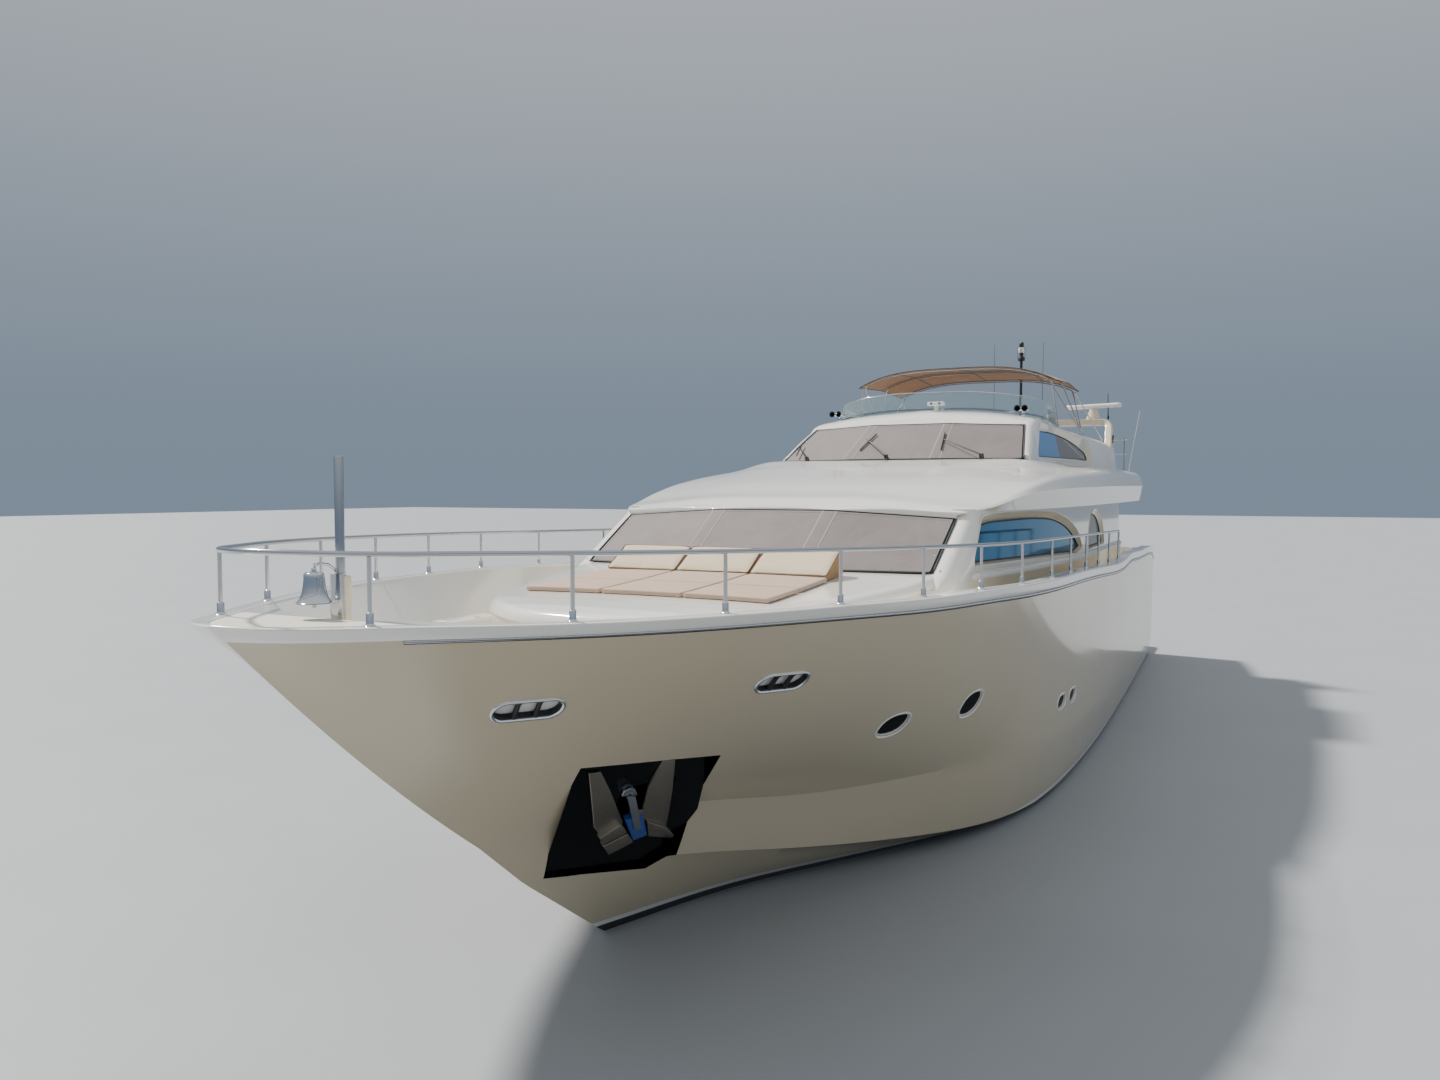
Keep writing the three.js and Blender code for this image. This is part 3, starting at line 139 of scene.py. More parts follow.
def shell(points, wrap=False, ends=False, slot=0):
    """Faces on a grid of points: (row, column) joins (row, column + 1), (row + 1, column + 1) and (row + 1, column).
    With wrap the last column joins the first, and with ends the first and last rows are closed flat."""
    points = np.asarray(points, float)
    rows, columns = points.shape[:2]
    r, c = np.meshgrid(np.arange(rows - 1), np.arange(columns if wrap else columns - 1), indexing="ij")
    a, b = r * columns + c, r * columns + (c + 1) % columns
    faces = np.stack([a, b, b + columns, a + columns], -1).reshape(-1, 4).tolist()
    if ends:
        faces += [list(range(columns))[::-1], list(range((rows - 1) * columns, rows * columns))]
    return points.reshape(-1, 3), faces, [slot] * len(faces)


def make(name, shells, *materials, sharp=35, weld=1e-4, outward=True):
    """One object from shells: points nearer than weld become one, faces turn outwards, and edges past the sharp angle
    stay sharp."""
    starts = np.cumsum([0] + [len(s[0]) for s in shells])
    mesh = bpy.data.meshes.new(name)
    faces = [[start + k for k in face] for start, s in zip(starts, shells) for face in s[1]]
    mesh.from_pydata(np.vstack([s[0] for s in shells]).tolist(), [], faces)
    mesh.polygons.foreach_set("material_index", np.concatenate([s[2] for s in shells]))
    work = bmesh.new()
    work.from_mesh(mesh)
    bmesh.ops.remove_doubles(work, verts=work.verts, dist=weld)
    bmesh.ops.dissolve_degenerate(work, edges=work.edges, dist=weld / 10)
    if outward:
        bmesh.ops.recalc_face_normals(work, faces=work.faces)
    work.to_mesh(mesh)
    work.free()
    for material in materials:
        mesh.materials.append(material)
    mesh.shade_smooth()
    mesh.set_sharp_from_angle(angle=math.radians(sharp))
    piece = bpy.data.objects.new(name, mesh)
    bpy.context.scene.collection.objects.link(piece)
    return piece


floor_paint = speckled("matt_studio_floor", 0.4, 2.0, "#9b9fa3", "#a4a8ac", Roughness=0.55, IOR=1.45)
tile_lines = np.linspace(-FLOOR_HALF, FLOOR_HALF, 9)
u, v = np.meshgrid(tile_lines, tile_lines, indexing="ij")
floor = make("studio_floor", [shell(np.stack([u, v, 0 * u], -1))], floor_paint, outward=False)

world = bpy.data.worlds.new("studio")
world.use_nodes = True
tree = world.node_tree
look = node(tree, "ShaderNodeTexCoord").outputs["Generated"]
lift = node(tree, "ShaderNodeMapRange", {
    "Value": node(tree, "ShaderNodeSeparateXYZ", {"Vector": look}).outputs["Z"], "From Min": 0.0, "From Max": 0.75,
}, interpolation_type="SMOOTHSTEP")
sky = blend(tree, lift.outputs["Result"], "#8fa1b5", "#f1f5fa")
tree.links.new(sky, tree.nodes["Background"].inputs["Color"])
tree.nodes["Background"].inputs["Strength"].default_value = WORLD_STRENGTH
bpy.context.scene.world = world
key = bpy.data.lights.new("key", "SUN")
key.energy, key.angle, key.color = KEY_STRENGTH, KEY_WIDTH, (1.0, 0.96, 0.9)
key_lamp = bpy.data.objects.new("key", key)
key_lamp.rotation_euler = Vector(KEY_FROM).to_track_quat("Z", "Y").to_euler()
bpy.context.scene.collection.objects.link(key_lamp)

# Hull
# One glass-fibre moulding, gelcoated in its mould and polished: a sharp flared stem, a soft knuckle, a hard chine
# and a vee bottom under antifouling. Deck, bulwarks, cockpit and transom stairs are laminated in.
LINES = {  # from the stem aft: x, half breadth, height
    "gunwale": [
        (12.23, 0, 3.2), (12.1, 0.33, 3.185), (11.7, 0.70, 3.165), (10.77, 1.41, 3.125), (9.74, 1.985, 3.10),
        (8.67, 2.43, 3.08), (7.57, 2.765, 3.05), (6.46, 2.985, 3.03), (5.35, 3.095, 2.99), (2.0, 3.125, 2.89),
        (-0.5, 3.125, 2.80), (-2.6, 3.12, 2.735), (-3.2, 3.115, 2.745), (-4.2, 3.105, 2.79), (-5.5, 3.095, 2.76),
        (-9.4, 3.035, 2.65), (-11.05, 2.93, 2.45),
    ],
    "flare": [
        (11.2, 0, 2.23), (10.44, 0.63, 2.30), (8.7, 1.71, 2.30), (7.0, 2.43, 2.20), (5.0, 2.88, 2.10),
        (2.0, 3.09, 2.0), (-4.0, 3.10, 1.80), (-11.05, 2.92, 1.50),
    ],
    "knuckle": [
        (10.0, 0, 1.27), (7.95, 0.76, 1.18), (6.8, 1.25, 1.01), (5.8, 1.90, 0.99), (4.3, 2.65, 0.98),
        (1.9, 3.03, 0.87), (-3.5, 3.07, 0.70), (-11.05, 2.91, 0.56),
    ],
    "chine_top": [
        (9.5, 0, 0.85), (8.1, 0.64, 0.73), (6.9, 1.16, 0.50), (5.6, 1.86, 0.315), (4.4, 2.39, 0.185),
        (1.0, 2.90, 0.02), (-3.5, 2.95, -0.09), (-11.05, 2.85, -0.14),
    ],
    "chine": [
        (9.38, 0, 0.76), (8.06, 0.57, 0.70), (6.88, 1.08, 0.47), (5.58, 1.78, 0.29), (4.38, 2.31, 0.16),
        (1.0, 2.82, 0.0), (-3.5, 2.87, -0.11), (-11.05, 2.77, -0.16),
    ],
    "keel": [
        (8.4, 0, 0.06), (7.7, 0, -0.35), (6.3, 0, -0.74), (4.0, 0, -1.0), (0, 0, -1.12), (-5.0, 0, -1.08),
        (-11.05, 0, -0.82),
    ],
}
DECK = [  # x, height inside the bulwarks
    (-9.95, 1.95), (-7.5, 1.95), (-7.4, 2.06), (0, 2.14), (3.2, 2.24), (5.6, 2.40), (9.0, 2.42), (9.6, 2.44),
    (10.3, 2.49), (10.9, 2.62), (11.42, 2.84),
]
BULWARK = 0.16
WELL_FRONT, PLATFORM_AFT = (11.42, 0.25), (10.9, 1.08)  # x, half width
STAIR_INNER, STAIR_OUTER, STAIR_FRONT, TREAD, RISE, STEPS = 1.72, 2.56, -9.94, 0.22, 0.27, 5
COCKPIT_AFT, COCKPIT_FRONT = -9.95, -7.5
HIGHLIGHT_LINE_TOP, HIGHLIGHT_LINE_LOW = 0.135, 0.085  # heights of the pale line above the antifouling, a painted highlight for the light off the chine
POCKET_CENTRE, POCKET_NORMAL = (8.7, 0.68, 1.262), (0.332, 0.775, -0.538)
POCKET_OUTLINE = [(-0.86, 0.70), (0.48, 0.62), (0.66, -0.18), (0.50, -0.64), (0.28, -0.76), (-0.80, -0.54)]
RECESS = [(-0.33, 0.33), (0.23, 0.33), (0.23, -0.33), (-0.33, -0.33)]
PLATE_DEPTH, RECESS_DEPTH = 0.07, 0.42
BOTTOM_HOLLOW, HULL_SHARP = 0.06, 22  # depth of the vee's concave curve; angle past which an edge is left sharp


def spline(knots, values, places):
    """Natural cubic spline: cubics whose slope and bend agree at each knot, with no bend at the two ends."""
    knots, places = np.asarray(knots, float), np.atleast_1d(np.asarray(places, float))
    values = np.asarray(values, float).reshape(len(knots), -1)
    step = np.diff(knots)
    inner = np.arange(1, len(knots) - 1)
    matrix, pull = np.eye(len(knots)), np.zeros_like(values)
    matrix[inner, inner - 1], matrix[inner, inner + 1] = step[:-1], step[1:]
    matrix[inner, inner] = 2 * (step[:-1] + step[1:])
    slope = np.diff(values, axis=0) / step[:, None]
    pull[1:-1] = 6 * np.diff(slope, axis=0)
    bend = np.linalg.solve(matrix, pull)
    k = np.clip(np.searchsorted(knots, places, side="right") - 1, 0, len(knots) - 2)
    ahead, behind, h = (places - knots[k])[:, None], (knots[k + 1] - places)[:, None], step[k][:, None]
    return ((bend[k] * behind ** 3 + bend[k + 1] * ahead ** 3) / (6 * h)
            + (values[k] / h - bend[k] * h / 6) * behind + (values[k + 1] / h - bend[k + 1] * h / 6) * ahead)


def way_along(rows):
    """Distance from a line's first point to each of its points, on straight pieces."""
    return np.concatenate([[0], np.cumsum(np.linalg.norm(np.diff(rows, axis=0), axis=1))])


def at_places(places, knots, rows):
    """Points of a line at places between its knots: each coordinate on straight pieces."""
    return np.stack([np.interp(places, knots, rows[:, k]) for k in range(3)], -1)


def along(rows, shares):
    """Points of a fair line through the rows, at shares of its length."""
    rows = np.asarray(rows, float)
    chord = way_along(rows)
    fine = spline(chord, rows, np.linspace(0, chord[-1], 3000))
    length = way_along(fine)
    return at_places(np.asarray(shares) * length[-1], length, fine)


def between(a, b, count, power=1.0):
    """Rows of points from a to b, both ends in: a + share (b - a)."""
    share = np.linspace(0, 1, count)[:, None, None] ** power
    return a[None] + share * (b - a)[None]


def mirrored(points):
    """The same grid on the other side of the centreline, its columns turned about so that it faces outwards."""
    return (points * (1, -1, 1))[:, ::-1]


def deck_at(x):
    """Height of the deck inside the bulwarks."""
    return np.interp(x, [row[0] for row in DECK], [row[1] for row in DECK])


stair_edges = [STAIR_FRONT - k * TREAD for k in range(STEPS)]
steps_x = [WELL_FRONT[0], COCKPIT_FRONT, COCKPIT_AFT] + stair_edges
fine_share = np.linspace(0, 1, 4001)
gunwale_x = along(LINES["gunwale"], fine_share)[:, 0]
share_at = lambda x: np.interp(-np.asarray(x), -gunwale_x, fine_share)
shares = np.unique(np.concatenate([np.linspace(0, 1, 261) ** 1.3, share_at(steps_x + [PLATFORM_AFT[0], -7.4])]))
line = {name: along(rows, shares) for name, rows in LINES.items()}

# The topsides run from the knuckle through the flare line to the gunwale on one parabola at each station
rise = np.linspace(0, 1, 25)[:, None, None]
low, mid, high = line["knuckle"][None], line["flare"][None], line["gunwale"][None]
span = np.linalg.norm(mid - low, axis=-1, keepdims=True)
middle = span / (span + np.linalg.norm(high - mid, axis=-1, keepdims=True))
topsides = (low * (rise - middle) * (rise - 1) / middle - mid * rise * (rise - 1) / (middle * (1 - middle))
            + high * rise * (rise - middle) / (1 - middle))
bottom = between(line["keel"], line["chine"], 13)
hollow = np.sin(np.linspace(0, np.pi, 13))[:, None] * BOTTOM_HOLLOW * np.minimum(line["chine"][:, 1] / 1.5, 1)
bottom[:, :, 2] -= hollow
flat = between(line["chine"], line["chine_top"], 3)
side = between(line["chine_top"], line["knuckle"], 9)

# The inside: over the bulwark, down its inner face and across the deck, with each step in the deck at a doubled station
inside_share = np.sort(np.concatenate([shares, share_at(steps_x)]))
edge = at_places(inside_share, shares, line["gunwale"])
stations = edge[:, 0]
aft_of = lambda x: (stations < x - 1e-6) | (
    (np.abs(stations - x) < 1e-6) & np.concatenate([[False], np.diff(stations) > -1e-6]))
in_well = aft_of(WELL_FRONT[0]) & ~aft_of(COCKPIT_AFT)
floor_z = np.where(aft_of(COCKPIT_FRONT), DECK[0][1], deck_at(stations))
floor_z = np.where(in_well, floor_z, edge[:, 2])
stair_z = floor_z.copy()
for k, x in enumerate(stair_edges):
    stair_z = np.where(aft_of(x), DECK[0][1] - k * RISE, stair_z)
platform_half = np.interp(stations, [PLATFORM_AFT[0], WELL_FRONT[0]], [PLATFORM_AFT[1], WELL_FRONT[1]])
fine = {name: along(LINES[name], fine_share) for name in ("gunwale", "flare")}
line_at = lambda name, column: np.interp(-stations, -fine[name][:, 0], fine[name][:, column])
stem_share = np.clip((stations - LINES["flare"][0][0]) / (LINES["gunwale"][0][0] - LINES["flare"][0][0]), 0, 1)
flare_z = line_at("flare", 2) + stem_share * (edge[:, 2] - line_at("flare", 2))
lean = np.clip((floor_z - flare_z) / np.maximum(edge[:, 2] - flare_z, 1e-3), -1, 1)
rim = np.maximum(edge[:, 1] - BULWARK, 0)
foot = np.maximum(line_at("flare", 1) + (edge[:, 1] - line_at("flare", 1)) * lean - BULWARK, 0)
beside_platform = in_well & (stations > PLATFORM_AFT[0])
rim = np.where(beside_platform, np.minimum(rim, platform_half), rim)
foot = np.where(beside_platform, np.minimum(foot, platform_half), foot)
foot = np.where(in_well, np.minimum(foot, rim), rim)
outer, inner = np.minimum(STAIR_OUTER, foot), np.minimum(STAIR_INNER, foot)
point = lambda y, z: np.stack([stations, y, z], -1)
inside = np.concatenate([
    between(edge, point(rim, edge[:, 2]), 3), between(point(rim, edge[:, 2]), point(foot, floor_z), 5)[1:],
    between(point(foot, floor_z), point(outer, floor_z), 3)[1:],
    between(point(outer, floor_z), point(outer, stair_z), 2)[1:],
    between(point(outer, stair_z), point(inner, stair_z), 3)[1:],
    between(point(inner, stair_z), point(inner, floor_z), 2)[1:],
    between(point(inner, floor_z), point(0 * foot, floor_z), 7)[1:]])


def gelcoat(name, pale, deep, roughness):
    """Polished gelcoat over glass fibre: a clear hard gloss, the weave's faint print-through and slow fairing
    waves. Gives the material, its tree, its shader and its colour."""
    material, tree, shader = finish_of(name, IOR=1.52, Coat_Weight=0.5, Coat_Roughness=0.04, Coat_IOR=1.5)
    place = tree_coordinates(tree)
    cloud = node(tree, "ShaderNodeTexNoise", {"Vector": place, "Scale": 0.7, "Detail": 3.0})
    tint = blend(tree, cloud.outputs["Fac"], pale, deep)
    haze = node(tree, "ShaderNodeMapRange", {
        "Value": cloud.outputs["Fac"], "To Min": roughness - 0.04, "To Max": roughness + 0.05})
    peel = node(tree, "ShaderNodeTexNoise", {"Vector": place, "Scale": 9.0, "Detail": 2.0})
    bump = node(tree, "ShaderNodeBump", {"Height": peel.outputs["Fac"], "Strength": 0.06, "Distance": 0.004})
    tree.links.new(tint, shader.inputs["Base Color"])
    tree.links.new(haze.outputs["Result"], shader.inputs["Roughness"])
    tree.links.new(bump.outputs["Normal"], shader.inputs["Normal"])
    return material, tree, shader, tint


hull_gelcoat, tree, shader, tint = gelcoat("polished_cream_gelcoat", "#cdc0a6", "#c5b79b", 0.15)
# A pale line above the antifouling is a painted highlight for the light off the chine; below it the same skin is matt
# black
height = node(tree, "ShaderNodeSeparateXYZ", {"Vector": tree_coordinates(tree)}).outputs["Z"]
above_low = node(tree, "ShaderNodeMath", {0: height, 1: HIGHLIGHT_LINE_LOW}, operation="GREATER_THAN")
above_top = node(tree, "ShaderNodeMath", {0: height, 1: HIGHLIGHT_LINE_TOP}, operation="GREATER_THAN")
antifouling_and_painted_highlight = blend(tree, above_low.outputs["Value"], "#14171b", "#e9e8e2")
tree.links.new(blend(tree, above_top.outputs["Value"], antifouling_and_painted_highlight, tint), shader.inputs["Base Color"])

white_gelcoat, *_ = gelcoat("polished_white_gelcoat", "#f1f0ea", "#eceae3", 0.14)
cream_gelcoat, *_ = gelcoat("polished_ivory_gelcoat", "#e4dac2", "#dfd4ba", 0.2)

# Moulded deck with a fine raised grit underfoot; the grit is drawn 12 mm across, coarser than it is
deck_gelcoat, tree, shader = finish_of("moulded_nonskid_gelcoat", Roughness=0.45, IOR=1.5)
place = tree_coordinates(tree)
grit = node(tree, "ShaderNodeTexVoronoi", {"Vector": place, "Scale": 80.0})
soil = node(tree, "ShaderNodeTexNoise", {"Vector": place, "Scale": 1.1, "Detail": 5.0})
bump = node(tree, "ShaderNodeBump", {"Height": grit.outputs["Distance"], "Strength": 0.35, "Distance": 0.002})
tree.links.new(blend(tree, soil.outputs["Fac"], "#e6e1d5", "#dcd5c5"), shader.inputs["Base Color"])
tree.links.new(bump.outputs["Normal"], shader.inputs["Normal"])

port_skin = [(bottom, 0), (flat, 0), (side, 0), (topsides, 0)]
shells = [shell(grid.transpose(1, 0, 2), slot=slot) for grid, slot in port_skin]
shells += [shell(mirrored(grid.transpose(1, 0, 2)), slot=slot) for grid, slot in port_skin]
rim_rows, floor_rows = inside[:7].transpose(1, 0, 2), inside[6:].transpose(1, 0, 2)
shells += [
    shell(rim_rows, slot=1), shell(mirrored(rim_rows), slot=1), shell(floor_rows, slot=2),
    shell(mirrored(floor_rows), slot=2)]
half = np.concatenate([bottom[:, -1], flat[1:, -1], side[1:, -1], topsides[1:, -1], inside[1:, -1]])
half = half[np.concatenate([[True], np.linalg.norm(np.diff(half, axis=0), axis=1) > 1e-6])]
transom = np.concatenate([half, (half * (1, -1, 1))[::-1][1:-1]])
shells.append((transom, [list(range(len(transom)))], [0]))
hull = make("hull_moulding", shells, hull_gelcoat, white_gelcoat, deck_gelcoat, sharp=HULL_SHARP)


def pocket_axes():
    """The anchor pocket's plane on the port bow: across it, up it, and outwards, as rows."""
    out = np.array(POCKET_NORMAL) / np.linalg.norm(POCKET_NORMAL)
    over = np.array([-out[1], out[0], 0]) / math.hypot(out[0], out[1])
    return np.stack([over, np.cross(out, over), out])


def on_pocket(outline, depths):
    """Rings of an outline at depths off the pocket's plane: centre + u across + v up + depth out."""
    outline = np.asarray(outline, float)
    axes = pocket_axes()
    return np.array([np.array(POCKET_CENTRE) + outline @ axes[:2] + depth * axes[2] for depth in depths])


def carve(piece, *tools):
    """Cuts the tools out of the piece and removes them."""
    for tool in tools:
        cut = piece.modifiers.new("cut", "BOOLEAN")
        cut.object, cut.operation, cut.solver = tool, "DIFFERENCE", "MANIFOLD"
    bpy.context.view_layer.update()
    carved = bpy.data.meshes.new_from_object(piece.evaluated_get(bpy.context.evaluated_depsgraph_get()))
    piece.modifiers.clear()
    piece.data = carved
    for tool in tools:
        bpy.data.objects.remove(tool)
    return piece


def fit(piece, slot, *nodes, body="yacht"):
    """Says which body a piece moves with and hides the solids it stands for; slot, the name of its finish, is not used.
    """
    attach(piece, body)
    if nodes:
        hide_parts(*nodes)
    return piece


def add(name, shells, material, slot, *nodes, sharp=50, body="yacht"):
    """Makes a piece of one material and fits it."""
    return fit(make(name, shells, material, sharp=sharp), slot, *nodes, body=body)


# Polished steel coloured near black: painted dark reflection on the anchor plates and painted shade on the pocket walls
steel_painted_dark_for_shade = handled("mirror_polished_dark_steel", "#22282b", 4.0, 5.0, 0.10, 0.22)
tools = []
for hand in (1, -1):
    for number, (outline, depths) in enumerate([(POCKET_OUTLINE, (-PLATE_DEPTH, 0.5)), (RECESS, (-RECESS_DEPTH, 0.1))]):
        ring = shell(on_pocket(outline, depths) * (1, hand, 1), wrap=True, ends=True, slot=3)
        tools.append(make(f"tool_{number}_{hand}", [ring], hull_gelcoat, white_gelcoat, deck_gelcoat, steel_painted_dark_for_shade))
hull.data.materials.append(steel_painted_dark_for_shade)
carve(hull, *tools)
hull.data.set_sharp_from_angle(angle=math.radians(HULL_SHARP))
fit(hull, "hull_gelcoat", "hull", "bulwark_port", "bulwark_starboard")

# Deck edge
# A white glass-fibre capping bonded over the joint of hull and deck all the way round, rounded at its top. Under it a
# half-round rubbing strip of stainless steel is held by countersunk screws.
CAP_FACE = [  # down, out
    (0.135, -0.004), (0.131, 0.010), (0.118, 0.0145), (0.085, 0.0155), (0.05, 0.0155), (0.022, 0.014)]
CAP_ROUND = [(0.0115, -0.006), (0.0085, 0.001), (0.003, 0.005), (-0.01, 0.006)]  # out, up from the gunwale
CAP_LIP = [(-0.004, 0.003), (-0.006, -0.004), (-0.006, -0.03)]  # out, up from the bulwark's inner edge
STRIP_DOWN, STRIP_START, SCREW_SPACING = 0.16, 11.656, 0.25
STRIP_SECTION = [  # out, up
    (-0.004, -0.015), (0.004, -0.015), (0.009, -0.010), (0.011, 0), (0.009, 0.010), (0.004, 0.015), (-0.004, 0.015)]
BEDDING = [(-0.004, -0.024), (0.004, -0.024), (0.0055, -0.012), (0.0055, 0.012), (0.004, 0.019), (-0.004, 0.019)]
SCREW = [(0, 0), (0.0075, 0), (0.0065, 0.003), (0, 0.004)]


def skin_below(down):
    """Points of the port topsides a distance below the gunwale, one at each station: each column's last five steps
    give the length of a step, and the place between two rows is on the straight line that joins them."""
    step = np.linalg.norm(topsides[-1] - topsides[-6], axis=-1) / 5
    row = len(topsides) - 1 - down / step
    k, column = row.astype(int), np.arange(topsides.shape[1])
    return topsides[k, column] + (row - k)[:, None] * (
        topsides[np.minimum(k + 1, len(topsides) - 1), column] - topsides[k, column])


def both_sides(shells):
    """The shells and their mirror images across the centreline."""
    return shells + [(points * (1, -1, 1), faces, slots) for points, faces, slots in shells]


def turned(profile, foot, axis=(0, 0, 1), sides=24, slot=0):
    """A profile of radius and height turned about an axis through a foot point."""
    profile, axis = np.asarray(profile, float), np.asarray(axis, float) / np.linalg.norm(axis)
    side = np.cross(axis, (0, 0, 1) if abs(axis[2]) < 0.9 else (1, 0, 0))
    side /= np.linalg.norm(side)
    turn = np.arange(sides) * 2 * np.pi / sides
    round_ring = np.cos(turn)[:, None] * side + np.sin(turn)[:, None] * np.cross(axis, side)
    return shell(
        np.asarray(foot, float) + profile[:, :1, None] * round_ring + profile[:, 1:, None] * axis, wrap=True, slot=slot)


top_line = line["gunwale"]
running, rising = np.gradient(top_line, axis=0), top_line - skin_below(0.1)
skin_out = np.cross(running, rising)
skin_out[0] *= (1, 0, 1)
skin_out /= np.linalg.norm(skin_out, axis=1, keepdims=True)
skin_up = np.cross(skin_out, running)
skin_up /= np.linalg.norm(skin_up, axis=1, keepdims=True) * np.sign(skin_up[:, 2:])
level_out = skin_out * (1, 1, 0)
level_out /= np.linalg.norm(level_out, axis=1, keepdims=True)
inner_line = top_line.copy()
inner_line[:, 1] = np.maximum(top_line[:, 1] - BULWARK, 0)
has_lip = (inner_line[:, 1:2] > 0).astype(float)
cap = [skin_below(down) + out * skin_out for down, out in CAP_FACE]
cap += [top_line + out * level_out + (0, 0, up) for out, up in CAP_ROUND]
cap += list(between(cap[-1], inner_line + (0, 0, 0.006), 4)[1:])
cap += [inner_line + has_lip * (0, out, up - 0.006) + (0, 0, 0.006) for out, up in CAP_LIP]
cap = np.stack(cap, 1)
cap[:, :, 1] = np.maximum(cap[:, :, 1], 0)
shells = [shell(cap, wrap=True), (cap[-1], [list(range(cap.shape[1]))], [0])]
add("gunwale_capping", both_sides(shells), white_gelcoat, "white_gelcoat", sharp=45)

steel = handled("polished_stainless_steel", "#b9bcc0", 6.0, 4.0, 0.10, 0.24)
from_here = top_line[:, 0] <= STRIP_START
strip_line, strip_out, strip_up = skin_below(STRIP_DOWN)[from_here], skin_out[from_here], skin_up[from_here]
taper = np.clip(0.35 + (STRIP_START - strip_line[:, :1]) / 0.03, 0, 1)[:, None]


def on_strip(section):
    """A section of out and up carried along the strip's line."""
    section = np.array(section)
    offsets = section[None, :, :1] * strip_out[:, None] + section[None, :, 1:] * strip_up[:, None]
    return shell(strip_line[:, None] + taper * offsets, wrap=True, ends=True)


shells = [on_strip(STRIP_SECTION)]
for x in np.arange(STRIP_START - 0.1, -11.0, -SCREW_SPACING):
    at_x = lambda rows: at_places(-x, -strip_line[:, 0], rows)
    shells.append(turned(SCREW, at_x(strip_line) + 0.010 * at_x(strip_out), at_x(strip_out), 8))
add("rubbing_strip", both_sides(shells), steel, "steel")

# Fairleads and hull ports
# Pill-shaped mooring ports through the bulwark, each a chromed bezel with two black rollers, and oval cabin ports of
# dark glass in white moulded rims.
FAIRLEADS = [(10.463, 0.819, 2.477), (8.69, 1.895, 2.464)]
PORTS = [((6.758, 2.170, 1.770), 0.170, 0.145), ((5.649, 2.619, 1.809), 0.165, 0.140),
         ((2.60, 3.012, 1.315), 0.185, 0.075), ((1.99, 3.048, 1.295), 0.185, 0.075)]  # place, half length, half height
FAIRLEAD_HALF, ROLLER_PLACE, PORT_DEEP = (0.24, 0.095), 0.075, 0.05
SPOOL = [(0, -0.088), (0.026, -0.088), (0.026, -0.078), (0.019, -0.066), (0.019, 0.066), (0.026, 0.078), (0.026, 0.088),
         (0, 0.088)]
BEZEL = [(0.004, -0.012), (0.022, -0.008), (0.021, 0.006), (0.012, 0.013), (0.002, 0.010), (-0.004, 0.0)]
SLEEVE = [(0.004, -0.046), (0.004, -0.004), (-0.004, -0.001), (-0.012, -0.006), (-0.012, -0.046)]
PORT_RIM = [(0.006, -0.03), (0.034, -0.008), (0.032, 0.005), (0.024, 0.007), (0.002, -0.020), (-0.006, -0.026)]


def skin_frame(place):
    """A place brought onto the port topsides, with the directions forward, up and out there as rows."""
    row, column = np.unravel_index(np.linalg.norm(topsides - np.array(place), axis=-1).argmin(), topsides.shape[:2])
    row, column = np.clip(row, 1, len(topsides) - 2), max(column, 1)
    forward = topsides[row, column - 1] - topsides[row, column + 1]
    out = np.cross(topsides[row + 1, column] - topsides[row - 1, column], forward)
    out /= np.linalg.norm(out)
    forward = forward * (1, 1, 0) - out * (forward[:2] @ out[:2])
    forward /= np.linalg.norm(forward)
    return place - out * ((place - topsides[row, column]) @ out), np.stack([forward, np.cross(forward, out), out])


def circle(radius, sides=12):
    """A round profile."""
    turn = np.arange(sides) * 2 * np.pi / sides
    return radius * np.stack([np.cos(turn), np.sin(turn)], -1)


def pill(half_length, half_height):
    """A round outline pulled apart along its length."""
    loop = circle(half_height, 40)
    return loop + np.sign(loop[:, :1]) * (half_length - half_height, 0)


def oval(half_length, half_height):
    """A squared ellipse: cosine and sine, each kept in sign and taken to the power 0.85."""
    loop = circle(1.0, 40)
    return np.sign(loop) * np.abs(loop) ** 0.85 * (half_length, half_height)


def ringed(frame, shape, halves, section):
    """Rings of a shape, grown by each first number of the section and lifted off the hull by its second."""
    place, axes = frame
    return np.array([
        place + shape(halves[0] + grow, halves[1] + grow) @ axes[:2] + lift * axes[2] for grow, lift in section])


def closed_ring(rings):
    """A ring-shaped body: its last ring joins its first."""
    return shell(np.concatenate([rings, rings[:1]]), wrap=True)


chrome = handled("chromed_brass", "#d7dade", 14.0, 3.0, 0.04, 0.14)
rubber = speckled("black_moulded_rubber", 60.0, 2.0, "#1a1a1c", "#242426", Roughness=0.6, IOR=1.52)
dark_glass, *_ = finish_of(
    "dark_laminated_glass", Base_Color=linear("#2a3136"), Roughness=0.05, Metallic=0.7, Specular_Tint=linear("#8a949a"))
add("rubbing_strip_bedding", both_sides([on_strip(BEDDING)]), rubber, "black_plastic")
tools, bezels, sleeves, rims, panes = [], [], [], [], []
for place in FAIRLEADS:
    frame_here = skin_frame(np.array(place))
    tools.append(ringed(frame_here, pill, FAIRLEAD_HALF, [(0.002, -PORT_DEEP), (0.002, 0.2)]))
    bezels.append(closed_ring(ringed(frame_here, pill, FAIRLEAD_HALF, BEZEL)))
    sleeves.append(closed_ring(ringed(frame_here, pill, FAIRLEAD_HALF, SLEEVE)))
    origin, (forward, up, out) = frame_here
    for shift in (-ROLLER_PLACE, ROLLER_PLACE):
        sleeves.append(turned(SPOOL, origin + shift * forward - 0.02 * out, up, 16))
for place, half_length, half_height in PORTS:
    frame_here = skin_frame(np.array(place))
    halves = (half_length, half_height)
    tools.append(ringed(frame_here, oval, halves, [(0.004, -0.034), (0.004, 0.2)]))
    rims.append(closed_ring(ringed(frame_here, oval, halves, PORT_RIM)))
    panes.append(shell(ringed(frame_here, oval, halves, [(0.0, -0.033), (0.0, -0.021)]), wrap=True, ends=True))
cutters = []
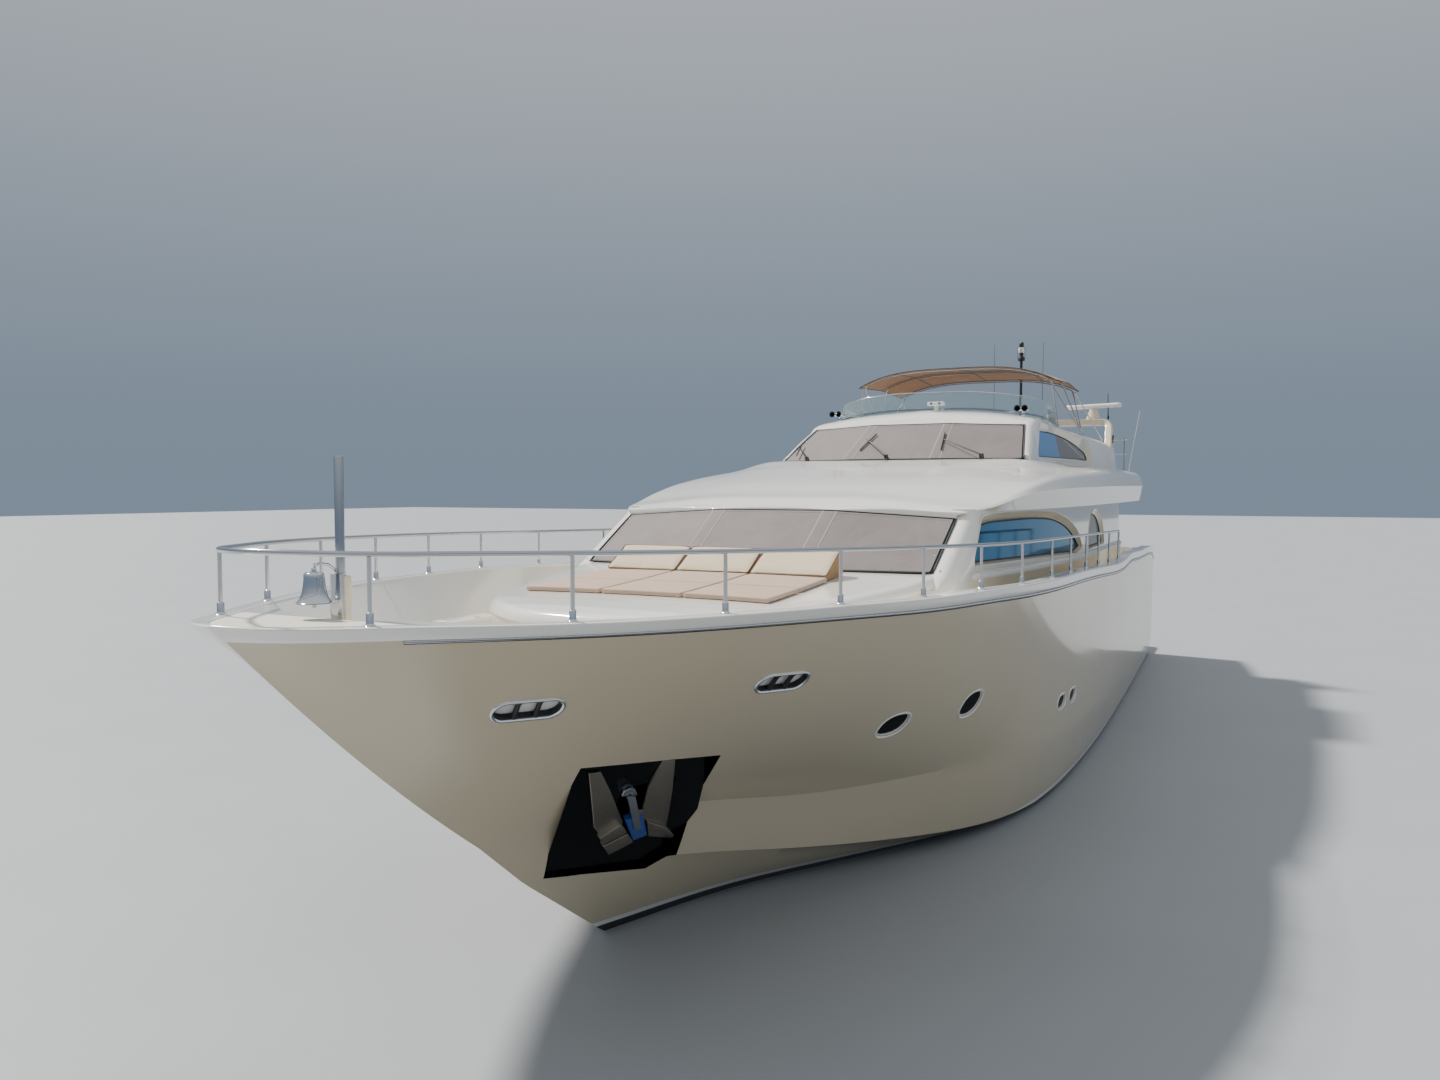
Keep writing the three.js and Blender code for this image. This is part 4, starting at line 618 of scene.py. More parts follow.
for number, ring in enumerate(tools):
    for hand in (1, -1):
        plug = shell(ring * (1, hand, 1), wrap=True, ends=True, slot=1)
        cutters.append(make(f"tool_{number}_{hand}", [plug], hull_gelcoat, white_gelcoat))
carve(hull, *cutters)
hull.data.set_sharp_from_angle(angle=math.radians(HULL_SHARP))
add("fairlead_bezels", both_sides(bezels), chrome, "steel", sharp=60)
add("fairlead_rollers", both_sides(sleeves), rubber, "black_plastic")
add("hull_port_rims", both_sides(rims), white_gelcoat, "white_gelcoat", sharp=40)
add("hull_port_panes", both_sides(panes), dark_glass, "glass", sharp=40)

# Anchors
# Each lies in a pocket in the bow on a plate of mirror-polished steel with a well behind it, both coloured near black
# as painted dark reflection and painted shade: two flat flukes, a cast crown of two lobes, a bright flat shank with a
# boss at its head, and a blue nylon block at its foot.
SHANK = [(-0.304, 0.281), (-0.226, 0.281), (-0.002, -0.149), (-0.064, -0.167)]
BOSS = [
    (-0.355, 0.290), (-0.352, 0.352), (-0.30, 0.378), (-0.245, 0.352), (-0.190, 0.270), (-0.235, 0.285), (-0.29, 0.312),
    (-0.325, 0.290)]
FLUKE_FORE = [(-0.752, 0.612), (-0.64, 0.602), (-0.454, 0.336), (-0.175, -0.095), (-0.38, -0.175), (-0.475, -0.06)]
FLUKE_AFT = [
    (-0.03, 0.588), (0.094, 0.560), (0.221, 0.175), (0.339, -0.290), (0.056, -0.127), (-0.035, 0.057), (-0.08, 0.30)]
LOBE_FORE = [
    [(-0.392, -0.185), (-0.212, -0.072), (-0.116, -0.192), (-0.325, -0.276)],
    [(-0.325, -0.292), (-0.109, -0.206), (-0.004, -0.335), (-0.222, -0.425)]]
LOBE_AFT = [(0.060, -0.120), (0.332, -0.268), (0.455, -0.400), (0.452, -0.432), (0.150, -0.322)]
BLOCK = [(-0.182, -0.043), (-0.014, -0.028), (0.142, -0.315), (0.005, -0.342)]


def outline_reach(outline, angles):
    """Where rays from the middle at these angles meet the outline: of the crossings with its edges, the one in
    front."""
    corners = np.asarray(outline, float)
    sides = np.roll(corners, -1, axis=0) - corners
    ways = np.stack([np.cos(angles), np.sin(angles)], -1)
    cross = lambda a, b: a[..., 0] * b[..., 1] - a[..., 1] * b[..., 0]
    bottom_line = cross(ways[:, None], sides[None])
    bottom_line = np.where(np.abs(bottom_line) < 1e-9, 1e-9, bottom_line)
    reach = cross(corners[None], sides[None]) / bottom_line
    share = cross(corners[None], ways[:, None]) / bottom_line
    return ways * np.where((reach > 0) & (share > -1e-6) & (share < 1 + 1e-6), reach, 9.0).min(1)[:, None]


def rounded(corners, radii, steps=6, closed=True):
    """An outline with its corners rounded: each corner becomes a parabola that starts and ends a radius from it."""
    corners = np.asarray(corners, float)
    radii = np.broadcast_to(radii, len(corners))
    before, after = np.roll(corners, 1, axis=0) - corners, np.roll(corners, -1, axis=0) - corners
    reach = [np.linalg.norm(way, axis=1) for way in (before, after)]
    cut_back = np.minimum(radii, np.minimum(reach[0], reach[1]) * 0.49)[:, None]
    start, end = corners + before / reach[0][:, None] * cut_back, corners + after / reach[1][:, None] * cut_back
    t = np.linspace(0, 1, steps)[None, :, None]
    curve = (1 - t) ** 2 * start[:, None] + 2 * t * (1 - t) * corners[:, None] + t ** 2 * end[:, None]
    return curve.reshape(-1, corners.shape[1])


def cast_plate(outline, low, high, radius=0.012, edge=0.008):
    """A plate of an outline on the pocket's plane from one depth to another, its front edges eased."""
    loop = rounded(outline, radius, 4)
    inner_loop = loop + (loop.mean(0) - loop) * edge / np.linalg.norm(loop.mean(0) - loop, axis=1, keepdims=True)
    rings = np.concatenate([
        on_pocket(loop, (low, high - edge)), on_pocket(loop + 0.3 * (inner_loop - loop), (high - 0.3 * edge,)),
        on_pocket(inner_loop, (high,))])
    return shell(rings, wrap=True, ends=True)


cast_steel, tree, shader = finish_of("brushed_anchor_steel", Metallic=1.0)
place = tree_coordinates(tree)
brushed = node(tree, "ShaderNodeTexNoise", {"Vector": place, "Scale": 3.0, "Detail": 6.0})
haze = node(tree, "ShaderNodeMapRange", {"Value": brushed.outputs["Fac"], "To Min": 0.22, "To Max": 0.38})
tree.links.new(blend(tree, brushed.outputs["Fac"], "#9a9184", "#b5aea4"), shader.inputs["Base Color"])
tree.links.new(haze.outputs["Result"], shader.inputs["Roughness"])
blue_nylon = speckled("blue_moulded_nylon", 25.0, 2.0, "#2c4f94", "#3862ab", Roughness=0.42, IOR=1.53)
corner_angles = [np.arctan2(v, u) for u, v in (np.array(POCKET_OUTLINE).T, np.array(RECESS).T)]
angles = np.unique(np.concatenate([np.linspace(-np.pi, np.pi, 97)[:-1]] + corner_angles))
pocket_edge, recess_edge = outline_reach(POCKET_OUTLINE, angles), outline_reach(RECESS, angles)
plate = np.concatenate([
    on_pocket(recess_edge * 0.985, (-RECESS_DEPTH + 0.004, -PLATE_DEPTH + 0.0005)),
    on_pocket(pocket_edge * 0.996, (-PLATE_DEPTH + 0.0005, -PLATE_DEPTH + 0.006)),
    on_pocket(recess_edge * 0.96, (-PLATE_DEPTH + 0.006, -RECESS_DEPTH + 0.014))])
anchor_parts = [
    cast_plate(FLUKE_FORE, -0.058, -0.036), cast_plate(FLUKE_AFT, -0.058, -0.036),
    cast_plate(LOBE_FORE[0], -0.20, -0.012), cast_plate(LOBE_FORE[1], -0.20, -0.004),
    cast_plate(LOBE_AFT, -0.20, -0.012)]
bright_parts = [cast_plate(SHANK, -0.05, 0.012, 0.006, 0.004), cast_plate(BOSS, -0.06, -0.002)]
stop = cast_plate(BLOCK, -0.08, -0.022)
seat = cast_plate([(-0.12, 0.02), (0.02, 0.02), (0.08, -0.20), (-0.06, -0.20)], -RECESS_DEPTH + 0.016, -0.04)
for label, hand in SIDES:
    here = lambda shells: [(points * (1, hand, 1), faces, slots) for points, faces, slots in shells]
    add(
        f"anchor_pocket_lining_{label}", here([shell(plate, wrap=True, ends=True)]), steel_painted_dark_for_shade, "steel",
        f"anchor_plate_{label}", sharp=30)
    add(f"anchor_casting_{label}", here(anchor_parts + [seat]), cast_steel, "steel", f"anchor_{label}", sharp=35)
    add(f"anchor_shank_{label}", here(bright_parts), steel, "steel", sharp=35)
    add(f"anchor_stop_block_{label}", here([stop]), blue_nylon, "black_plastic", sharp=35)


# Foredeck trunk
# The low cabin top ahead of the windshield, moulded in glass fibre with the deck: a white top rolled over into an
# ivory side, bonded and glassed to the deck.
TRUNK = [  # from the nose aft: x, half width, height at the edge, height along the middle
    (8.76, 0.0, 2.84, 2.85), (8.725, 0.40, 2.85, 2.865), (8.65, 0.72, 2.875, 2.895), (8.45, 1.08, 2.905, 2.925),
    (8.1, 1.42, 2.925, 2.945), (7.5, 1.69, 2.94, 2.96), (6.8, 1.90, 2.965, 2.995), (6.0, 2.09, 3.005, 3.045),
    (5.56, 2.18, 3.04, 3.07), (5.3, 2.225, 3.06, 3.075), (5.04, 2.25, 3.065, 3.08),
]
TRUNK_ROUND = 0.11
trunk_rows = np.array(TRUNK)[::-1]
trunk_x, trunk_half, trunk_edge, trunk_crown = trunk_rows.T


def trunk_top(x, y):
    """Height of the trunk: its middle height less the fall to the edge, which grows as the 2.4 power across it."""
    half = np.maximum(np.interp(x, trunk_x, trunk_half), 0.05)
    crown, rim_z = np.interp(x, trunk_x, trunk_crown), np.interp(x, trunk_x, trunk_edge)
    return crown - (crown - rim_z) * np.clip(np.abs(y) / half, 0, 1) ** 2.4


plan = along([(x, w, 0) for x, w, *_ in TRUNK], np.linspace(0, 1, 120) ** 0.9)
slope = np.gradient(plan, axis=0)
inward = np.stack([-slope[:, 1], slope[:, 0], 0 * slope[:, 0]], -1)
inward /= np.linalg.norm(inward, axis=1, keepdims=True)
inward[0] = (-1, 0, 0)
turn = np.linspace(0, np.pi / 2, 9)[:, None]
roll_in, roll_down = TRUNK_ROUND * (1 - np.cos(turn)), TRUNK_ROUND * (1 - np.sin(turn))
ridge = plan[None] + inward[None] * roll_in[:, :, None]
ridge[:, :, 1] = np.maximum(ridge[:, :, 1], 0)
top_z = trunk_top(ridge[-1, :, 0], plan[:, 1])
ridge[:, :, 2] = top_z[None] - roll_down
foot_row = plan + inward * 0.03
foot_row[:, 2] = deck_at(foot_row[:, 0]) - 0.02
foot_row[:, 1] = np.maximum(foot_row[:, 1], 0)
flank = between(foot_row, ridge[0] + inward * 0.012, 6)
flank[-1, :, 1] = np.maximum(flank[-1, :, 1], 0)
share = np.linspace(1, 0, 24)[:, None]
table = np.stack(np.broadcast_arrays(ridge[-1, :, 0][None], ridge[-1, :, 1][None] * share, 0 * share), -1).copy()
table[:, :, 2] = trunk_top(table[:, :, 0], table[:, :, 1])
table[:, :, 2] += (top_z - table[0, :, 2])[None] * share
base = foot_row * (1, 0, 1)
trunk_shells = []
for grid, slot in [(between(base, foot_row, 2), 1), (flank, 1), (np.concatenate([flank[-1:], ridge]), 0), (table, 0)]:
    grid = grid.transpose(1, 0, 2)
    trunk_shells += [shell(grid, slot=slot), shell(mirrored(grid), slot=slot)]
half = np.concatenate([foot_row[None, -1], flank[1:, -1], ridge[:, -1], table[1:, -1]])
back = np.concatenate([half, (half * (1, -1, 1))[::-1][1:], base[-1:]])
trunk_shells.append((back, [list(range(len(back)))], [0]))
trunk = make("foredeck_cabin_top", trunk_shells, white_gelcoat, cream_gelcoat, sharp=50)
fit(trunk, "white_gelcoat", "foredeck_trunk")


# Sunpad and backrests
# Six foam pads sewn into tan canvas and three beige wedges laid on the trunk, each wedge edged with brown piping.
PAD_FRONT, PAD_BACK, PAD_HALF, PAD_THICK, PAD_SEAM, PAD_CROWN = 7.69, 6.24, 1.33, 0.045, 0.007, 0.007
REST_FRONT, REST_LIFT, REST_BACK, REST_WIDTH, REST_GAP, REST_TOP = 6.222, 5.85, 5.735, 0.855, 0.019, 3.305
REST_PLACES = (("port", 1), ("centre", 0), ("starboard", -1))  # widths from the centreline
FILL_FRAMES, PAD_SWELL, REST_SWELL, CUSHION_SWELL = 20, 0.008, 0.012, 0.006  # the swells are how far cloth may travel


def soft_box(half_sizes, radius, step=0.02, slot=0):
    """A box with rounded edges: each point p of a gridded box is drawn to q, the nearest point of the box less the
    radius all round, and set a radius from it towards p."""
    half_sizes = np.asarray(half_sizes, float)
    lines = []
    for h in half_sizes:
        inner = np.linspace(radius - h, h - radius, max(int(2 * (h - radius) / step), 1) + 1)
        corner = radius * np.array([1, 0.8, 0.5])
        lines.append(np.concatenate([-(h - radius) - corner, inner, h - radius + corner[::-1]]))
    shells = []
    for axis in range(3):
        a, b = (axis + 1) % 3, (axis + 2) % 3
        u, v = np.meshgrid(lines[a], lines[b], indexing="ij")
        for end in (-1, 1):
            p = np.zeros(u.shape + (3,))
            p[..., a], p[..., b], p[..., axis] = u, v, end * half_sizes[axis]
            q = np.clip(p, radius - half_sizes, half_sizes - radius)
            away = p - q
            away /= np.maximum(np.linalg.norm(away, axis=-1, keepdims=True), 1e-9)
            shells.append(shell(q + radius * away, slot=slot))
    return shells


def moved(shells, change):
    """The same shells with their points changed by a function of all of them at once."""
    return [(change(points), faces, slots) for points, faces, slots in shells]


def block(half_sizes, radius, step, place):
    """A rounded box, from soft_box, with its middle at a place."""
    return moved(soft_box(half_sizes, radius, step), lambda points: points + place)


def canvas_cloth(name, pale, deep, thread, roughness=0.9):
    """Woven acrylic canvas: dull, with a plain weave of two crossed waves; the thread is its real spacing in metres,
    drawn coarser than it is where it would not show."""
    material, tree, shader = finish_of(name, Roughness=roughness, IOR=1.45, Sheen_Weight=0.25, Sheen_Roughness=0.6)
    place = tree_coordinates(tree)
    waves = [node(tree, "ShaderNodeTexWave", {"Vector": place, "Scale": 0.5 / thread / 3.1416, "Distortion": 0.6},
                  bands_direction=way) for way in ("X", "Y")]
    weave = node(tree, "ShaderNodeMath", {0: waves[0].outputs["Fac"], 1: waves[1].outputs["Fac"]}, operation="MULTIPLY")
    cloud = node(tree, "ShaderNodeTexNoise", {"Vector": place, "Scale": 2.6, "Detail": 6.0, "Roughness": 0.6})
    worn = blend(tree, cloud.outputs["Fac"], pale, deep)
    shade = node(tree, "ShaderNodeMapRange", {"Value": weave.outputs["Value"], "To Min": 0.86, "To Max": 1.0})
    tint = node(tree, "ShaderNodeVectorMath", {0: worn, 3: shade.outputs["Result"]}, operation="SCALE")
    rumple = node(tree, "ShaderNodeTexNoise", {"Vector": place, "Scale": 7.0, "Detail": 3.0})
    soft = node(tree, "ShaderNodeBump", {"Height": rumple.outputs["Fac"], "Strength": 0.35, "Distance": 0.012})
    bump = node(tree, "ShaderNodeBump", {
        "Height": weave.outputs["Value"], "Strength": 0.4, "Distance": thread / 3, "Normal": soft.outputs["Normal"]})
    tree.links.new(tint.outputs["Vector"], shader.inputs["Base Color"])
    tree.links.new(bump.outputs["Normal"], shader.inputs["Normal"])
    return material


tan_canvas = canvas_cloth("woven_tan_canvas", "#cbb09a", "#bfa38c", 0.004)
beige_canvas = canvas_cloth("woven_beige_canvas", "#e6d6b8", "#dac7a4", 0.004)
beige_canvas_painted_warm_shading = canvas_cloth("woven_beige_canvas_painted_warm_shading", "#b58c52", "#a67d45", 0.004)
piping_cloth = canvas_cloth("brown_piping_cord_cloth", "#7d5f3c", "#6b4f30", 0.003)


def inflate(pieces, cap, pressure=4.0):
    """Fills sewn cushions: cloth under pressure for 20 frames, then every point's travel is limited to the cap."""
    starts = {}
    for piece in pieces:
        points = np.empty(len(piece.data.vertices) * 3)
        piece.data.vertices.foreach_get("co", points)
        starts[piece.name] = points.reshape(-1, 3)
        cloth = piece.modifiers.new("cloth", "CLOTH")
        cloth.settings.use_pressure, cloth.settings.uniform_pressure_force = True, pressure
        cloth.settings.effector_weights.gravity = 0
        cloth.settings.quality = 5
        cloth.point_cache.frame_start, cloth.point_cache.frame_end = 1, FILL_FRAMES
    for frame_number in range(1, FILL_FRAMES + 1):
        bpy.context.scene.frame_set(frame_number)
    graph = bpy.context.evaluated_depsgraph_get()
    for piece in pieces:
        points = np.empty(len(piece.data.vertices) * 3)
        piece.evaluated_get(graph).data.vertices.foreach_get("co", points)
        travel = points.reshape(-1, 3) - starts[piece.name]
        far = np.linalg.norm(travel, axis=1, keepdims=True)
        travel *= np.minimum(cap / np.maximum(far, 1e-9), 1)
        piece.modifiers.clear()
        piece.data.vertices.foreach_set("co", (starts[piece.name] + travel).ravel())
        piece.data.update()
    bpy.context.scene.frame_set(1)


def sweep(path, profile, ref=(0, 0, 1), closed=False, ends=True, slot=0, scale=None):
    """A profile carried along a path: at each point its first number goes along ref x tangent, its second along
    tangent x (ref x tangent). scale, one number a point, swells or thins it."""
    path, profile = np.asarray(path, float), np.asarray(profile, float)
    if closed:
        ahead = np.roll(path, -1, axis=0) - np.roll(path, 1, axis=0)
    else:
        ahead = np.gradient(path, axis=0)
    ahead /= np.linalg.norm(ahead, axis=1, keepdims=True)
    across = np.cross(np.broadcast_to(np.asarray(ref, float), ahead.shape), ahead)
    across /= np.linalg.norm(across, axis=1, keepdims=True)
    up = np.cross(ahead, across)
    size = np.ones(len(path)) if scale is None else np.asarray(scale, float)
    rings = path[:, None] + size[:, None, None] * (
        across[:, None] * profile[None, :, :1] + up[:, None] * profile[None, :, 1:])
    if closed:
        rings = np.concatenate([rings, rings[:1]])
    return shell(rings, wrap=True, ends=ends and not closed, slot=slot)


pads = []
pad_length, pad_width = (PAD_FRONT - PAD_BACK) / 2, 2 * PAD_HALF / 3
for row in (0, 1):
    for column in (-1, 0, 1):
        middle = np.array([PAD_BACK + (row + 0.5) * pad_length, column * pad_width, 0])
        shells = soft_box((pad_length / 2 - PAD_SEAM, pad_width / 2 - PAD_SEAM, PAD_THICK / 2), 0.016, 0.03)

        def laid(points):
            """Crowned a little, and laid along the trunk's top."""
            u, v = points[:, 0] / (pad_length / 2), points[:, 1] / (pad_width / 2)
            crown = PAD_CROWN * (points[:, 2] > 0) * (1 - u ** 2) * (1 - v ** 2)
            out = points + middle
            out[:, 2] = trunk_top(out[:, 0], out[:, 1]) + 0.002 + PAD_THICK / 2 + points[:, 2] + crown
            return out
        pad = make(f"sunpad_{'back' if row == 0 else 'front'}_{column + 2}", moved(shells, laid), tan_canvas, sharp=70)
        pads.append(pad)
rests = []
for label, place in REST_PLACES:
    middle = place * (REST_WIDTH + REST_GAP)
    shells = soft_box(((REST_FRONT - REST_BACK) / 2, REST_WIDTH / 2, 0.5), 0.02, 0.03)

    def wedge(points):
        """A box leant into a wedge: low at its front edge, highest at the lift, its back upright."""
        x = points[:, 0] + (REST_FRONT + REST_BACK) / 2
        y = points[:, 1] + middle
        low_z = trunk_top(x, y) + 0.003
        high_z = np.interp(
            x, [REST_BACK, REST_LIFT, REST_FRONT], [REST_TOP - 0.03, REST_TOP, trunk_top(REST_FRONT, 0) + 0.055])
        return np.stack([x, y, low_z + (points[:, 2] + 0.5) * (high_z - low_z)], -1)
    rest = make(f"backrest_cushion_{label}", moved(shells, wedge), beige_canvas, beige_canvas_painted_warm_shading, sharp=70)
    # The sides and back take a darker golden copy of the beige canvas: painted warm shading on the upright faces
    sides = np.array([abs(face.normal.y) > 0.7 or face.normal.x < -0.6 for face in rest.data.polygons])
    rest.data.polygons.foreach_set("material_index", sides.astype(int))
    rests.append(rest)
inflate(pads, PAD_SWELL)
inflate(rests, REST_SWELL)
for pad in pads:
    fit(pad, "tan_cloth", "sunpad")
for rest in rests:
    fit(rest, "beige_cloth", rest.name.replace("_cushion", ""))
for label, place in REST_PLACES:
    middle = place * (REST_WIDTH + REST_GAP)
    half_width = REST_WIDTH / 2 - 0.004
    front_z, lift_z = trunk_top(REST_FRONT, middle) + 0.05, REST_TOP + 0.006
    loop = rounded([
        (REST_FRONT + 0.004, middle - half_width, front_z), (REST_FRONT + 0.004, middle + half_width, front_z),
        (REST_LIFT, middle + half_width, lift_z), (REST_LIFT, middle - half_width, lift_z)], 0.03)
    piping = sweep(loop, circle(0.0065, 8), ref=(0.5, 0, 0.87), closed=True)
    add(f"backrest_piping_{label}", [piping], piping_cloth, "beige_cloth", sharp=80)

# Guard rail
# Bent tube of polished stainless steel round the bow on straight stanchions, each welded to the rail above and held by
# a socket screwed down on the capping.
STANCHIONS = [11.67, 10.71, 9.70, 8.64, 7.56, 6.45, 5.18, 3.64, 2.2, 0.8, -0.45, -1.7, -3.02]
RAIL_TOP = [(12.25, 3.60), (11.64, 3.58), (5.35, 3.41), (-3.05, 3.23)]
RAIL_IN, RAIL_RADIUS, POST_RADIUS, RAIL_END = 0.095, 0.018, 0.014, -3.05
SOCKET = [(0, -0.004), (0.036, -0.004), (0.036, 0.004), (0.026, 0.010), (0.023, 0.018), (0.0225, 0.072),
          (0.019, 0.078), (0.014, 0.079), (0, 0.079)]
SCREW_HEAD = [(0, 0.004), (0.004, 0.004), (0.003, 0.007), (0, 0.0075)]
bow_y = lambda x: np.interp(-np.asarray(x), -fine["gunwale"][:, 0], fine["gunwale"][:, 1]) - RAIL_IN
bow_z = lambda x: np.interp(-np.asarray(x), -fine["gunwale"][:, 0], fine["gunwale"][:, 2])
rail_z = lambda x: np.interp(x, [row[0] for row in RAIL_TOP[::-1]], [row[1] for row in RAIL_TOP[::-1]])
rail_x = np.linspace(11.64, RAIL_END + 0.1, 40)
rail_side = np.stack([rail_x, bow_y(rail_x), rail_z(rail_x)], -1)
end_y = bow_y(RAIL_END)
tail = np.array([(RAIL_END - 0.01, end_y, 3.215), (RAIL_END - 0.03, end_y, 3.16), (RAIL_END - 0.03, end_y, 2.99)])
nose = np.array([(11.93, 0.25, 3.595), (12.01, 0, 3.60), (11.93, -0.25, 3.595)])
side_run = np.concatenate([rail_side, tail])
knots = np.concatenate([side_run[::-1], nose, side_run * (1, -1, 1)])
places = way_along(knots)
rail_path = spline(places, knots, np.linspace(0, places[-1], 420))


def bar(a, b, profile, ref=(0, 0, 1), slot=0):
    """A straight bar of a profile between two points."""
    return sweep(np.linspace(a, b, 2), profile, ref, slot=slot)


shells = [sweep(rail_path, circle(RAIL_RADIUS, 14), ref=(0.02, 0.01, 1))]
sockets = []
for x in STANCHIONS:
    y, low_z, high_z = float(bow_y(x)), float(bow_z(x)) + CAP_ROUND[-1][1], float(rail_z(x))
    post = [(0, 0), (POST_RADIUS, 0), (POST_RADIUS, high_z - low_z - 0.012), (0, high_z - low_z - 0.012)]
    for hand in (1, -1):
        shells.append(turned(post, (x, hand * y, low_z), sides=12))
        sockets.append(turned(SOCKET, (x, hand * y, low_z), sides=18))
        for turn in (0.8, 2.4, 3.9, 5.5):
            screw_place = (x + 0.03 * math.cos(turn), hand * y + 0.03 * math.sin(turn), low_z)
            sockets.append(turned(SCREW_HEAD, screw_place, sides=6))
add("guard_rail", shells, steel, "steel", "bow_rail")
add("stanchion_sockets", sockets, chrome, "steel")

# Jack staff
# An ivory glass-fibre post bonded to the bow platform, faced with a half-round steel channel, carries a thick pole of
# stainless tube and the bell's bracket.
STAFF_X, POST_TOP, POLE_TOP, POLE_RADIUS = 11.29, 3.41, 4.16, 0.030
post_foot = float(deck_at(STAFF_X)) + 0.001
post_high = (POST_TOP - post_foot) / 2
shells = block((0.031, 0.066, post_high), 0.010, 0.05, (STAFF_X - 0.002, 0, post_foot + post_high))
add("jack_staff_post", shells, cream_gelcoat, "cream_gelcoat", "jack_staff")


def slab(front, back, slot=0):
    """A closed plate between two like grids: both faces and a strip round the four edges."""
    strips = [(front[0], back[0]), (front[-1], back[-1]), (front[:, 0], back[:, 0]), (front[:, -1], back[:, -1])]
    return [shell(front, slot=slot), shell(back, slot=slot)] + [shell(np.stack(pair), slot=slot) for pair in strips]


turn = np.linspace(-np.pi / 2, np.pi / 2, 15)
z = np.linspace(post_foot + 0.06, POST_TOP + 0.012, 24)
spread = np.interp(z, [post_foot + 0.06, post_foot + 0.12, post_foot + 0.24, POST_TOP], [0.012, 0.036, 0.052, 0.056])
front_face = np.stack(np.broadcast_arrays(
    STAFF_X + 0.0305 + 0.45 * spread[:, None] * np.cos(turn), spread[:, None] * np.sin(turn), z[:, None]), -1)
channel = slab(front_face, front_face - (0.004, 0, 0))
high = POLE_TOP - POST_TOP
pole_profile = [
    (0, 0), (POLE_RADIUS + 0.004, 0), (POLE_RADIUS + 0.004, 0.02), (POLE_RADIUS, 0.022), (POLE_RADIUS, high - 0.008),
    (POLE_RADIUS - 0.004, high), (POLE_RADIUS - 0.008, high), (POLE_RADIUS - 0.010, high - 0.02), (0, high - 0.02)]
pole = [turned(pole_profile, (STAFF_X, 0, POST_TOP), sides=28)]
arm = np.array([(STAFF_X + 0.03, 0, 3.44), (STAFF_X + 0.10, 0, 3.487), (11.46, 0, 3.496), (11.492, 0, 3.482)])
arm_path = at_places(np.linspace(0, 1, 16), np.linspace(0, 1, 4), arm)
knob = [(0, -0.05), (0.008, -0.05), (0.008, 0.0), (0.012, 0.004), (0.012, 0.012), (0, 0.016)]
pole += [sweep(arm_path, circle(0.009, 10), ref=(0, 1, 0)), turned(knob, (11.492, 0, 3.485), sides=12)]
add("jack_staff_pole", pole + channel, steel, "steel")

# Bell
# Cast and chromed, with a wide shoulder and a flared mouth, hung from a knob, with a pale clapper inside.
BELL = [
    (0, 0.212), (0.012, 0.212), (0.018, 0.202), (0.014, 0.190), (0.030, 0.187), (0.050, 0.184), (0.058, 0.178),
    (0.061, 0.168), (0.063, 0.150), (0.067, 0.105), (0.074, 0.060), (0.085, 0.028), (0.100, 0.008), (0.111, 0.001),
    (0.1115, -0.004), (0.107, -0.004), (0.095, 0.004), (0.080, 0.024), (0.068, 0.058), (0.060, 0.105), (0.055, 0.150),
    (0.040, 0.176), (0, 0.178)]
CLAPPER = [(0, 0.0), (0.012, 0.0), (0.014, 0.012), (0.008, 0.022), (0.014, 0.03), (0.016, 0.042), (0.008, 0.052),
           (0.004, 0.056), (0.004, 0.20), (0, 0.20)]
BELL_X, BELL_Z, CLAPPER_Z = 11.5, 3.26, 3.225
add("bow_bell_casting", [turned(BELL, (BELL_X, 0, BELL_Z), sides=40)], chrome, "steel", "bow_bell", sharp=40)
clapper = turned(CLAPPER, (BELL_X, 0, CLAPPER_Z), sides=14)
add("bell_clapper", [clapper], white_gelcoat, "white_gelcoat", sharp=40)

# Foredeck fittings
# Two lids over lockers in the deck with flush hinges, a windlass with its chain stopper, and mooring cleats, all
# bolted through the moulding.
LID_X, LID_Y, LID_Z = (7.492, 8.258), (1.732, 1.998), (2.6403, 2.6703)
for label, hand in SIDES:
    middle = np.array([np.mean(LID_X), hand * np.mean(LID_Y), np.mean(LID_Z)])
    half_sizes = (np.ptp(LID_X) / 2, np.ptp(LID_Y) / 2, np.ptp(LID_Z) / 2)
    lid, body = block(half_sizes, 0.008, 0.06, middle), f"locker_lid_{label}"
    add(f"locker_lid_moulding_{label}", lid, white_gelcoat, "white_gelcoat", body, body=body)
    ring = block((0.03, 0.018, 0.0035), 0.003, 0.02, middle + (0, -hand * 0.09, 0.0165))
    add(f"locker_lid_latch_{label}", ring, steel, "steel", body=body)


def cleat(place, turn):
    """A horned cleat: a swept bar on a spline, thick in its middle and thin at its tips, on two feet."""
    way = np.array([math.cos(turn), math.sin(turn), 0])
    s = np.linspace(-1, 1, 21)
    run = np.asarray(place) + way * s[:, None] * 0.14 + np.array([0, 0, 1.0]) * (0.055 + 0.012 * s[:, None] ** 2)
    pillar = [(0, 0), (0.024, 0), (0.022, 0.006), (0.012, 0.012), (0.011, 0.056), (0, 0.058)]
    feet = [turned(pillar, np.asarray(place) + way * shift, sides=12) for shift in (-0.045, 0.045)]
    return [sweep(run, circle(0.014, 10), scale=1 - 0.55 * np.abs(s) ** 3)] + feet


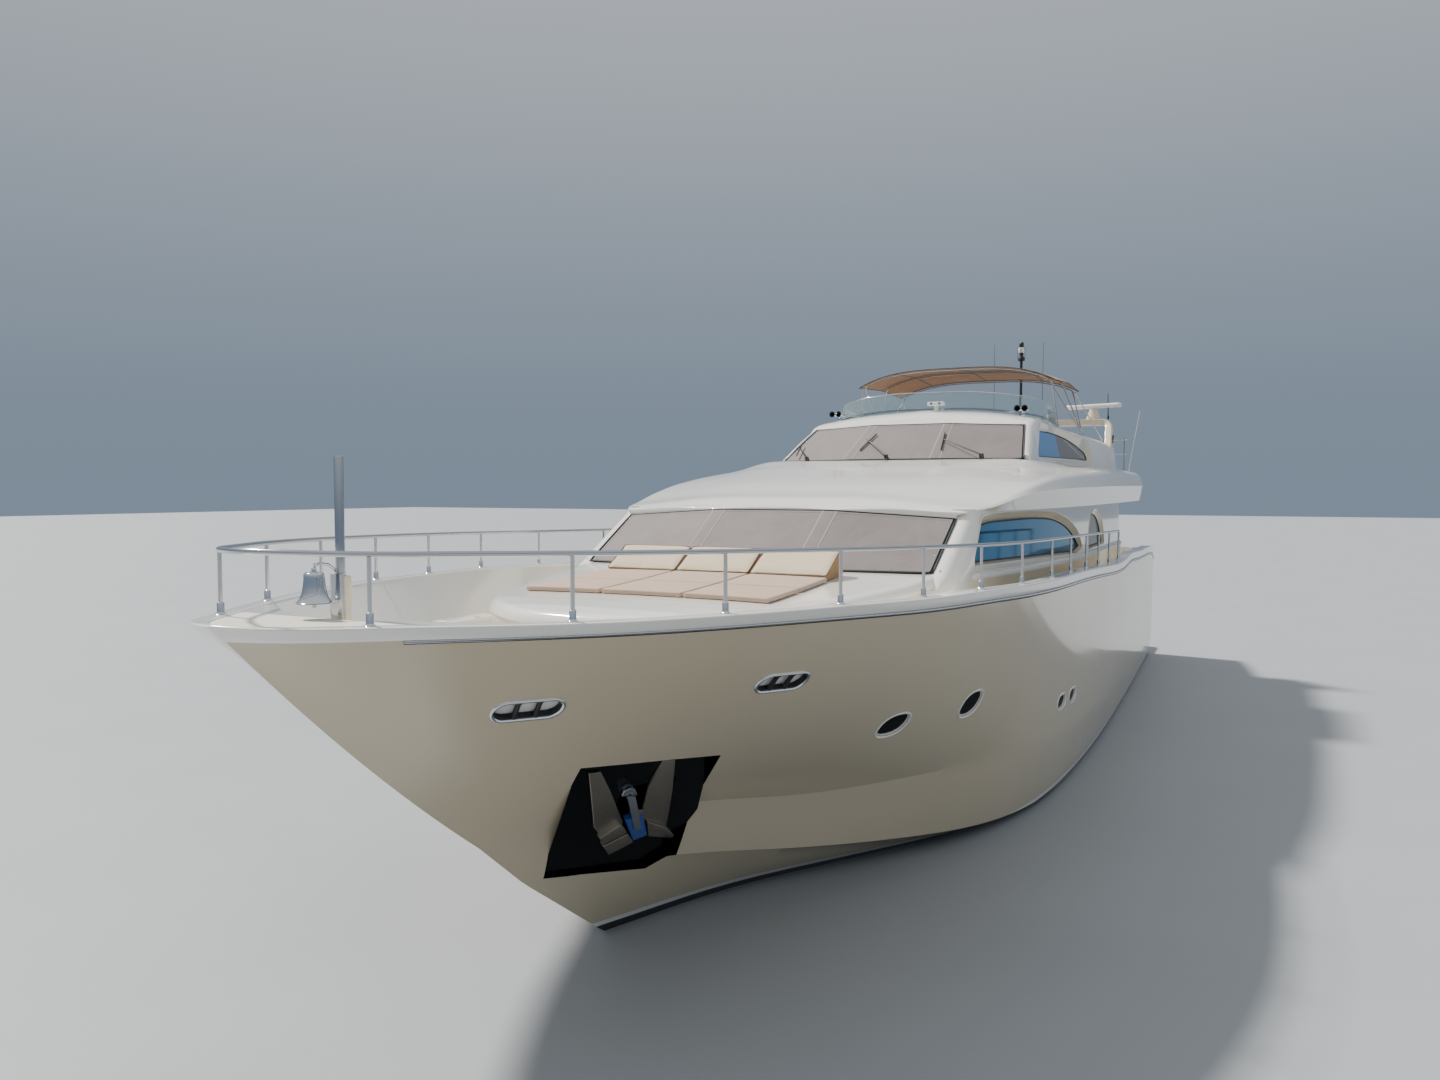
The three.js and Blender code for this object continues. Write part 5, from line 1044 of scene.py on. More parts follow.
shells = []
for x, inset in ((10.1, 0.16), (8.95, 0.16), (4.4, 0.14), (-4.8, 0.14)):
    for hand in (1, -1):
        y = float(np.interp(-x, -stations, foot)) - inset
        shells += cleat((x, hand * y, float(deck_at(x)) - 0.002), 0.35 * hand if x > 5 else 0.0)
add("deck_cleats", shells, steel, "steel")
WINDLASS_X = 10.45
deck_z = float(deck_at(WINDLASS_X))
shells = block((0.20, 0.30, 0.03), 0.02, 0.05, (WINDLASS_X, 0, deck_z + 0.03))
DRUM = [
    (0, 0), (0.085, 0), (0.085, 0.03), (0.055, 0.05), (0.05, 0.09), (0.075, 0.12), (0.08, 0.14), (0.05, 0.155),
    (0, 0.16)]
for hand in (1, -1):
    shells.append(turned(DRUM, (WINDLASS_X, hand * 0.16, deck_z + 0.06), sides=28))
    shells += block((0.09, 0.035, 0.03), 0.012, 0.05, (WINDLASS_X + 0.27, hand * 0.16, deck_z + 0.05))
add("anchor_windlass", shells, chrome, "steel", sharp=45)


# Deckhouse sides
# Glass-fibre side walls, white outside, rounded forward into the windshield pillars. Long arched windows are bonded in
# behind wide ivory reveals, and a rolled ledge carries on from the trunk along each side deck.
HOUSE_HALF, HOUSE_WALL, HOUSE_LOW, HOUSE_HIGH = 2.36, 0.06, 2.72, 3.72
HOUSE_AFT = -9.0
GLASS_IN, GLASS_THICK, BEDDING_IN = 0.066, 0.012, 0.062  # panes and their bedding stand in from the wall's face
SCREEN_LOW, SCREEN_TOP = [(5.56, 0.72, 3.07), (5.33, 2.13, 3.07)], [(4.62, 0.72, 3.692), (4.38, 2.13, 3.602)]
WINDOW_MAIN = [
    (4.48, 3.13), (4.04, 3.53), (3.5, 3.56), (0.8, 3.54), (-0.9, 3.48), (-2.1, 3.33), (-2.95, 3.13), (-3.48, 2.93),
    (-2.89, 2.87),
]
WINDOW_MAIN_ROUND = (0.05, 0.06, 0.3, 0.8, 0.8, 0.6, 0.5, 0.05, 0.1)
WINDOW_AFT = [(-4.35, 2.86), (-4.40, 3.20), (-4.70, 3.40), (-5.2, 3.48), (-5.8, 3.38), (-6.25, 3.15), (-6.5, 2.86)]
WINDOW_AFT_ROUND = (0.06, 0.12, 0.25, 0.3, 0.3, 0.25, 0.06)
pillar_foot, pillar_head = np.array(SCREEN_LOW[1]), np.array(SCREEN_TOP[1])


def lean_in(z):
    """How far the side wall leans in at a height: a parabola from just under its windows' heads."""
    return 0.02 * np.clip((z - 3.2) / 0.5, 0, 1) ** 2


def house_wall(side, inset):
    """A grid over one side wall. Up the rows the height runs from low to high; along the columns the wall starts at the
    windshield's edge, rounds the pillar on a spline and runs straight aft. inset draws it inwards."""
    z = np.concatenate([np.linspace(HOUSE_LOW, 3.0, 4)[:-1], np.linspace(3.0, HOUSE_HIGH, 16)])
    up_screen = np.clip((z - pillar_foot[2]) / (pillar_head[2] - pillar_foot[2]), -0.25, 1.1)
    start_x = pillar_foot[0] + up_screen * (pillar_head[0] - pillar_foot[0])
    knots = np.array([0, 0.06, 0.20, 0.42, 1.0])
    depth = np.array([2.13, 2.20, 2.293, 2.345, 2.36])
    push = np.array([0.0, 0.0, 0.10, 0.32, 0.95])
    t = np.linspace(0, 1, 22) ** 1.3
    y_near, back_near = spline(knots, depth, t)[:, 0], spline(knots, push, t)[:, 0]
    x_near = start_x[:, None] - back_near[None]
    x_far = np.linspace(0, 1, 60)[1:][None] * (HOUSE_AFT - x_near[:, -1:]) + x_near[:, -1:]
    x = np.concatenate([x_near, x_far], 1)
    y = np.concatenate([y_near, np.full(59, HOUSE_HALF)])[None] - inset - lean_in(z[:, None])
    return np.stack([x, side * y, np.broadcast_to(z[:, None], x.shape)], -1)


def window_edge(outline, radii, grow=0.0):
    """A window's outline with its corners rounded, let out by a distance along its own normals."""
    loop = rounded(outline, radii, 7)
    ahead = np.roll(loop, -1, axis=0) - np.roll(loop, 1, axis=0)
    ahead /= np.linalg.norm(ahead, axis=1, keepdims=True)
    out = np.stack([ahead[:, 1], -ahead[:, 0]], -1)
    x, z = loop.T
    area = np.sum(x * np.roll(z, -1) - np.roll(x, -1) * z)
    return loop + np.sign(area) * out * grow


def upright(loop, y):
    """An outline in x and z stood on a plane of constant y."""
    return np.stack([loop[:, 0], np.broadcast_to(y, len(loop)), loop[:, 1]], -1)


def window_grow(loop):
    """How far the reveal stands out round the glass: wide over the arch, narrow along the sill."""
    z = loop[:, 1]
    return 0.03 + 0.085 * np.clip((z - np.interp(loop[:, 0], [-6.5, 4.5], [2.86, 3.13])) / 0.12, 0, 1)


tinted_glass = speckled(
    "blue_mirror_filmed_glass", 0.9, 1.0, "#2f668f", "#275577",
    Metallic=0.8, Roughness=0.07, Specular_Tint=linear("#8fb3cc"))

for label, hand in SIDES:
    wall = make(
        f"deckhouse_side_{label}", slab(house_wall(hand, 0), house_wall(hand, HOUSE_WALL)), white_gelcoat, sharp=40)
    tools = []
    for place_name, outline, radii in (("main", WINDOW_MAIN, WINDOW_MAIN_ROUND), ("aft", WINDOW_AFT, WINDOW_AFT_ROUND)):
        core = window_edge(outline, radii)
        edge_loop = core + (window_edge(outline, radii, 1.0) - core) * window_grow(core)[:, None]
        tools.append(make(f"tool_{place_name}_{label}", [shell(
            np.stack([upright(edge_loop, hand * y) for y in (2.1, 2.6)]), wrap=True, ends=True)]))
        outer_y = HOUSE_HALF - lean_in(edge_loop[:, 1])
        lip = upright(edge_loop, hand * (outer_y + 0.004))
        brow = upright(edge_loop + (core - edge_loop) * 0.12, hand * (outer_y + 0.004))
        throat = upright(core + (edge_loop - core) * 0.25, hand * (outer_y - 0.05))
        seat = upright(core, hand * (outer_y - 0.062))
        behind = upright(core, hand * (outer_y - 0.085))
        wide = upright(edge_loop, hand * (outer_y - 0.085))
        ring = np.stack([lip, brow, throat, seat, behind, wide], 1)
        add(f"{place_name}_window_reveal_{label}", [closed_ring(ring)], cream_gelcoat, "cream_gelcoat", sharp=25)
        pane = [upright(core, hand * (HOUSE_HALF - deep)) for deep in (GLASS_IN, GLASS_IN + GLASS_THICK)]
        coating = tinted_glass if place_name == "main" else dark_glass
        pane, node_name = shell(pane, wrap=True, ends=True), f"{place_name}_window_{label}"
        add(f"{place_name}_glass_{label}", [pane], coating, "glass", node_name, sharp=35)
        bead = upright(window_edge(outline, radii, -0.006), hand * (HOUSE_HALF - BEDDING_IN))
        gasket = sweep(bead, circle(0.009, 8), ref=(0, 1, 0), closed=True)
        add(f"{place_name}_window_gasket_{label}", [gasket], rubber, "black_plastic", sharp=80)
    carve(wall, *tools)
    wall.data.set_sharp_from_angle(angle=math.radians(40))
    fit(wall, "white_gelcoat", "main_house")

# Ledge and lower side
# The rolled white ledge under the windows and the ivory panel from it down to the deck, one moulding each side.
LEDGE_ROUND, LEDGE_INNER = 0.07, 2.2
ledge_x = np.linspace(5.3, HOUSE_AFT, 70)
ledge_z = np.interp(ledge_x, [-9, -3, 2, 5.3], [2.78, 2.80, 2.93, 3.055])
ledge_half = np.interp(ledge_x, [-9, 3.6, 4.5, 5.3], [2.44, 2.44, 2.38, 2.235])
turn = np.linspace(np.pi / 2, -0.15, 12)[:, None]
ledge = np.concatenate([
    np.stack(np.broadcast_arrays(ledge_x, 0 * ledge_x + LEDGE_INNER, ledge_z + 0.05), -1)[None],
    np.stack(np.broadcast_arrays(
        ledge_x[None], (ledge_half - LEDGE_ROUND)[None] + LEDGE_ROUND * np.cos(turn),
        (ledge_z - 0.06)[None] + LEDGE_ROUND * np.sin(turn)), -1),
])
panel_foot = np.stack([ledge_x, ledge_half - 0.04, deck_at(ledge_x) - 0.01], -1)
panel_foot[ledge_x < COCKPIT_FRONT, 2] = DECK[0][1] - 0.01
panel = between(ledge[-1], panel_foot, 5)
inner_rows = panel_foot * (1, 0, 1) + (0, LEDGE_INNER, 0)
for label, hand in SIDES:
    shells = [shell(ledge * (1, hand, 1), slot=0), shell(panel * (1, hand, 1), slot=1),
              shell(np.stack([panel_foot, inner_rows, ledge[0]]) * (1, hand, 1), slot=1)]
    for end in (0, -1):
        rim_loop = np.concatenate([ledge[:, end], panel[1:, end], inner_rows[None, end]]) * (1, hand, 1)
        shells.append((rim_loop, [list(range(len(rim_loop)))], [1]))
    lower = make(f"deckhouse_ledge_{label}", shells, white_gelcoat, cream_gelcoat, sharp=40)
    fit(lower, "white_gelcoat")

# Upper deck
# One glass-fibre moulding from the brow over the windshield to the boat deck: a roof that falls to rolled wings over
# the side decks, with a flat soffit under them and a ceiling over the saloon.
WING_LOW, CEILING_HALF, UPPER_DECK, UPPER_AFT = 3.6903, 2.26, 4.39, -9.1
ROOF = [  # x, underside, crease half width and height, shoulder half width and height, crown half width and height
    (4.61, 3.70, 0.70, 3.705, 0.69, 3.712, 0.30, 3.725), (4.50, 3.70, 1.35, 3.708, 1.335, 3.722, 0.56, 3.75),
    (4.36, 3.64, 2.17, 3.665, 2.12, 3.69, 0.90, 3.79), (4.18, WING_LOW, 2.29, 3.70, 2.23, 3.72, 1.0, 3.84),
    (3.8, WING_LOW, 2.42, 3.74, 2.32, 3.77, 1.08, 3.90), (3.1, WING_LOW, 2.57, 3.85, 2.39, 3.90, 1.2, 4.03),
    (2.3, WING_LOW, 2.69, 3.92, 2.45, 4.04, 1.35, 4.15), (1.3, WING_LOW, 2.79, 3.95, 2.51, 4.15, 1.6, 4.29),
    (0.2, WING_LOW, 2.85, 3.965, 2.57, 4.20, 2.08, UPPER_DECK),
    (-1.0, WING_LOW, 2.89, 3.975, 2.62, 4.235, 2.13, UPPER_DECK),
    (-3.0, WING_LOW, 2.93, 3.99, 2.70, 4.27, 2.13, UPPER_DECK),
    (-7.6, WING_LOW, 2.94, 4.0, 2.73, 4.30, 2.13, UPPER_DECK),
    (-8.2, WING_LOW, 2.923, 4.0, 2.718, 4.30, 2.13, UPPER_DECK),
    (-8.6, WING_LOW, 2.885, 4.0, 2.69, 4.30, 2.13, UPPER_DECK),
    (-8.9, WING_LOW, 2.83, 4.0, 2.645, 4.295, 2.12, UPPER_DECK),
    (UPPER_AFT, WING_LOW, 2.765, 4.0, 2.58, 4.29, 2.10, UPPER_DECK),
]
CEILING = [(4.1, 3.70), (3.5, 3.78), (2.5, 3.93), (1.0, 4.08), (-8.9, 4.12)]  # x, height
UPPER_SHARP, BRIDGE_SHARP = 23, 35  # angles past which an edge is left sharp
HATCHES = [(-2.79, -0.45, -1.75, 1.75), (-8.5, -7.45, -1.7, -1.0)]  # openings in the deck: x from, to, y from, to


def fair(knots, values, places):
    """Smooth line that never overshoots its knots: cubics whose slope at a knot is the harmonic mean of the slopes on
    either side of it, or flat where they differ in sign."""
    order = np.argsort(knots)
    knots, values = np.asarray(knots, float)[order], np.asarray(values, float)[order]
    step = np.diff(knots)
    chord = np.diff(values) / step
    same = chord[:-1] * chord[1:] > 0
    inner = np.where(same, 2 * chord[:-1] * chord[1:] / np.where(same, chord[:-1] + chord[1:], 1), 0)
    slope = np.concatenate([chord[:1], inner, chord[-1:]])
    places = np.asarray(places, float)
    k = np.clip(np.searchsorted(knots, places, side="right") - 1, 0, len(knots) - 2)
    t = (places - knots[k]) / step[k]
    return (values[k] * (1 + 2 * t) * (1 - t) ** 2 + slope[k] * step[k] * t * (1 - t) ** 2
            + values[k + 1] * t ** 2 * (3 - 2 * t) + slope[k + 1] * step[k] * t ** 2 * (t - 1))


def bent(corners, radii, steps=6):
    """An open line, or a grid of them, with its inner corners rounded: each becomes a parabola that starts and ends a
    radius from it, or 0.48 of its shorter side."""
    corners = np.asarray(corners, float)
    before, after = corners[:-2] - corners[1:-1], corners[2:] - corners[1:-1]
    reach = [np.linalg.norm(way, axis=-1, keepdims=True) for way in (before, after)]
    radii = np.broadcast_to(radii, len(before)).reshape((-1,) + (1,) * (corners.ndim - 1))
    cut_back = np.minimum(radii, np.minimum(reach[0], reach[1]) * 0.48)
    start = corners[1:-1] + before / np.maximum(reach[0], 1e-9) * cut_back
    end = corners[1:-1] + after / np.maximum(reach[1], 1e-9) * cut_back
    t = np.linspace(0, 1, steps).reshape((1, -1) + (1,) * (corners.ndim - 1))
    curve = (1 - t) ** 2 * start[:, None] + 2 * t * (1 - t) * corners[1:-1, None] + t ** 2 * end[:, None]
    return np.concatenate([corners[:1], curve.reshape((-1,) + corners.shape[1:]), corners[-1:]])


def half_loft(rows):
    """Closed skin from rows of points on the port half, each row at one place along the boat, from the centreline out
    and back to it: both halves, and the two ends."""
    rows = np.asarray(rows, float)
    shells = [shell(rows), shell(mirrored(rows))]
    for end in (0, -1):
        ring = np.concatenate([rows[end], (rows[end] * (1, -1, 1))[::-1][1:-1]])
        ring = ring[np.linalg.norm(ring - np.roll(ring, 1, axis=0), axis=1) > 1e-5]
        shells.append((ring, [list(range(len(ring)))], [0]))
    return shells


roof_x = np.concatenate([
    np.linspace(4.61, 4.36, 12), np.linspace(4.36, 3.8, 14)[1:], np.linspace(3.8, -0.2, 50)[1:],
    np.linspace(-0.2, -8.3, 40)[1:], np.linspace(-8.3, -8.9, 8)[1:], np.linspace(-8.9, UPPER_AFT, 5)])
roof_low, crease_w, crease_z, shoulder_w, shoulder_z, crown_w, crown_z = (
    fair([row[0] for row in ROOF], [row[k] for row in ROOF], roof_x) for k in range(1, 8))
crease_w[:12] = np.interp(roof_x[:12], [4.36, 4.50, 4.61], [2.17, 1.35, 0.70])
shoulder_w[:12] = np.interp(roof_x[:12], [4.36, 4.50, 4.61], [2.12, 1.335, 0.69])
at_station = lambda y, z: np.stack(np.broadcast_arrays(roof_x, y, z), -1)
skin = bent(
    [
        at_station(crease_w, crease_z),
        at_station(crease_w - 0.3 * (crease_w - shoulder_w), crease_z + 0.78 * (shoulder_z - crease_z)),
        at_station(shoulder_w, shoulder_z), at_station(crown_w, crown_z), at_station(0, crown_z)],
    (0.2, 0.25, 0.5), 8)
ceiling = np.interp(roof_x, *np.array(CEILING[::-1]).T, left=WING_LOW)
past_ceiling = np.arange(len(roof_x)) >= len(roof_x) - 5
ceiling = np.maximum(np.where(past_ceiling, roof_low, ceiling), roof_low)
ceiling[roof_x > 4.1] = roof_low[roof_x > 4.1]
ceiling_half = np.minimum(CEILING_HALF, crease_w - 0.08)
soffit_edge = at_station(crease_w - 0.07, roof_low)
under = np.concatenate([
    between(at_station(0, ceiling), at_station(ceiling_half, ceiling), 8),
    between(at_station(ceiling_half, ceiling), at_station(ceiling_half, roof_low), 3)[1:],
    between(at_station(ceiling_half, roof_low), soffit_edge, 4)[1:],
    between(soffit_edge, at_station(crease_w, crease_z), 3)[1:-1]])
across_top = np.concatenate([skin[:-1], between(skin[-2], skin[-1], 10)[1:]])
upper_deck = make(
    "upper_deck_moulding", half_loft(np.concatenate([under, across_top]).transpose(1, 0, 2)), white_gelcoat,
    cream_gelcoat, sharp=30)
tools = []
for number, (x0, x1, y0, y1) in enumerate(HATCHES):
    corners = np.array([(x0, y0, 3.6), (x1, y0, 3.6), (x1, y1, 3.6), (x0, y1, 3.6)])
    tools.append(make(f"tool_hatch_{number}", [shell([corners, corners + (0, 0, 1)], wrap=True, ends=True)]))
carve(upper_deck, *tools)
upper_deck.data.set_sharp_from_angle(angle=math.radians(UPPER_SHARP))
soffit = np.array([face.normal.z < -0.7 and face.center.z < 4.0 for face in upper_deck.data.polygons])
upper_deck.data.polygons.foreach_set("material_index", soffit.astype(int))
fit(upper_deck, "white_gelcoat", "upper_deck")

# Pilothouse
# The raised cabin and the coaming round the flybridge are one moulding: raked sides, a rolled brow over the upper
# windshield and a long tapering window on each side, set in a wide ivory reveal.
BRIDGE = [  # x, half width at the foot, half width at the top, height at the side, height along the middle
    (-0.33, 2.06, 2.04, 4.46, 4.47), (-0.60, 2.065, 2.0, 4.62, 4.80), (-0.90, 2.07, 1.955, 4.785, 5.005),
    (-1.25, 2.08, 1.90, 4.97, 5.14), (-1.33, 2.085, 1.90, 5.02, 5.18), (-1.7, 2.09, 1.90, 5.09, 5.275),
    (-2.2, 2.10, 1.90, 5.11, 5.32), (-2.85, 2.10, 1.90, 5.09, 5.33), (-4.2, 2.16, 2.00, 5.02, 5.33),
    (-6.2, 2.27, 2.15, 4.96, 5.33), (-8.4, 2.37, 2.29, 4.89, 5.33),
]
BRIDGE_LOW, BRIDGE_WALL, COAMING_ROUND = 4.30, 0.09, 0.06
FLY_FRONT, FLY_AFT = -2.85, -8.4
CUT_LOW, CUT_HIGH = 4.2, 5.6  # heights below and above the moulding, from which it is hollowed
FLY_WELL = [(-2.85, 1.76), (-4.2, 1.86), (-6.2, 2.01), (-8.45, 2.15)]  # x, half width inside the coaming
SCREEN_PLAN = [(0.3, 1.99), (-0.24, 1.97), (-1.245, 1.795), (-0.915, 0.645)]  # opening under the upper windshield
WINDOW_PILOT = [(-1.08, 4.46), (-1.80, 4.90), (-2.9, 4.905), (-3.9, 4.86), (-4.8, 4.76), (-5.45, 4.63), (-5.5, 4.50)]
WINDOW_PILOT_ROUND = (0.05, 0.09, 0.4, 0.5, 0.5, 0.2, 0.07)


def bridge_rows(x):
    """The moulding's half widths and heights at places along the boat, each on a fair line."""
    return [fair([row[0] for row in BRIDGE], [row[k] for row in BRIDGE], x) for k in range(1, 5)]


def bridge_loft(x, inset, low):
    """Closed body of the moulding's section carried along x: up the side, rounded over its edge, and across the crown.
    inset draws it inwards and down."""
    foot, top, side_z, crown = bridge_rows(x)
    at_x = lambda y, z: np.stack(np.broadcast_arrays(x, y, z), -1)
    line_up = bent(
        [
            at_x(foot - inset, low), at_x(top - inset, side_z - inset),
            at_x(top * 0.6, side_z * 0.35 + crown * 0.65 - inset), at_x(0, crown - inset)],
        (2 * COAMING_ROUND, 0.7), 9)
    rows = np.concatenate([between(line_up[0] * (1, 0, 1), line_up[0], 4), between(line_up[0], line_up[1], 12)[1:],
                           line_up[2:-1], between(line_up[-2], line_up[-1], 8)[1:]])
    return half_loft(rows.transpose(1, 0, 2))


def bridge_side(x, z):
    """Half breadth of the moulding's outer side at a place and height."""
    foot, top, side_z, _ = bridge_rows(x)
    return foot + (top - foot) * (z - BRIDGE_LOW) / (side_z - BRIDGE_LOW)


outer_x = np.concatenate([np.linspace(FLY_AFT, FLY_FRONT, 50), np.linspace(FLY_FRONT, BRIDGE[0][0], 50)])
outer_x = np.unique(outer_x)[::-1]
pilothouse = make(
    "pilothouse_moulding", bridge_loft(outer_x, 0, BRIDGE_LOW), white_gelcoat, cream_gelcoat, sharp=BRIDGE_SHARP)
tools = [make("tool_cabin", bridge_loft(np.linspace(BRIDGE[0][0] - 0.09, FLY_FRONT + 0.08, 40), BRIDGE_WALL, CUT_LOW))]
plan = np.array([(x, -y) for x, y in SCREEN_PLAN] + SCREEN_PLAN[::-1])
plug = shell([np.column_stack([plan, np.full(8, z)]) for z in (CUT_LOW, CUT_HIGH)], wrap=True, ends=True)
tools.append(make("tool_front", [plug]))
well_x = np.linspace(FLY_FRONT, FLY_AFT - 0.05, 60)
well_half, side_z = np.interp(well_x, *np.array(FLY_WELL[::-1]).T), bridge_rows(well_x)[2]
turn = np.linspace(0, np.pi / 2, 7)[:, None]
well_at = lambda y, z: np.stack(np.broadcast_arrays(well_x, y, z), -1)
flare = well_at(
    well_half + COAMING_ROUND * (1 - np.cos(turn)), side_z - COAMING_ROUND - 0.004 + COAMING_ROUND * np.sin(turn))
well_rows = np.concatenate([
    [well_at(0, CUT_LOW), well_at(well_half, CUT_LOW)], flare,
    [well_at(well_half + 0.3, side_z + 0.02), well_at(well_half + 0.3, CUT_HIGH), well_at(0, CUT_HIGH)]])
tools.append(make("tool_well", half_loft(well_rows.transpose(1, 0, 2))))
core = window_edge(WINDOW_PILOT, WINDOW_PILOT_ROUND)
reach = 0.025 + 0.095 * np.clip((core[:, 1] - 4.52) / 0.15, 0, 1) + 0.25 * np.clip((-4.6 - core[:, 0]) / 0.9, 0, 1) ** 2
lip = core + (window_edge(WINDOW_PILOT, WINDOW_PILOT_ROUND, 1.0) - core) * reach[:, None]
on_side = lambda loop, off: np.stack([loop[:, 0], bridge_side(loop[:, 0], loop[:, 1]) + off, loop[:, 1]], -1)
for label, hand in SIDES:
    rings = np.stack([
        on_side(lip + (lip - core) * 0.6, 0.05), on_side(lip, -0.004), on_side(core, -0.058), on_side(core, -0.3)])
    plug = shell(rings * (1, hand, 1), wrap=True, ends=True, slot=1)
    tools.append(make(f"tool_pilot_{label}", [plug], white_gelcoat, cream_gelcoat))
carve(pilothouse, *tools)
pilothouse.data.set_sharp_from_angle(angle=math.radians(BRIDGE_SHARP))
fit(pilothouse, "white_gelcoat", "pilothouse")

# The pane is flat, on the plane nearest the wall's side; its after part is coloured as a curtain close behind it, its
# folds painted as darker and paler bands: painted shade in the folds
pilot_glass, tree, shader = finish_of(
    "tinted_glass_over_curtain", Roughness=0.04, IOR=1.52, Specular_IOR_Level=0.4)
split = node(tree, "ShaderNodeSeparateXYZ", {"Vector": tree_coordinates(tree)}).outputs
CURTAIN_LEAN, CURTAIN_X, CURTAIN_Z = 0.45, -3.1, 4.7  # its front edge: how far it leans, and a place on it
leant = node(tree, "ShaderNodeMath", {0: split["Z"], 1: CURTAIN_LEAN, 2: split["X"]}, operation="MULTIPLY_ADD")
drawn = node(tree, "ShaderNodeMath", {
    0: leant.outputs["Value"], 1: CURTAIN_LEAN * CURTAIN_Z + CURTAIN_X}, operation="LESS_THAN")
fold_shade_bands = node(
    tree, "ShaderNodeTexWave", {"Vector": tree_coordinates(tree), "Scale": 3.0, "Distortion": 1.5, "Detail": 1.0})
curtain = blend(tree, fold_shade_bands.outputs["Fac"], "#6b5a3f", "#4a3d2a")
tree.links.new(blend(tree, drawn.outputs["Value"], "#2f7cc0", curtain), shader.inputs["Base Color"])
flat_side = np.linalg.lstsq(np.column_stack([core, np.ones(len(core))]), bridge_side(*core.T), rcond=None)[0]
pane_y = np.column_stack([core, np.ones(len(core))]) @ flat_side
for label, hand in SIDES:
    pane = np.stack([np.stack([core[:, 0], hand * (pane_y - off), core[:, 1]], -1) for off in (0.060, 0.072)])
    pane, node_name = shell(pane, wrap=True, ends=True), f"pilothouse_window_{label}"
    add(f"pilothouse_glass_{label}", [pane], pilot_glass, "glass", node_name, sharp=35)
    seal = np.stack([core[:, 0], hand * (pane_y - 0.057), core[:, 1]], -1)
    gasket = sweep(seal, circle(0.009, 8), ref=(0, 1, 0), closed=True)
    add(f"pilothouse_window_gasket_{label}", [gasket], rubber, "black_plastic", sharp=80)

# Windshields
# Three panes of laminated glass each, meeting at two mullions and bedded in black sealant. Each stands under a grey
# woven mesh cover, cut in one sheet, hemmed, taped over the mullions and snapped to the moulding.
SCREENS = {  # for the corner of the middle pane and of the side pane: along the foot, then along the top
    "lower": ([(5.56, 0.72, 3.064), (5.33, 2.13, 3.064)], [(4.62, 0.72, 3.69), (4.38, 2.13, 3.60)]),
    "upper": ([(0.20, 0.71, 4.3903), (-0.225, 1.96, 4.3903)], [(-0.90, 0.64, 4.99), (-1.23, 1.78, 4.95)]),
}
SCREEN_GLASS, COVER_LIFT, COVER_THICK, COVER_SLACK = 0.012, 0.0135, 0.0015, 0.003
MULLION, TAPE_AWAY, TAPE_HALF, EDGE_IN = 1 / 3, 0.0375, 0.0045, 0.015  # shares of the half width


def screen_at(name, u, v, lift):
    """Points on a windshield, across at u from -1 to 1 and up at v from 0 to 1, off the glass by lift. Its edges run
    straight between their corners, and each bend is the mean of nine places close by."""
    u, v = np.broadcast_arrays(np.asarray(u, float), np.asarray(v, float))
    edges = []
    for middle, side in SCREENS[name]:
        middle, side = np.array(middle), np.array(side)
        past = middle + (side - middle) * 1.3
        knots = np.array([past * (1, -1, 1), middle * (1, -1, 1), middle, past])
        near = u[..., None] + np.linspace(-0.03, 0.03, 9)
        edges.append(
            np.stack([np.interp(near, [-1.2, -MULLION, MULLION, 1.2], knots[:, k]).mean(-1) for k in range(3)], -1))
    return edges[0] + v[..., None] * (edges[1] - edges[0]) + np.asarray(lift)[..., None] * np.array([0.5, 0, 0.87])


def cover_sag(u, v):
    """How far a cover stands off the glass: half waves of slack over each panel, none along the tapes."""
    panel = np.where(np.abs(u) < MULLION, (u + MULLION) / (2 * MULLION), (np.abs(u) - MULLION) / (1 - MULLION))
    return COVER_SLACK * np.sin(np.pi * np.clip(panel, 0, 1)) * np.sin(np.pi * v) * (1 + 0.3 * np.sin(23 * u + 9 * v))


def patch(name, u, v, low, high, slot=0):
    """A thin closed piece of a cover between two lifts."""
    u, v = np.meshgrid(u, v, indexing="ij")
    sag = cover_sag(u, v)
    return slab(screen_at(name, u, v, low + sag), screen_at(name, u, v, high + sag), slot)


# Woven vinyl-coated polyester: a dull open basket weave, its threads drawn 9 mm apart so that they show
mesh_cloth, tree, shader = finish_of(
    "woven_grey_mesh_cloth", Roughness=0.75, IOR=1.5, Sheen_Weight=0.15, Sheen_Roughness=0.5)
place = tree_coordinates(tree)
waves = [node(tree, "ShaderNodeTexWave", {"Vector": place, "Scale": 17.7, "Distortion": 0.8}, bands_direction=way)
         for way in ("Y", "Z")]
weave = node(tree, "ShaderNodeMath", {0: waves[0].outputs["Fac"], 1: waves[1].outputs["Fac"]}, operation="MULTIPLY")
dust = node(tree, "ShaderNodeTexNoise", {"Vector": place, "Scale": 1.6, "Detail": 6.0, "Roughness": 0.65})
worn = blend(tree, dust.outputs["Fac"], "#6d6463", "#8d8482")
shade = node(tree, "ShaderNodeMapRange", {"Value": weave.outputs["Value"], "To Min": 0.82, "To Max": 1.05})
tint = node(tree, "ShaderNodeVectorMath", {0: worn, 3: shade.outputs["Result"]}, operation="SCALE")
crease = node(tree, "ShaderNodeTexNoise", {"Vector": place, "Scale": 2.2, "Detail": 3.0, "Distortion": 1.2})
soft = node(tree, "ShaderNodeBump", {"Height": crease.outputs["Fac"], "Strength": 0.5, "Distance": 0.02})
bump = node(tree, "ShaderNodeBump", {
    "Height": weave.outputs["Value"], "Strength": 0.3, "Distance": 0.001, "Normal": soft.outputs["Normal"]})
tree.links.new(tint.outputs["Vector"], shader.inputs["Base Color"])
tree.links.new(bump.outputs["Normal"], shader.inputs["Normal"])
tape_cloth = canvas_cloth("woven_pale_seam_tape", "#a79f9b", "#989089", 0.003)
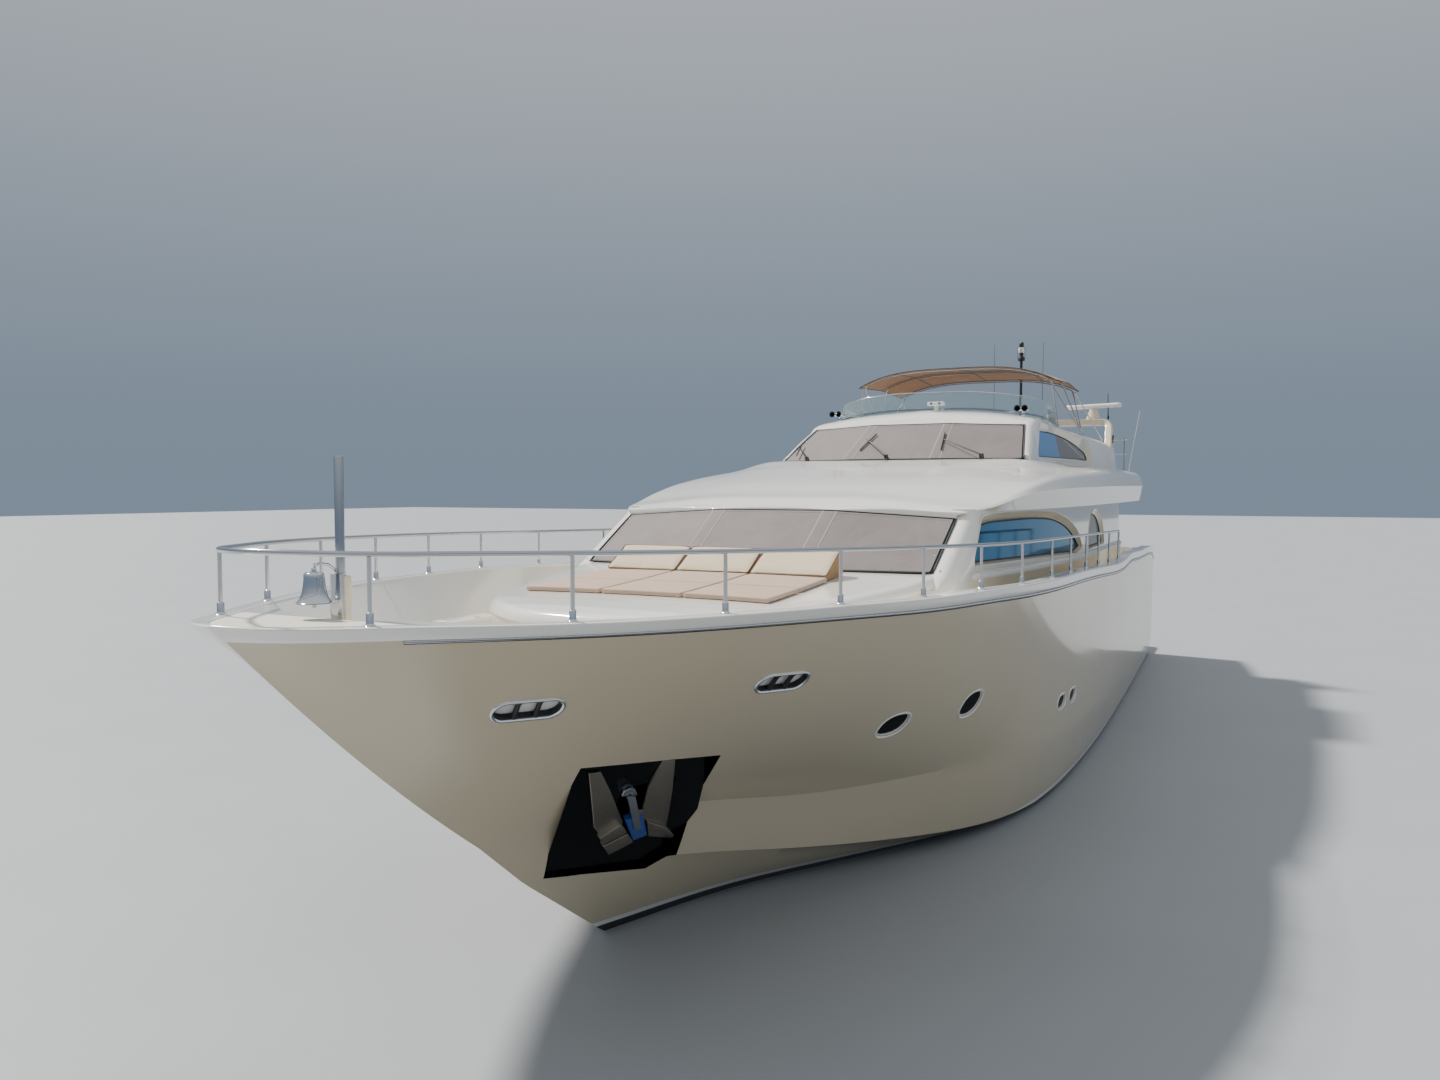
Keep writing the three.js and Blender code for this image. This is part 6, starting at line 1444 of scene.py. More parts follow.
SNAP = [(0.0, 0.0), (0.008, 0.0), (0.008, 0.002), (0.005, 0.0045), (0.0, 0.005)]
for name in SCREENS:
    u, v = np.meshgrid(np.linspace(-1, 1, 91), np.linspace(0, 1, 13), indexing="ij")
    glass = slab(screen_at(name, u, v, 0.0), screen_at(name, u, v, SCREEN_GLASS))
    add(f"{name}_windshield_glass", glass, dark_glass, "glass", f"{name}_windshield", sharp=35)
    across, up = np.linspace(EDGE_IN - 1, 1 - EDGE_IN, 161), np.linspace(EDGE_IN, 1 - EDGE_IN, 41)
    low, high = COVER_LIFT + COVER_THICK, COVER_LIFT + 2.2 * COVER_THICK
    cloth = patch(name, across, up, COVER_LIFT, low)
    cover = add(f"{name}_mesh_cover", cloth, mesh_cloth, "mesh", f"{name}_windshield_cover", sharp=60)
    tapes, bands, snaps = [], [], []
    for hand in (-1, 1):
        for away in (-TAPE_AWAY, TAPE_AWAY):
            middle = hand * MULLION + away
            tapes += patch(name, np.linspace(middle - TAPE_HALF, middle + TAPE_HALF, 3), up, low, high + 0.0008)
        bands += patch(name, np.linspace(hand * MULLION - TAPE_AWAY, hand * MULLION + TAPE_AWAY, 9), up, low, high)
        bands += patch(name, hand * np.linspace(1 - EDGE_IN - 0.014, 1 - EDGE_IN, 3), up, low, high)
    for rows in (np.linspace(EDGE_IN, EDGE_IN + 0.03, 3), np.linspace(1 - EDGE_IN - 0.03, 1 - EDGE_IN, 3)):
        bands += patch(name, across, rows, low, high)
    tape = make(f"{name}_cover_tapes", tapes, tape_cloth, sharp=60)
    hem = make(f"{name}_cover_hems", bands, mesh_cloth, sharp=60)
    spots = [(place_u, 0.03) for place_u in np.linspace(-0.95, 0.95, 13)] + [
        (hand * 0.975, place_v) for hand in (-1, 1) for place_v in (0.3, 0.6, 0.9)]
    for place_u, place_v in spots:
        snaps.append(turned(SNAP, screen_at(name, place_u, place_v, high), axis=(0.5, 0, 0.87), sides=10))
    snap = make(f"{name}_cover_snaps", snaps, steel, sharp=60)
    for piece, slot in ((tape, "mesh"), (hem, "mesh"), (snap, "steel")):
        fit(piece, slot)
    around = np.concatenate([
        screen_at(name, np.linspace(-1, 1, 61), 0.0, SCREEN_GLASS),
        screen_at(name, 1.0, np.linspace(0, 1, 14)[1:-1], SCREEN_GLASS),
        screen_at(name, np.linspace(1, -1, 61), 1.0, SCREEN_GLASS),
        screen_at(name, -1.0, np.linspace(1, 0, 14)[1:-1], SCREEN_GLASS)])
    bead = sweep(around, circle(0.011, 8), ref=(0.87, 0, -0.5), closed=True)
    add(f"{name}_windshield_sealant", [bead], rubber, "black_plastic", sharp=80)

# The white strip between the lower glass and the brow above it
u = np.linspace(-1, 1, 61)
strip_low, strip_high = screen_at("lower", u, 1.0, 0.004), screen_at("lower", u, 1.0, 0.012)
strip_high[:, 2] = np.interp(np.abs(strip_high[:, 1]), [0.70, 1.35, 2.17], [3.712, 3.716, 3.672])
strip_high[:, 0] -= 0.012
strip = np.stack([strip_low, (strip_low + strip_high) / 2 + (0.006, 0, 0), strip_high])
add("lower_windshield_head_strip", slab(strip, strip - (0.05, 0, 0)), white_gelcoat, "white_gelcoat")

# Wipers
# Pantograph arms of black-painted steel on spindles through the brow, each with a rubber blade.
WIPERS = [  # spindle, end of the arm, the blade's two ends
    ((0.16, -0.08, 4.42), (-0.37, -0.56, 4.70), (-0.06, -0.57, 4.53), (-0.56, -0.46, 4.81)),
    ((0.03, 1.37, 4.42), (-0.33, 0.72, 4.67), (-0.06, 0.745, 4.52), (-0.57, 0.67, 4.81)),
    ((-0.06, -1.50, 4.41), (-0.42, -1.74, 4.565), (-0.18, -1.72, 4.46), (-0.62, -1.79, 4.68)),
]
black_paint = speckled("satin_black_painted_steel", 40.0, 3.0, "#141416", "#26272a", Roughness=0.42, IOR=1.5)
off_screen = np.array([0.5, 0, 0.87])
WIPER_LIFTS = (0.02, 0.06, 0.03, 0.03)  # how far each of a wiper's places stands off the glass
shells = []
SPINDLE = [(0, -0.05), (0.02, -0.05), (0.018, 0.03), (0.012, 0.045), (0, 0.045)]  # radius, height off the brow
for spindle, end, blade_a, blade_b in WIPERS:
    spindle, end, blade_a, blade_b = (
        np.array(p) + off_screen * lift for p, lift in zip((spindle, end, blade_a, blade_b), WIPER_LIFTS))
    beside = np.array([0.03, 0.045, 0])
    for shift, size in ((0 * beside, 0.009), (beside, 0.006)):
        shells.append(bar(spindle + shift + off_screen * 0.03, end, circle(size, 6)))
        shells.append(turned(SPINDLE, spindle + shift, off_screen, 12))
    shells.append(bar(blade_a, blade_b, circle(0.008, 6)))
    shells.append(bar(blade_a + off_screen * 0.018, blade_b + off_screen * 0.018, circle(0.004, 6)))
    shells.append(bar((blade_a + blade_b) / 2, end, circle(0.006, 6)))
add("windshield_wipers", shells, black_paint, "black_plastic", sharp=60)

# Horns and searchlight
# Two pairs of chromed brass trumpets and a remote searchlight, each bolted through the brow.
HORN_Z, HORN_MOUTH_X, HORN_BASE_X, HORN_Y = 5.27, -1.70, -1.93, 1.62
SEARCH_PLACE, LAMP_HEIGHT = (-1.7, 0.21, 5.27), 0.118
TRUMPET = [(0.0, -0.30), (0.02, -0.30), (0.024, -0.27), (0.013, -0.25), (0.013, -0.16), (0.02, -0.09), (0.032, -0.035),
           (0.05, 0.0), (0.052, 0.003), (0.047, 0.0), (0.028, -0.045), (0.012, -0.12), (0.0, -0.13)]
for label, hand in SIDES:
    shells = []
    for shift in (-0.06, 0.06):
        mouth = (HORN_MOUTH_X, hand * HORN_Y + shift, HORN_Z)
        shells += [turned(TRUMPET[:9], mouth, (1, 0, 0)), turned(TRUMPET[8:], mouth, (1, 0, 0), slot=1)]
    shells += block((0.03, 0.085, 0.03), 0.012, 0.05, (HORN_BASE_X, hand * HORN_Y, HORN_Z))
    shells += block((0.03, 0.03, 0.06), 0.01, 0.05, (HORN_BASE_X, hand * HORN_Y, HORN_Z - 0.075))
    horns = make(f"air_horns_{label}", shells, chrome, rubber, sharp=50)
    fit(horns, "steel", f"horns_{label}")
POD = [(0, -0.04), (0.07, -0.04), (0.07, -0.005), (0.062, 0.0), (0.045, 0.012), (0.036, 0.05), (0.034, 0.10), (0, 0.10)]
lamp_place = np.array(SEARCH_PLACE) + (0.015, 0, LAMP_HEIGHT)
shells = [turned(POD, SEARCH_PLACE)]
shells += block((0.06, 0.145, 0.032), 0.022, 0.03, lamp_place)
for shift in (-0.07, 0.07):
    bezel = [(0, 0.0), (0.024, 0.0), (0.026, 0.006), (0.0, 0.008)]
    shells.append(turned(bezel, lamp_place + (0.059, shift, 0), (1, 0, 0), slot=1))
searchlight = make("searchlight_head", shells, white_gelcoat, chrome, sharp=50)
fit(searchlight, "white_gelcoat", "searchlight")

# Flybridge screen and helm
# A bent band of clear acrylic, screwed to the coaming along its foot and capped with steel tube, in front of a moulded
# helm console with a spoked wheel.
SCREEN_PATH = [  # from the port quarter round to the front
    (-3.5, 1.90, 5.065), (-2.3, 1.83, 5.15), (-1.98, 1.30, 5.235), (-1.89, 0.65, 5.29)]
SCREEN_HIGH, SCREEN_THICK = 0.325, 0.008
FLY_FLOOR = 4.3905


def oblong(low, high):
    """Four corners of a rectangle, from its lowest one round."""
    return [(low[0], low[1]), (high[0], low[1]), (high[0], high[1]), (low[0], high[1])]


clear_acrylic, *_ = finish_of(
    "clear_cast_acrylic", Base_Color=linear("#dfeeee"), Roughness=0.02, IOR=1.49, Transmission_Weight=0.92)
half_path = np.array(SCREEN_PATH)
whole_path = bent(np.concatenate([half_path, half_path[::-1] * (1, -1, 1)]), (0.5, 0.35, 0.35, 0.35, 0.35, 0.5), 9)
screen_face = np.stack([
    whole_path + (-0.09 * share, 0, 0) + whole_path * (0, -0.033 * share, 0)
    + (0, 0, -0.03 + share * (SCREEN_HIGH + 0.03)) for share in np.linspace(0, 1, 9)], 1)
inward_x = np.array([-SCREEN_THICK, 0, 0])
add(
    "flybridge_wind_screen", slab(screen_face, screen_face + inward_x + screen_face * (0, -0.003, 0)), clear_acrylic,
    "clear", "wind_screen", sharp=40)
top_run, foot_run = screen_face[:, -1], screen_face[:, 1] + (0.004, 0, 0.012)
shells = [sweep(top_run + (-0.004, 0, 0), circle(0.009, 10)),
          sweep(foot_run + foot_run * (0, 0.003, 0), oblong((-0.004, -0.02), (0.004, 0.01)))]
add("wind_screen_trim", shells, steel, "steel")
shells = []
for k in np.linspace(2, len(foot_run) - 3, 24).astype(int):
    hand = np.sign(foot_run[k, 1])
    stud = [(0, 0), (0.009, 0), (0.007, 0.006), (0, 0.007)]
    shells.append(turned(stud, foot_run[k] + (0.006, 0.004 * hand, 0.004), (1, 0.6 * hand, 0), 10))
add("wind_screen_studs", shells, rubber, "black_plastic")


def moulded(outline, low, high, axis, radius, edge=0.015):
    """An outline given a thickness along y (axis 1) or z (axis 2), its corners rounded and both its rims eased: the
    rings stand at low, low + edge, high - edge and high, the outer ones drawn in by the edge."""
    loop = rounded(outline, radius, 5)
    way = loop - loop.mean(0)
    tight = loop - way / np.linalg.norm(way, axis=1, keepdims=True) * edge
    mild = loop + 0.3 * (tight - loop)
    levels = ((tight, low), (mild, low + 0.3 * edge), (loop, low + edge),
              (loop, high - edge), (mild, high - 0.3 * edge), (tight, high))
    return shell([np.insert(flat_loop, axis, level, axis=1) for flat_loop, level in levels], wrap=True, ends=True)


def wheel(place, tilt, radius):
    """A steering wheel: a ring, three spokes and a boss, turned to face aft and up."""
    axis = np.array([-math.cos(tilt), 0, math.sin(tilt)])
    side = np.array([0, 1.0, 0])
    other = np.cross(axis, side)
    turn = np.linspace(0, 2 * np.pi, 49)[:-1, None]
    ring = np.asarray(place) + radius * (np.cos(turn) * side + np.sin(turn) * other)
    boss = [(0, -0.10), (0.02, -0.10), (0.028, -0.01), (0.04, 0.0), (0.036, 0.018), (0, 0.022)]
    parts = [sweep(ring, circle(0.014, 10), ref=axis, closed=True), turned(boss, place, axis, 20)]
    for angle in (np.pi / 2, np.pi * 7 / 6, np.pi * 11 / 6):
        rim_point = np.asarray(place) + radius * (math.cos(angle) * side + math.sin(angle) * other)
        parts.append(bar(place, rim_point, circle(0.009, 8), ref=axis))
    return parts


console = moulded(
    [(-2.915, FLY_FLOOR), (-3.45, FLY_FLOOR), (-3.45, 5.0), (-3.25, 5.18), (-2.915, 5.24)], -1.1, 0.3, 1, 0.04)
add("flybridge_console_moulding", [console], white_gelcoat, "white_gelcoat", "flybridge_console", sharp=40)
dash = [(-3.445, 5.008), (-3.255, 5.178), (-3.245, 5.190), (-3.262, 5.190), (-3.455, 5.016)]
gauge = [(0, 0.0), (0.052, 0.0), (0.052, 0.010), (0.044, 0.012), (0.042, 0.006), (0, 0.006)]
gauges = [moulded(dash, -0.98, 0.18, 1, 0.004, 0.003)]
gauges += [
    turned(gauge, (-3.352, y, 5.100), (-0.665, 0, 0.745), 24, slot=1) for y in (-0.88, -0.72, -0.30, -0.14, 0.02)]
fit(make("flybridge_dash", gauges, black_paint, chrome, sharp=40), "black_plastic")
add("flybridge_wheel", wheel((-3.53, -0.58, 5.03), 0.75, 0.19), steel, "steel")

# Seats
# White glass-fibre bases with foam cushions sewn into beige canvas, each edged with piping and held down by snaps.
SEAT_TOP, SEAT_CUSHION_LOW, SEAT_CUSHION_TOP = 4.72, 4.722, 4.83


def cushion(name, low, high, radius=0.035):
    """A cushion between two corners, and its piping: crowned by the product of two parabolas, its sides drawn in
    between the corners."""
    low, high = np.array(low, float), np.array(high, float)
    half_sizes, middle = (high - low) / 2 - 0.004, (low + high) / 2
    thin = int(np.argmin(half_sizes))
    a, b = [k for k in range(3) if k != thin]

    def plump(points):
        """The crown on the thin axis, and the sides' draw."""
        share = points / half_sizes
        out = points.copy()
        out[:, thin] *= 0.80 + 0.16 * (1 - share[:, a] ** 2) * (1 - share[:, b] ** 2)
        out[:, a] *= 1 - 0.012 * (1 - share[:, b] ** 2)
        out[:, b] *= 1 - 0.012 * (1 - share[:, a] ** 2)
        return out + middle
    piece = make(
        name, moved(soft_box(half_sizes, min(radius, half_sizes[thin] * 0.7), 0.035), plump), beige_canvas, sharp=70)
    u, v = half_sizes[a] * 0.985, half_sizes[b] * 0.985
    flat_loop = rounded([(u, v), (-u, v), (-u, -v), (u, -v)], 0.03, 5)
    loop = np.zeros((len(flat_loop), 3))
    loop[:, a], loop[:, b] = flat_loop.T
    ref = np.zeros(3)
    ref[thin] = 1
    cords = []
    for end in (-1, 1):
        edge_loop = loop.copy()
        edge_loop[:, thin] = end * half_sizes[thin] * 0.62
        cords.append(sweep(edge_loop + middle, circle(0.005, 7), ref=ref, closed=True))
    return piece, cords


def seat_group(node_name, base_boxes, cushion_boxes):
    """Bases as one moulding that stands for the solid, with the cushions and their piping."""
    shells = []
    for low, high in base_boxes:
        low, high = np.array(low, float), np.array(high, float)
        shells += block((high - low) / 2, 0.02, 0.08, (low + high) / 2)
    base = make(f"{node_name}_base", shells, white_gelcoat, sharp=50)
    cushions, cords = [], []
    for number, (low, high) in enumerate(cushion_boxes):
        piece, edges_here = cushion(f"{node_name}_cushion_{number + 1}", low, high)
        cushions.append(piece)
        cords += edges_here
    piping = make(f"{node_name}_piping", cords, piping_cloth, sharp=80)
    inflate(cushions, CUSHION_SWELL)
    fit(base, "white_gelcoat", node_name)
    fit(piping, "beige_cloth")
    for piece in cushions:
        fit(piece, "beige_cloth", node_name)


helm_seats, helm_width = (-1.045, -0.57), 0.465
seat_group(
    "flybridge_helm_seat",
    [((-4.49, -1.04, FLY_FLOOR), (-3.97, -0.11, SEAT_TOP)), ((-4.495, -1.04, 4.6), (-4.47, -0.11, 5.22))],
    [((-4.38, y, SEAT_CUSHION_LOW), (-3.955, y + helm_width, SEAT_CUSHION_TOP)) for y in helm_seats]
    + [((-4.468, y, 4.835), (-4.385, y + helm_width, 5.298)) for y in helm_seats])
long_seats, long_width, back_low, back_high = np.linspace(-7.3, -5.4, 4)[:-1], 0.625, 4.84, 5.118
cushions = [((x, 1.155, SEAT_CUSHION_LOW), (x + long_width, 1.62, SEAT_CUSHION_TOP)) for x in long_seats]
cushions += [((x, 1.625, back_low), (x + long_width, 1.698, back_high)) for x in long_seats]
for y, wide in ((0.305, 0.68), (0.995, 0.62)):
    cushions.append(((-7.78, y, SEAT_CUSHION_LOW), (-7.31, y + wide, SEAT_CUSHION_TOP)))
for y, wide in ((0.305, 0.68), (0.995, 0.70)):
    cushions.append(((-7.855, y, back_low), (-7.785, y + wide, back_high)))
seat_group(
    "flybridge_settee",
    [((-7.3, 1.16, FLY_FLOOR), (-5.41, 1.73, SEAT_TOP)), ((-7.89, 0.31, FLY_FLOOR), (-7.3, 1.73, SEAT_TOP)),
     ((-7.3, 1.70, 4.6), (-5.41, 1.738, 5.05)), ((-7.898, 0.31, 4.6), (-7.86, 1.73, 5.05))],
    cushions)

# Tables and decks of teak
# Solid teak laid in narrow planks with black caulked seams, oiled and a little silvered.
PLANK, SEAM = 0.055, 0.10  # drawn a little wider than the real 45 mm; share of a plank that is seam
teak, tree, shader = finish_of("oiled_teak_planks", Roughness=0.55, IOR=1.5)
place = tree_coordinates(tree)
split = node(tree, "ShaderNodeSeparateXYZ", {"Vector": place}).outputs
along_plank = node(tree, "ShaderNodeMath", {0: split["Y"], 1: PLANK}, operation="DIVIDE")
wide = node(tree, "ShaderNodeMath", {0: along_plank.outputs["Value"]}, operation="FRACT")
seam = node(tree, "ShaderNodeMath", {0: wide.outputs["Value"], 1: SEAM}, operation="LESS_THAN")
number = node(tree, "ShaderNodeMath", {0: along_plank.outputs["Value"]}, operation="FLOOR")
shade_of = node(tree, "ShaderNodeTexWhiteNoise", {"W": number.outputs["Value"]}, noise_dimensions="1D")
stretch = node(tree, "ShaderNodeMapping", {"Vector": place, "Scale": (3.0, 60.0, 60.0)})
grain = node(
    tree, "ShaderNodeTexNoise", {"Vector": stretch.outputs["Vector"], "Scale": 1.0, "Detail": 6.0, "Distortion": 0.6})
mixed = node(tree, "ShaderNodeMath", {0: grain.outputs["Fac"], 1: 0.7}, operation="MULTIPLY")
mixed = node(
    tree, "ShaderNodeMath", {0: shade_of.outputs["Value"], 1: 0.3, 2: mixed.outputs["Value"]}, operation="MULTIPLY_ADD")
wood = blend(tree, mixed.outputs["Value"], "#a87f4f", "#7a5430")
bump = node(tree, "ShaderNodeBump", {"Height": mixed.outputs["Value"], "Strength": 0.3, "Distance": 0.001})
tree.links.new(blend(tree, seam.outputs["Value"], wood, "#1b1a18"), shader.inputs["Base Color"])
tree.links.new(bump.outputs["Normal"], shader.inputs["Normal"])


def pedestal_table(name, x, y, post, foot_z, top_z):
    """A teak top with rounded corners on a turned steel post."""
    top = moulded(oblong((x[0], y[0]), (x[1], y[1])), top_z - 0.04, top_z, 2, 0.08, 0.01)
    add(f"{name}_top", [top], teak, "teak", name, sharp=40)
    high = top_z - foot_z
    profile = [(0, 0), (0.13, 0), (0.13, 0.008), (0.05, 0.03), (0.045, 0.05), (0.045, high - 0.05),
               (0.10, high - 0.045), (0.10, high - 0.039), (0, high - 0.039)]
    leg = turned(profile, (post[0], post[1], foot_z), sides=28)
    add(f"{name}_post", [leg], steel, "steel")


pedestal_table("flybridge_table", (-6.9, -5.7), (0.3, 1.0), (-6.3, 0.65), FLY_FLOOR, 5.03)
well = np.array(FLY_WELL)
sole_outline = np.array([(x, -y + 0.01) for x, y in well] + [(x, y - 0.01) for x, y in well[::-1]])
sole_outline[:, 0] = np.clip(sole_outline[:, 0], -8.39, -2.86)


def planked(name, outline, z, thick=0.006):
    """A flat planked deck of an outline."""
    outline = np.asarray(outline, float)
    rings = np.array([np.insert(outline, 2, level, axis=1) for level in (z, z + thick)])
    return make(name, [shell(rings, wrap=True, ends=True)], teak, sharp=40)


floor_piece = planked("flybridge_sole_planks", sole_outline, 4.391)
x0, x1, y0, y1 = HATCHES[1]
hatch = np.insert(np.array(oblong((x0 - 0.02, y0 - 0.02), (x1 + 0.02, y1 + 0.02))), 2, 4.3, axis=1)
carve(floor_piece, make("tool_sole_hatch", [shell([hatch, hatch + (0, 0, 0.3)], wrap=True, ends=True)]))
fit(floor_piece, "teak")

# Canopy
# Golden-brown acrylic canvas stretched over three stainless hoops, hemmed at its ends, with webbing pockets along it.
HOOPS, CANOPY_HALF, CANOPY_EDGE, CANOPY_CROWN = (-3.62, -4.975, -6.33), 1.86, 5.96, 6.26
CANOPY_FRONT, CANOPY_BACK, CANOPY_SAG = -3.6, -6.35, 0.012


def canopy_at(x, s, drop=0.0):
    """The canopy's arc at a place x: across it the half breadth times s, its height the edge plus the rise times
    1 - |s| to the power 3.4, less a parabola of 60 mm towards both ends and a slack of half waves between hoops."""
    x, s = np.broadcast_arrays(np.asarray(x, float), np.asarray(s, float))
    span = (x - CANOPY_BACK) / (HOOPS[0] - HOOPS[1])
    z = CANOPY_EDGE + (CANOPY_CROWN - CANOPY_EDGE) * (1 - np.abs(s) ** 3.4)
    z = z - 0.06 * ((x - (CANOPY_FRONT + CANOPY_BACK) / 2) / 1.375) ** 2 - CANOPY_SAG * np.sin(np.pi * span) ** 2
    return np.stack([x, s * (CANOPY_HALF - drop * 0.5), z - drop], -1)


across_s = np.sin(np.linspace(-np.pi / 2, np.pi / 2, 81)) * 0.5 + np.linspace(-0.5, 0.5, 81)
run_x = np.linspace(CANOPY_FRONT, CANOPY_BACK, 61)
x_grid, s_grid = np.meshgrid(run_x, across_s, indexing="ij")
upper_face, lower_face = canopy_at(x_grid, s_grid), canopy_at(x_grid, s_grid, 0.0035)
canopy_cloth = canvas_cloth("woven_golden_brown_awning_canvas", "#7a562a", "#6b4922", 0.004)
# The underside takes a lighter, more orange copy of the brown canvas: painted light of the sun glowing through it
underside_painted_glow_cloth = canvas_cloth("awning_underside_painted_sun_glow", "#b07c3e", "#a06e34", 0.004)
canopy = make(
    "canopy_sheet", [shell(upper_face), shell(lower_face, slot=1)] + slab(upper_face, lower_face)[2:], canopy_cloth,
    underside_painted_glow_cloth, sharp=60)
fit(canopy, "canvas", "bimini_canopy")
band = np.linspace(0, 1, 5)[:, None]
webs = []
for x in (CANOPY_FRONT - 0.03, HOOPS[1], CANOPY_BACK + 0.03):
    strip_top = canopy_at(x + 0.03 - 0.06 * band, across_s[None], 0.004)
    webs += slab(strip_top, strip_top - (0, 0, 0.002))
for s in (-0.62, 0.0, 0.62):
    strip_top = canopy_at(
        np.linspace(CANOPY_FRONT - 0.02, CANOPY_BACK + 0.02, 41)[None], s + (band - 0.5) * 0.02, 0.004)
    webs += slab(strip_top, strip_top - (0, 0, 0.002))
rolled = [
    sweep(canopy_at(x, across_s, 0.006), circle(0.006, 8), ref=(1, 0, 0))
    for x in (CANOPY_FRONT - 0.006, CANOPY_BACK + 0.006)]
rolled += [sweep(canopy_at(run_x[1:-1], s, 0.006), circle(0.006, 8)) for s in (-0.997, 0.997)]
dark_web = canvas_cloth("woven_dark_brown_webbing", "#4b3826", "#3c2c1d", 0.003)
hem = add("canopy_hems_and_pockets", webs + rolled, dark_web, "canvas", sharp=60)
feet_x, tube_radius = (-3.7, -5.6, -7.6), 0.013
_, coaming_half, coaming_z, _ = bridge_rows(np.array(feet_x))
feet = np.stack([feet_x, coaming_half - 0.07, coaming_z], -1)
FOOT = [(0, 0), (0.04, 0), (0.04, 0.008), (0.026, 0.014), (0.022, 0.03), (0.022, 0.10), (0.014, 0.105), (0, 0.105)]
shells, frame_feet = [], []
for x in HOOPS:
    arc = canopy_at(x, across_s[3:-3] * 0.982, 0.040)
    ends = feet[1] + (0, 0, 0.04)
    hoop = np.concatenate([[ends * (1, -1, 1)], arc, [ends]])
    steps = way_along(hoop)
    hoop = at_places(np.unique(np.concatenate([steps, np.linspace(0, steps[-1], 90)])), steps, hoop)
    smooth = hoop.copy()
    for _ in range(6):
        smooth[1:-1] = smooth[1:-1] * 0.5 + (smooth[:-2] + smooth[2:]) * 0.25
    shells.append(sweep(smooth, circle(tube_radius, 10), ref=(1, 0.01, 0.02)))
for hand in (1, -1):
    heads = [canopy_at(x, hand * 0.97, 0.05) for x in HOOPS]
    low_ends = [place * (1, hand, 1) + (0, 0, lift) for place, lift in zip(feet, (0.03, 0.04, 0.03))]
    for k in (0, 2):
        shells.append(bar(low_ends[k], heads[k], circle(tube_radius, 10)))
    brace = low_ends[0] * 0.45 + heads[0] * 0.55, low_ends[1] * 0.7 + heads[1] * 0.3
    shells.append(bar(*brace, circle(0.009, 8)))
    frame_feet += [turned(FOOT, place * (1, hand, 1) - (0, 0, 0.035), sides=16) for place in feet]
add("canopy_frame", shells, steel, "steel", "bimini_frame")
add("canopy_frame_feet", frame_feet, chrome, "steel")

# Radar arch
# One ivory glass-fibre moulding across the aft end of the flybridge, glassed to the coaming, with a turning radar
# scanner, a light mast and whip aerials bolted to it.
ARCH_FOOT, ARCH_TOP = 4.80, 5.405
ARCH_PATH = [(2.225, ARCH_FOOT), (2.175, ARCH_TOP), (-2.175, ARCH_TOP), (-2.225, ARCH_FOOT)]  # y, z
turns = bent(ARCH_PATH, 0.16, 9)
line_yz = np.concatenate([
    np.linspace(turns[0], turns[1], 8)[:-1], turns[1:10], np.linspace(turns[9], turns[10], 12)[1:-1], turns[10:-1],
    np.linspace(turns[-2], turns[-1], 8)[1:]])
lean_z = np.clip((line_yz[:, 1] - ARCH_FOOT) / 0.6, 0, 1)
arch_x, arch_half = -8.24 - 0.41 * lean_z, 0.31 - 0.10 * lean_z
tangent = np.gradient(line_yz, axis=0)
tangent /= np.linalg.norm(tangent, axis=1, keepdims=True)
out_yz = np.stack([-tangent[:, 1], tangent[:, 0]], -1)
profile = rounded([(1, 0.065), (-1, 0.065), (-1, -0.065), (1, -0.065)], 0.045, 6)
arch_rings = np.stack([
    arch_x[:, None] + profile[None, :, 0] * arch_half[:, None],
    line_yz[:, :1] + profile[None, :, 1] * out_yz[:, :1], line_yz[:, 1:] + profile[None, :, 1] * out_yz[:, 1:]], -1)
RADAR_PLACE, RADAR_TURN, SCANNER_LOW = (-8.64, 1.83), math.radians(-22), 5.716
RADAR_BASE = [(0, -0.03), (0.145, -0.03), (0.15, 0.01), (0.138, 0.05), (0.11, 0.12), (0.085, 0.19), (0.082, 0.228),
              (0.04, 0.230), (0, 0.230)]
shells = [shell(arch_rings, wrap=True, ends=True), turned(RADAR_BASE, RADAR_PLACE + (5.48,), sides=36)]
add("radar_arch_moulding", shells, cream_gelcoat, "cream_gelcoat", "radar_arch", sharp=40)


def swung(points):
    """Turned about the scanner's pin to the angle at which it stands still."""
    c, s = math.cos(RADAR_TURN), math.sin(RADAR_TURN)
    x, y = points[:, 0], points[:, 1]
    return np.stack(
        [c * x - s * y + RADAR_PLACE[0], s * x + c * y + RADAR_PLACE[1], points[:, 2] + SCANNER_LOW + 0.047], -1)


scanner = moved(soft_box((0.07, 0.64, 0.047), 0.034, 0.05), swung)
add("radar_scanner_bar", scanner, white_gelcoat, "white_gelcoat", "radar_scanner", body="radar_scanner")
MAST = (-8.64, 0.25)
lamp = [(0, 1.37), (0.03, 1.37), (0.075, 1.375), (0.075, 1.44), (0.045, 1.475), (0.045, 1.56)]
lantern = [(0.045, 1.56), (0.062, 1.565), (0.070, 1.60), (0.070, 1.64), (0.062, 1.675), (0.045, 1.68)]
crown_part = [(0.045, 1.68), (0.05, 1.69), (0.05, 1.78), (0.03, 1.80), (0, 1.80)]
mast_foot = MAST + (5.47,)
pole = [(0, 0.005), (0.07, 0.005), (0.07, 0.015), (0.034, 0.04), (0.030, 0.06), (0.030, 1.39), (0, 1.39)]
shells = [
    turned(pole, mast_foot, sides=20), turned(lamp + [(0, 1.56)], mast_foot, sides=24),
    turned([(0, 1.56)] + lantern + [(0, 1.68)], mast_foot, sides=24, slot=1),
    turned([(0, 1.68)] + crown_part, mast_foot, sides=24)]
for turn in np.linspace(0, 2 * np.pi, 5)[:-1]:
    low, high = (
        np.array(mast_foot) + (out * math.cos(turn), out * math.sin(turn), up)
        for out, up in ((0.08, 1.42), (0.075, 1.70)))
    shells.append(bar(low, high, circle(0.004, 6), ref=(1, 0.3, 0)))
fit(make("masthead_light", shells, black_paint, white_gelcoat, sharp=45), "black_plastic", "light_mast")
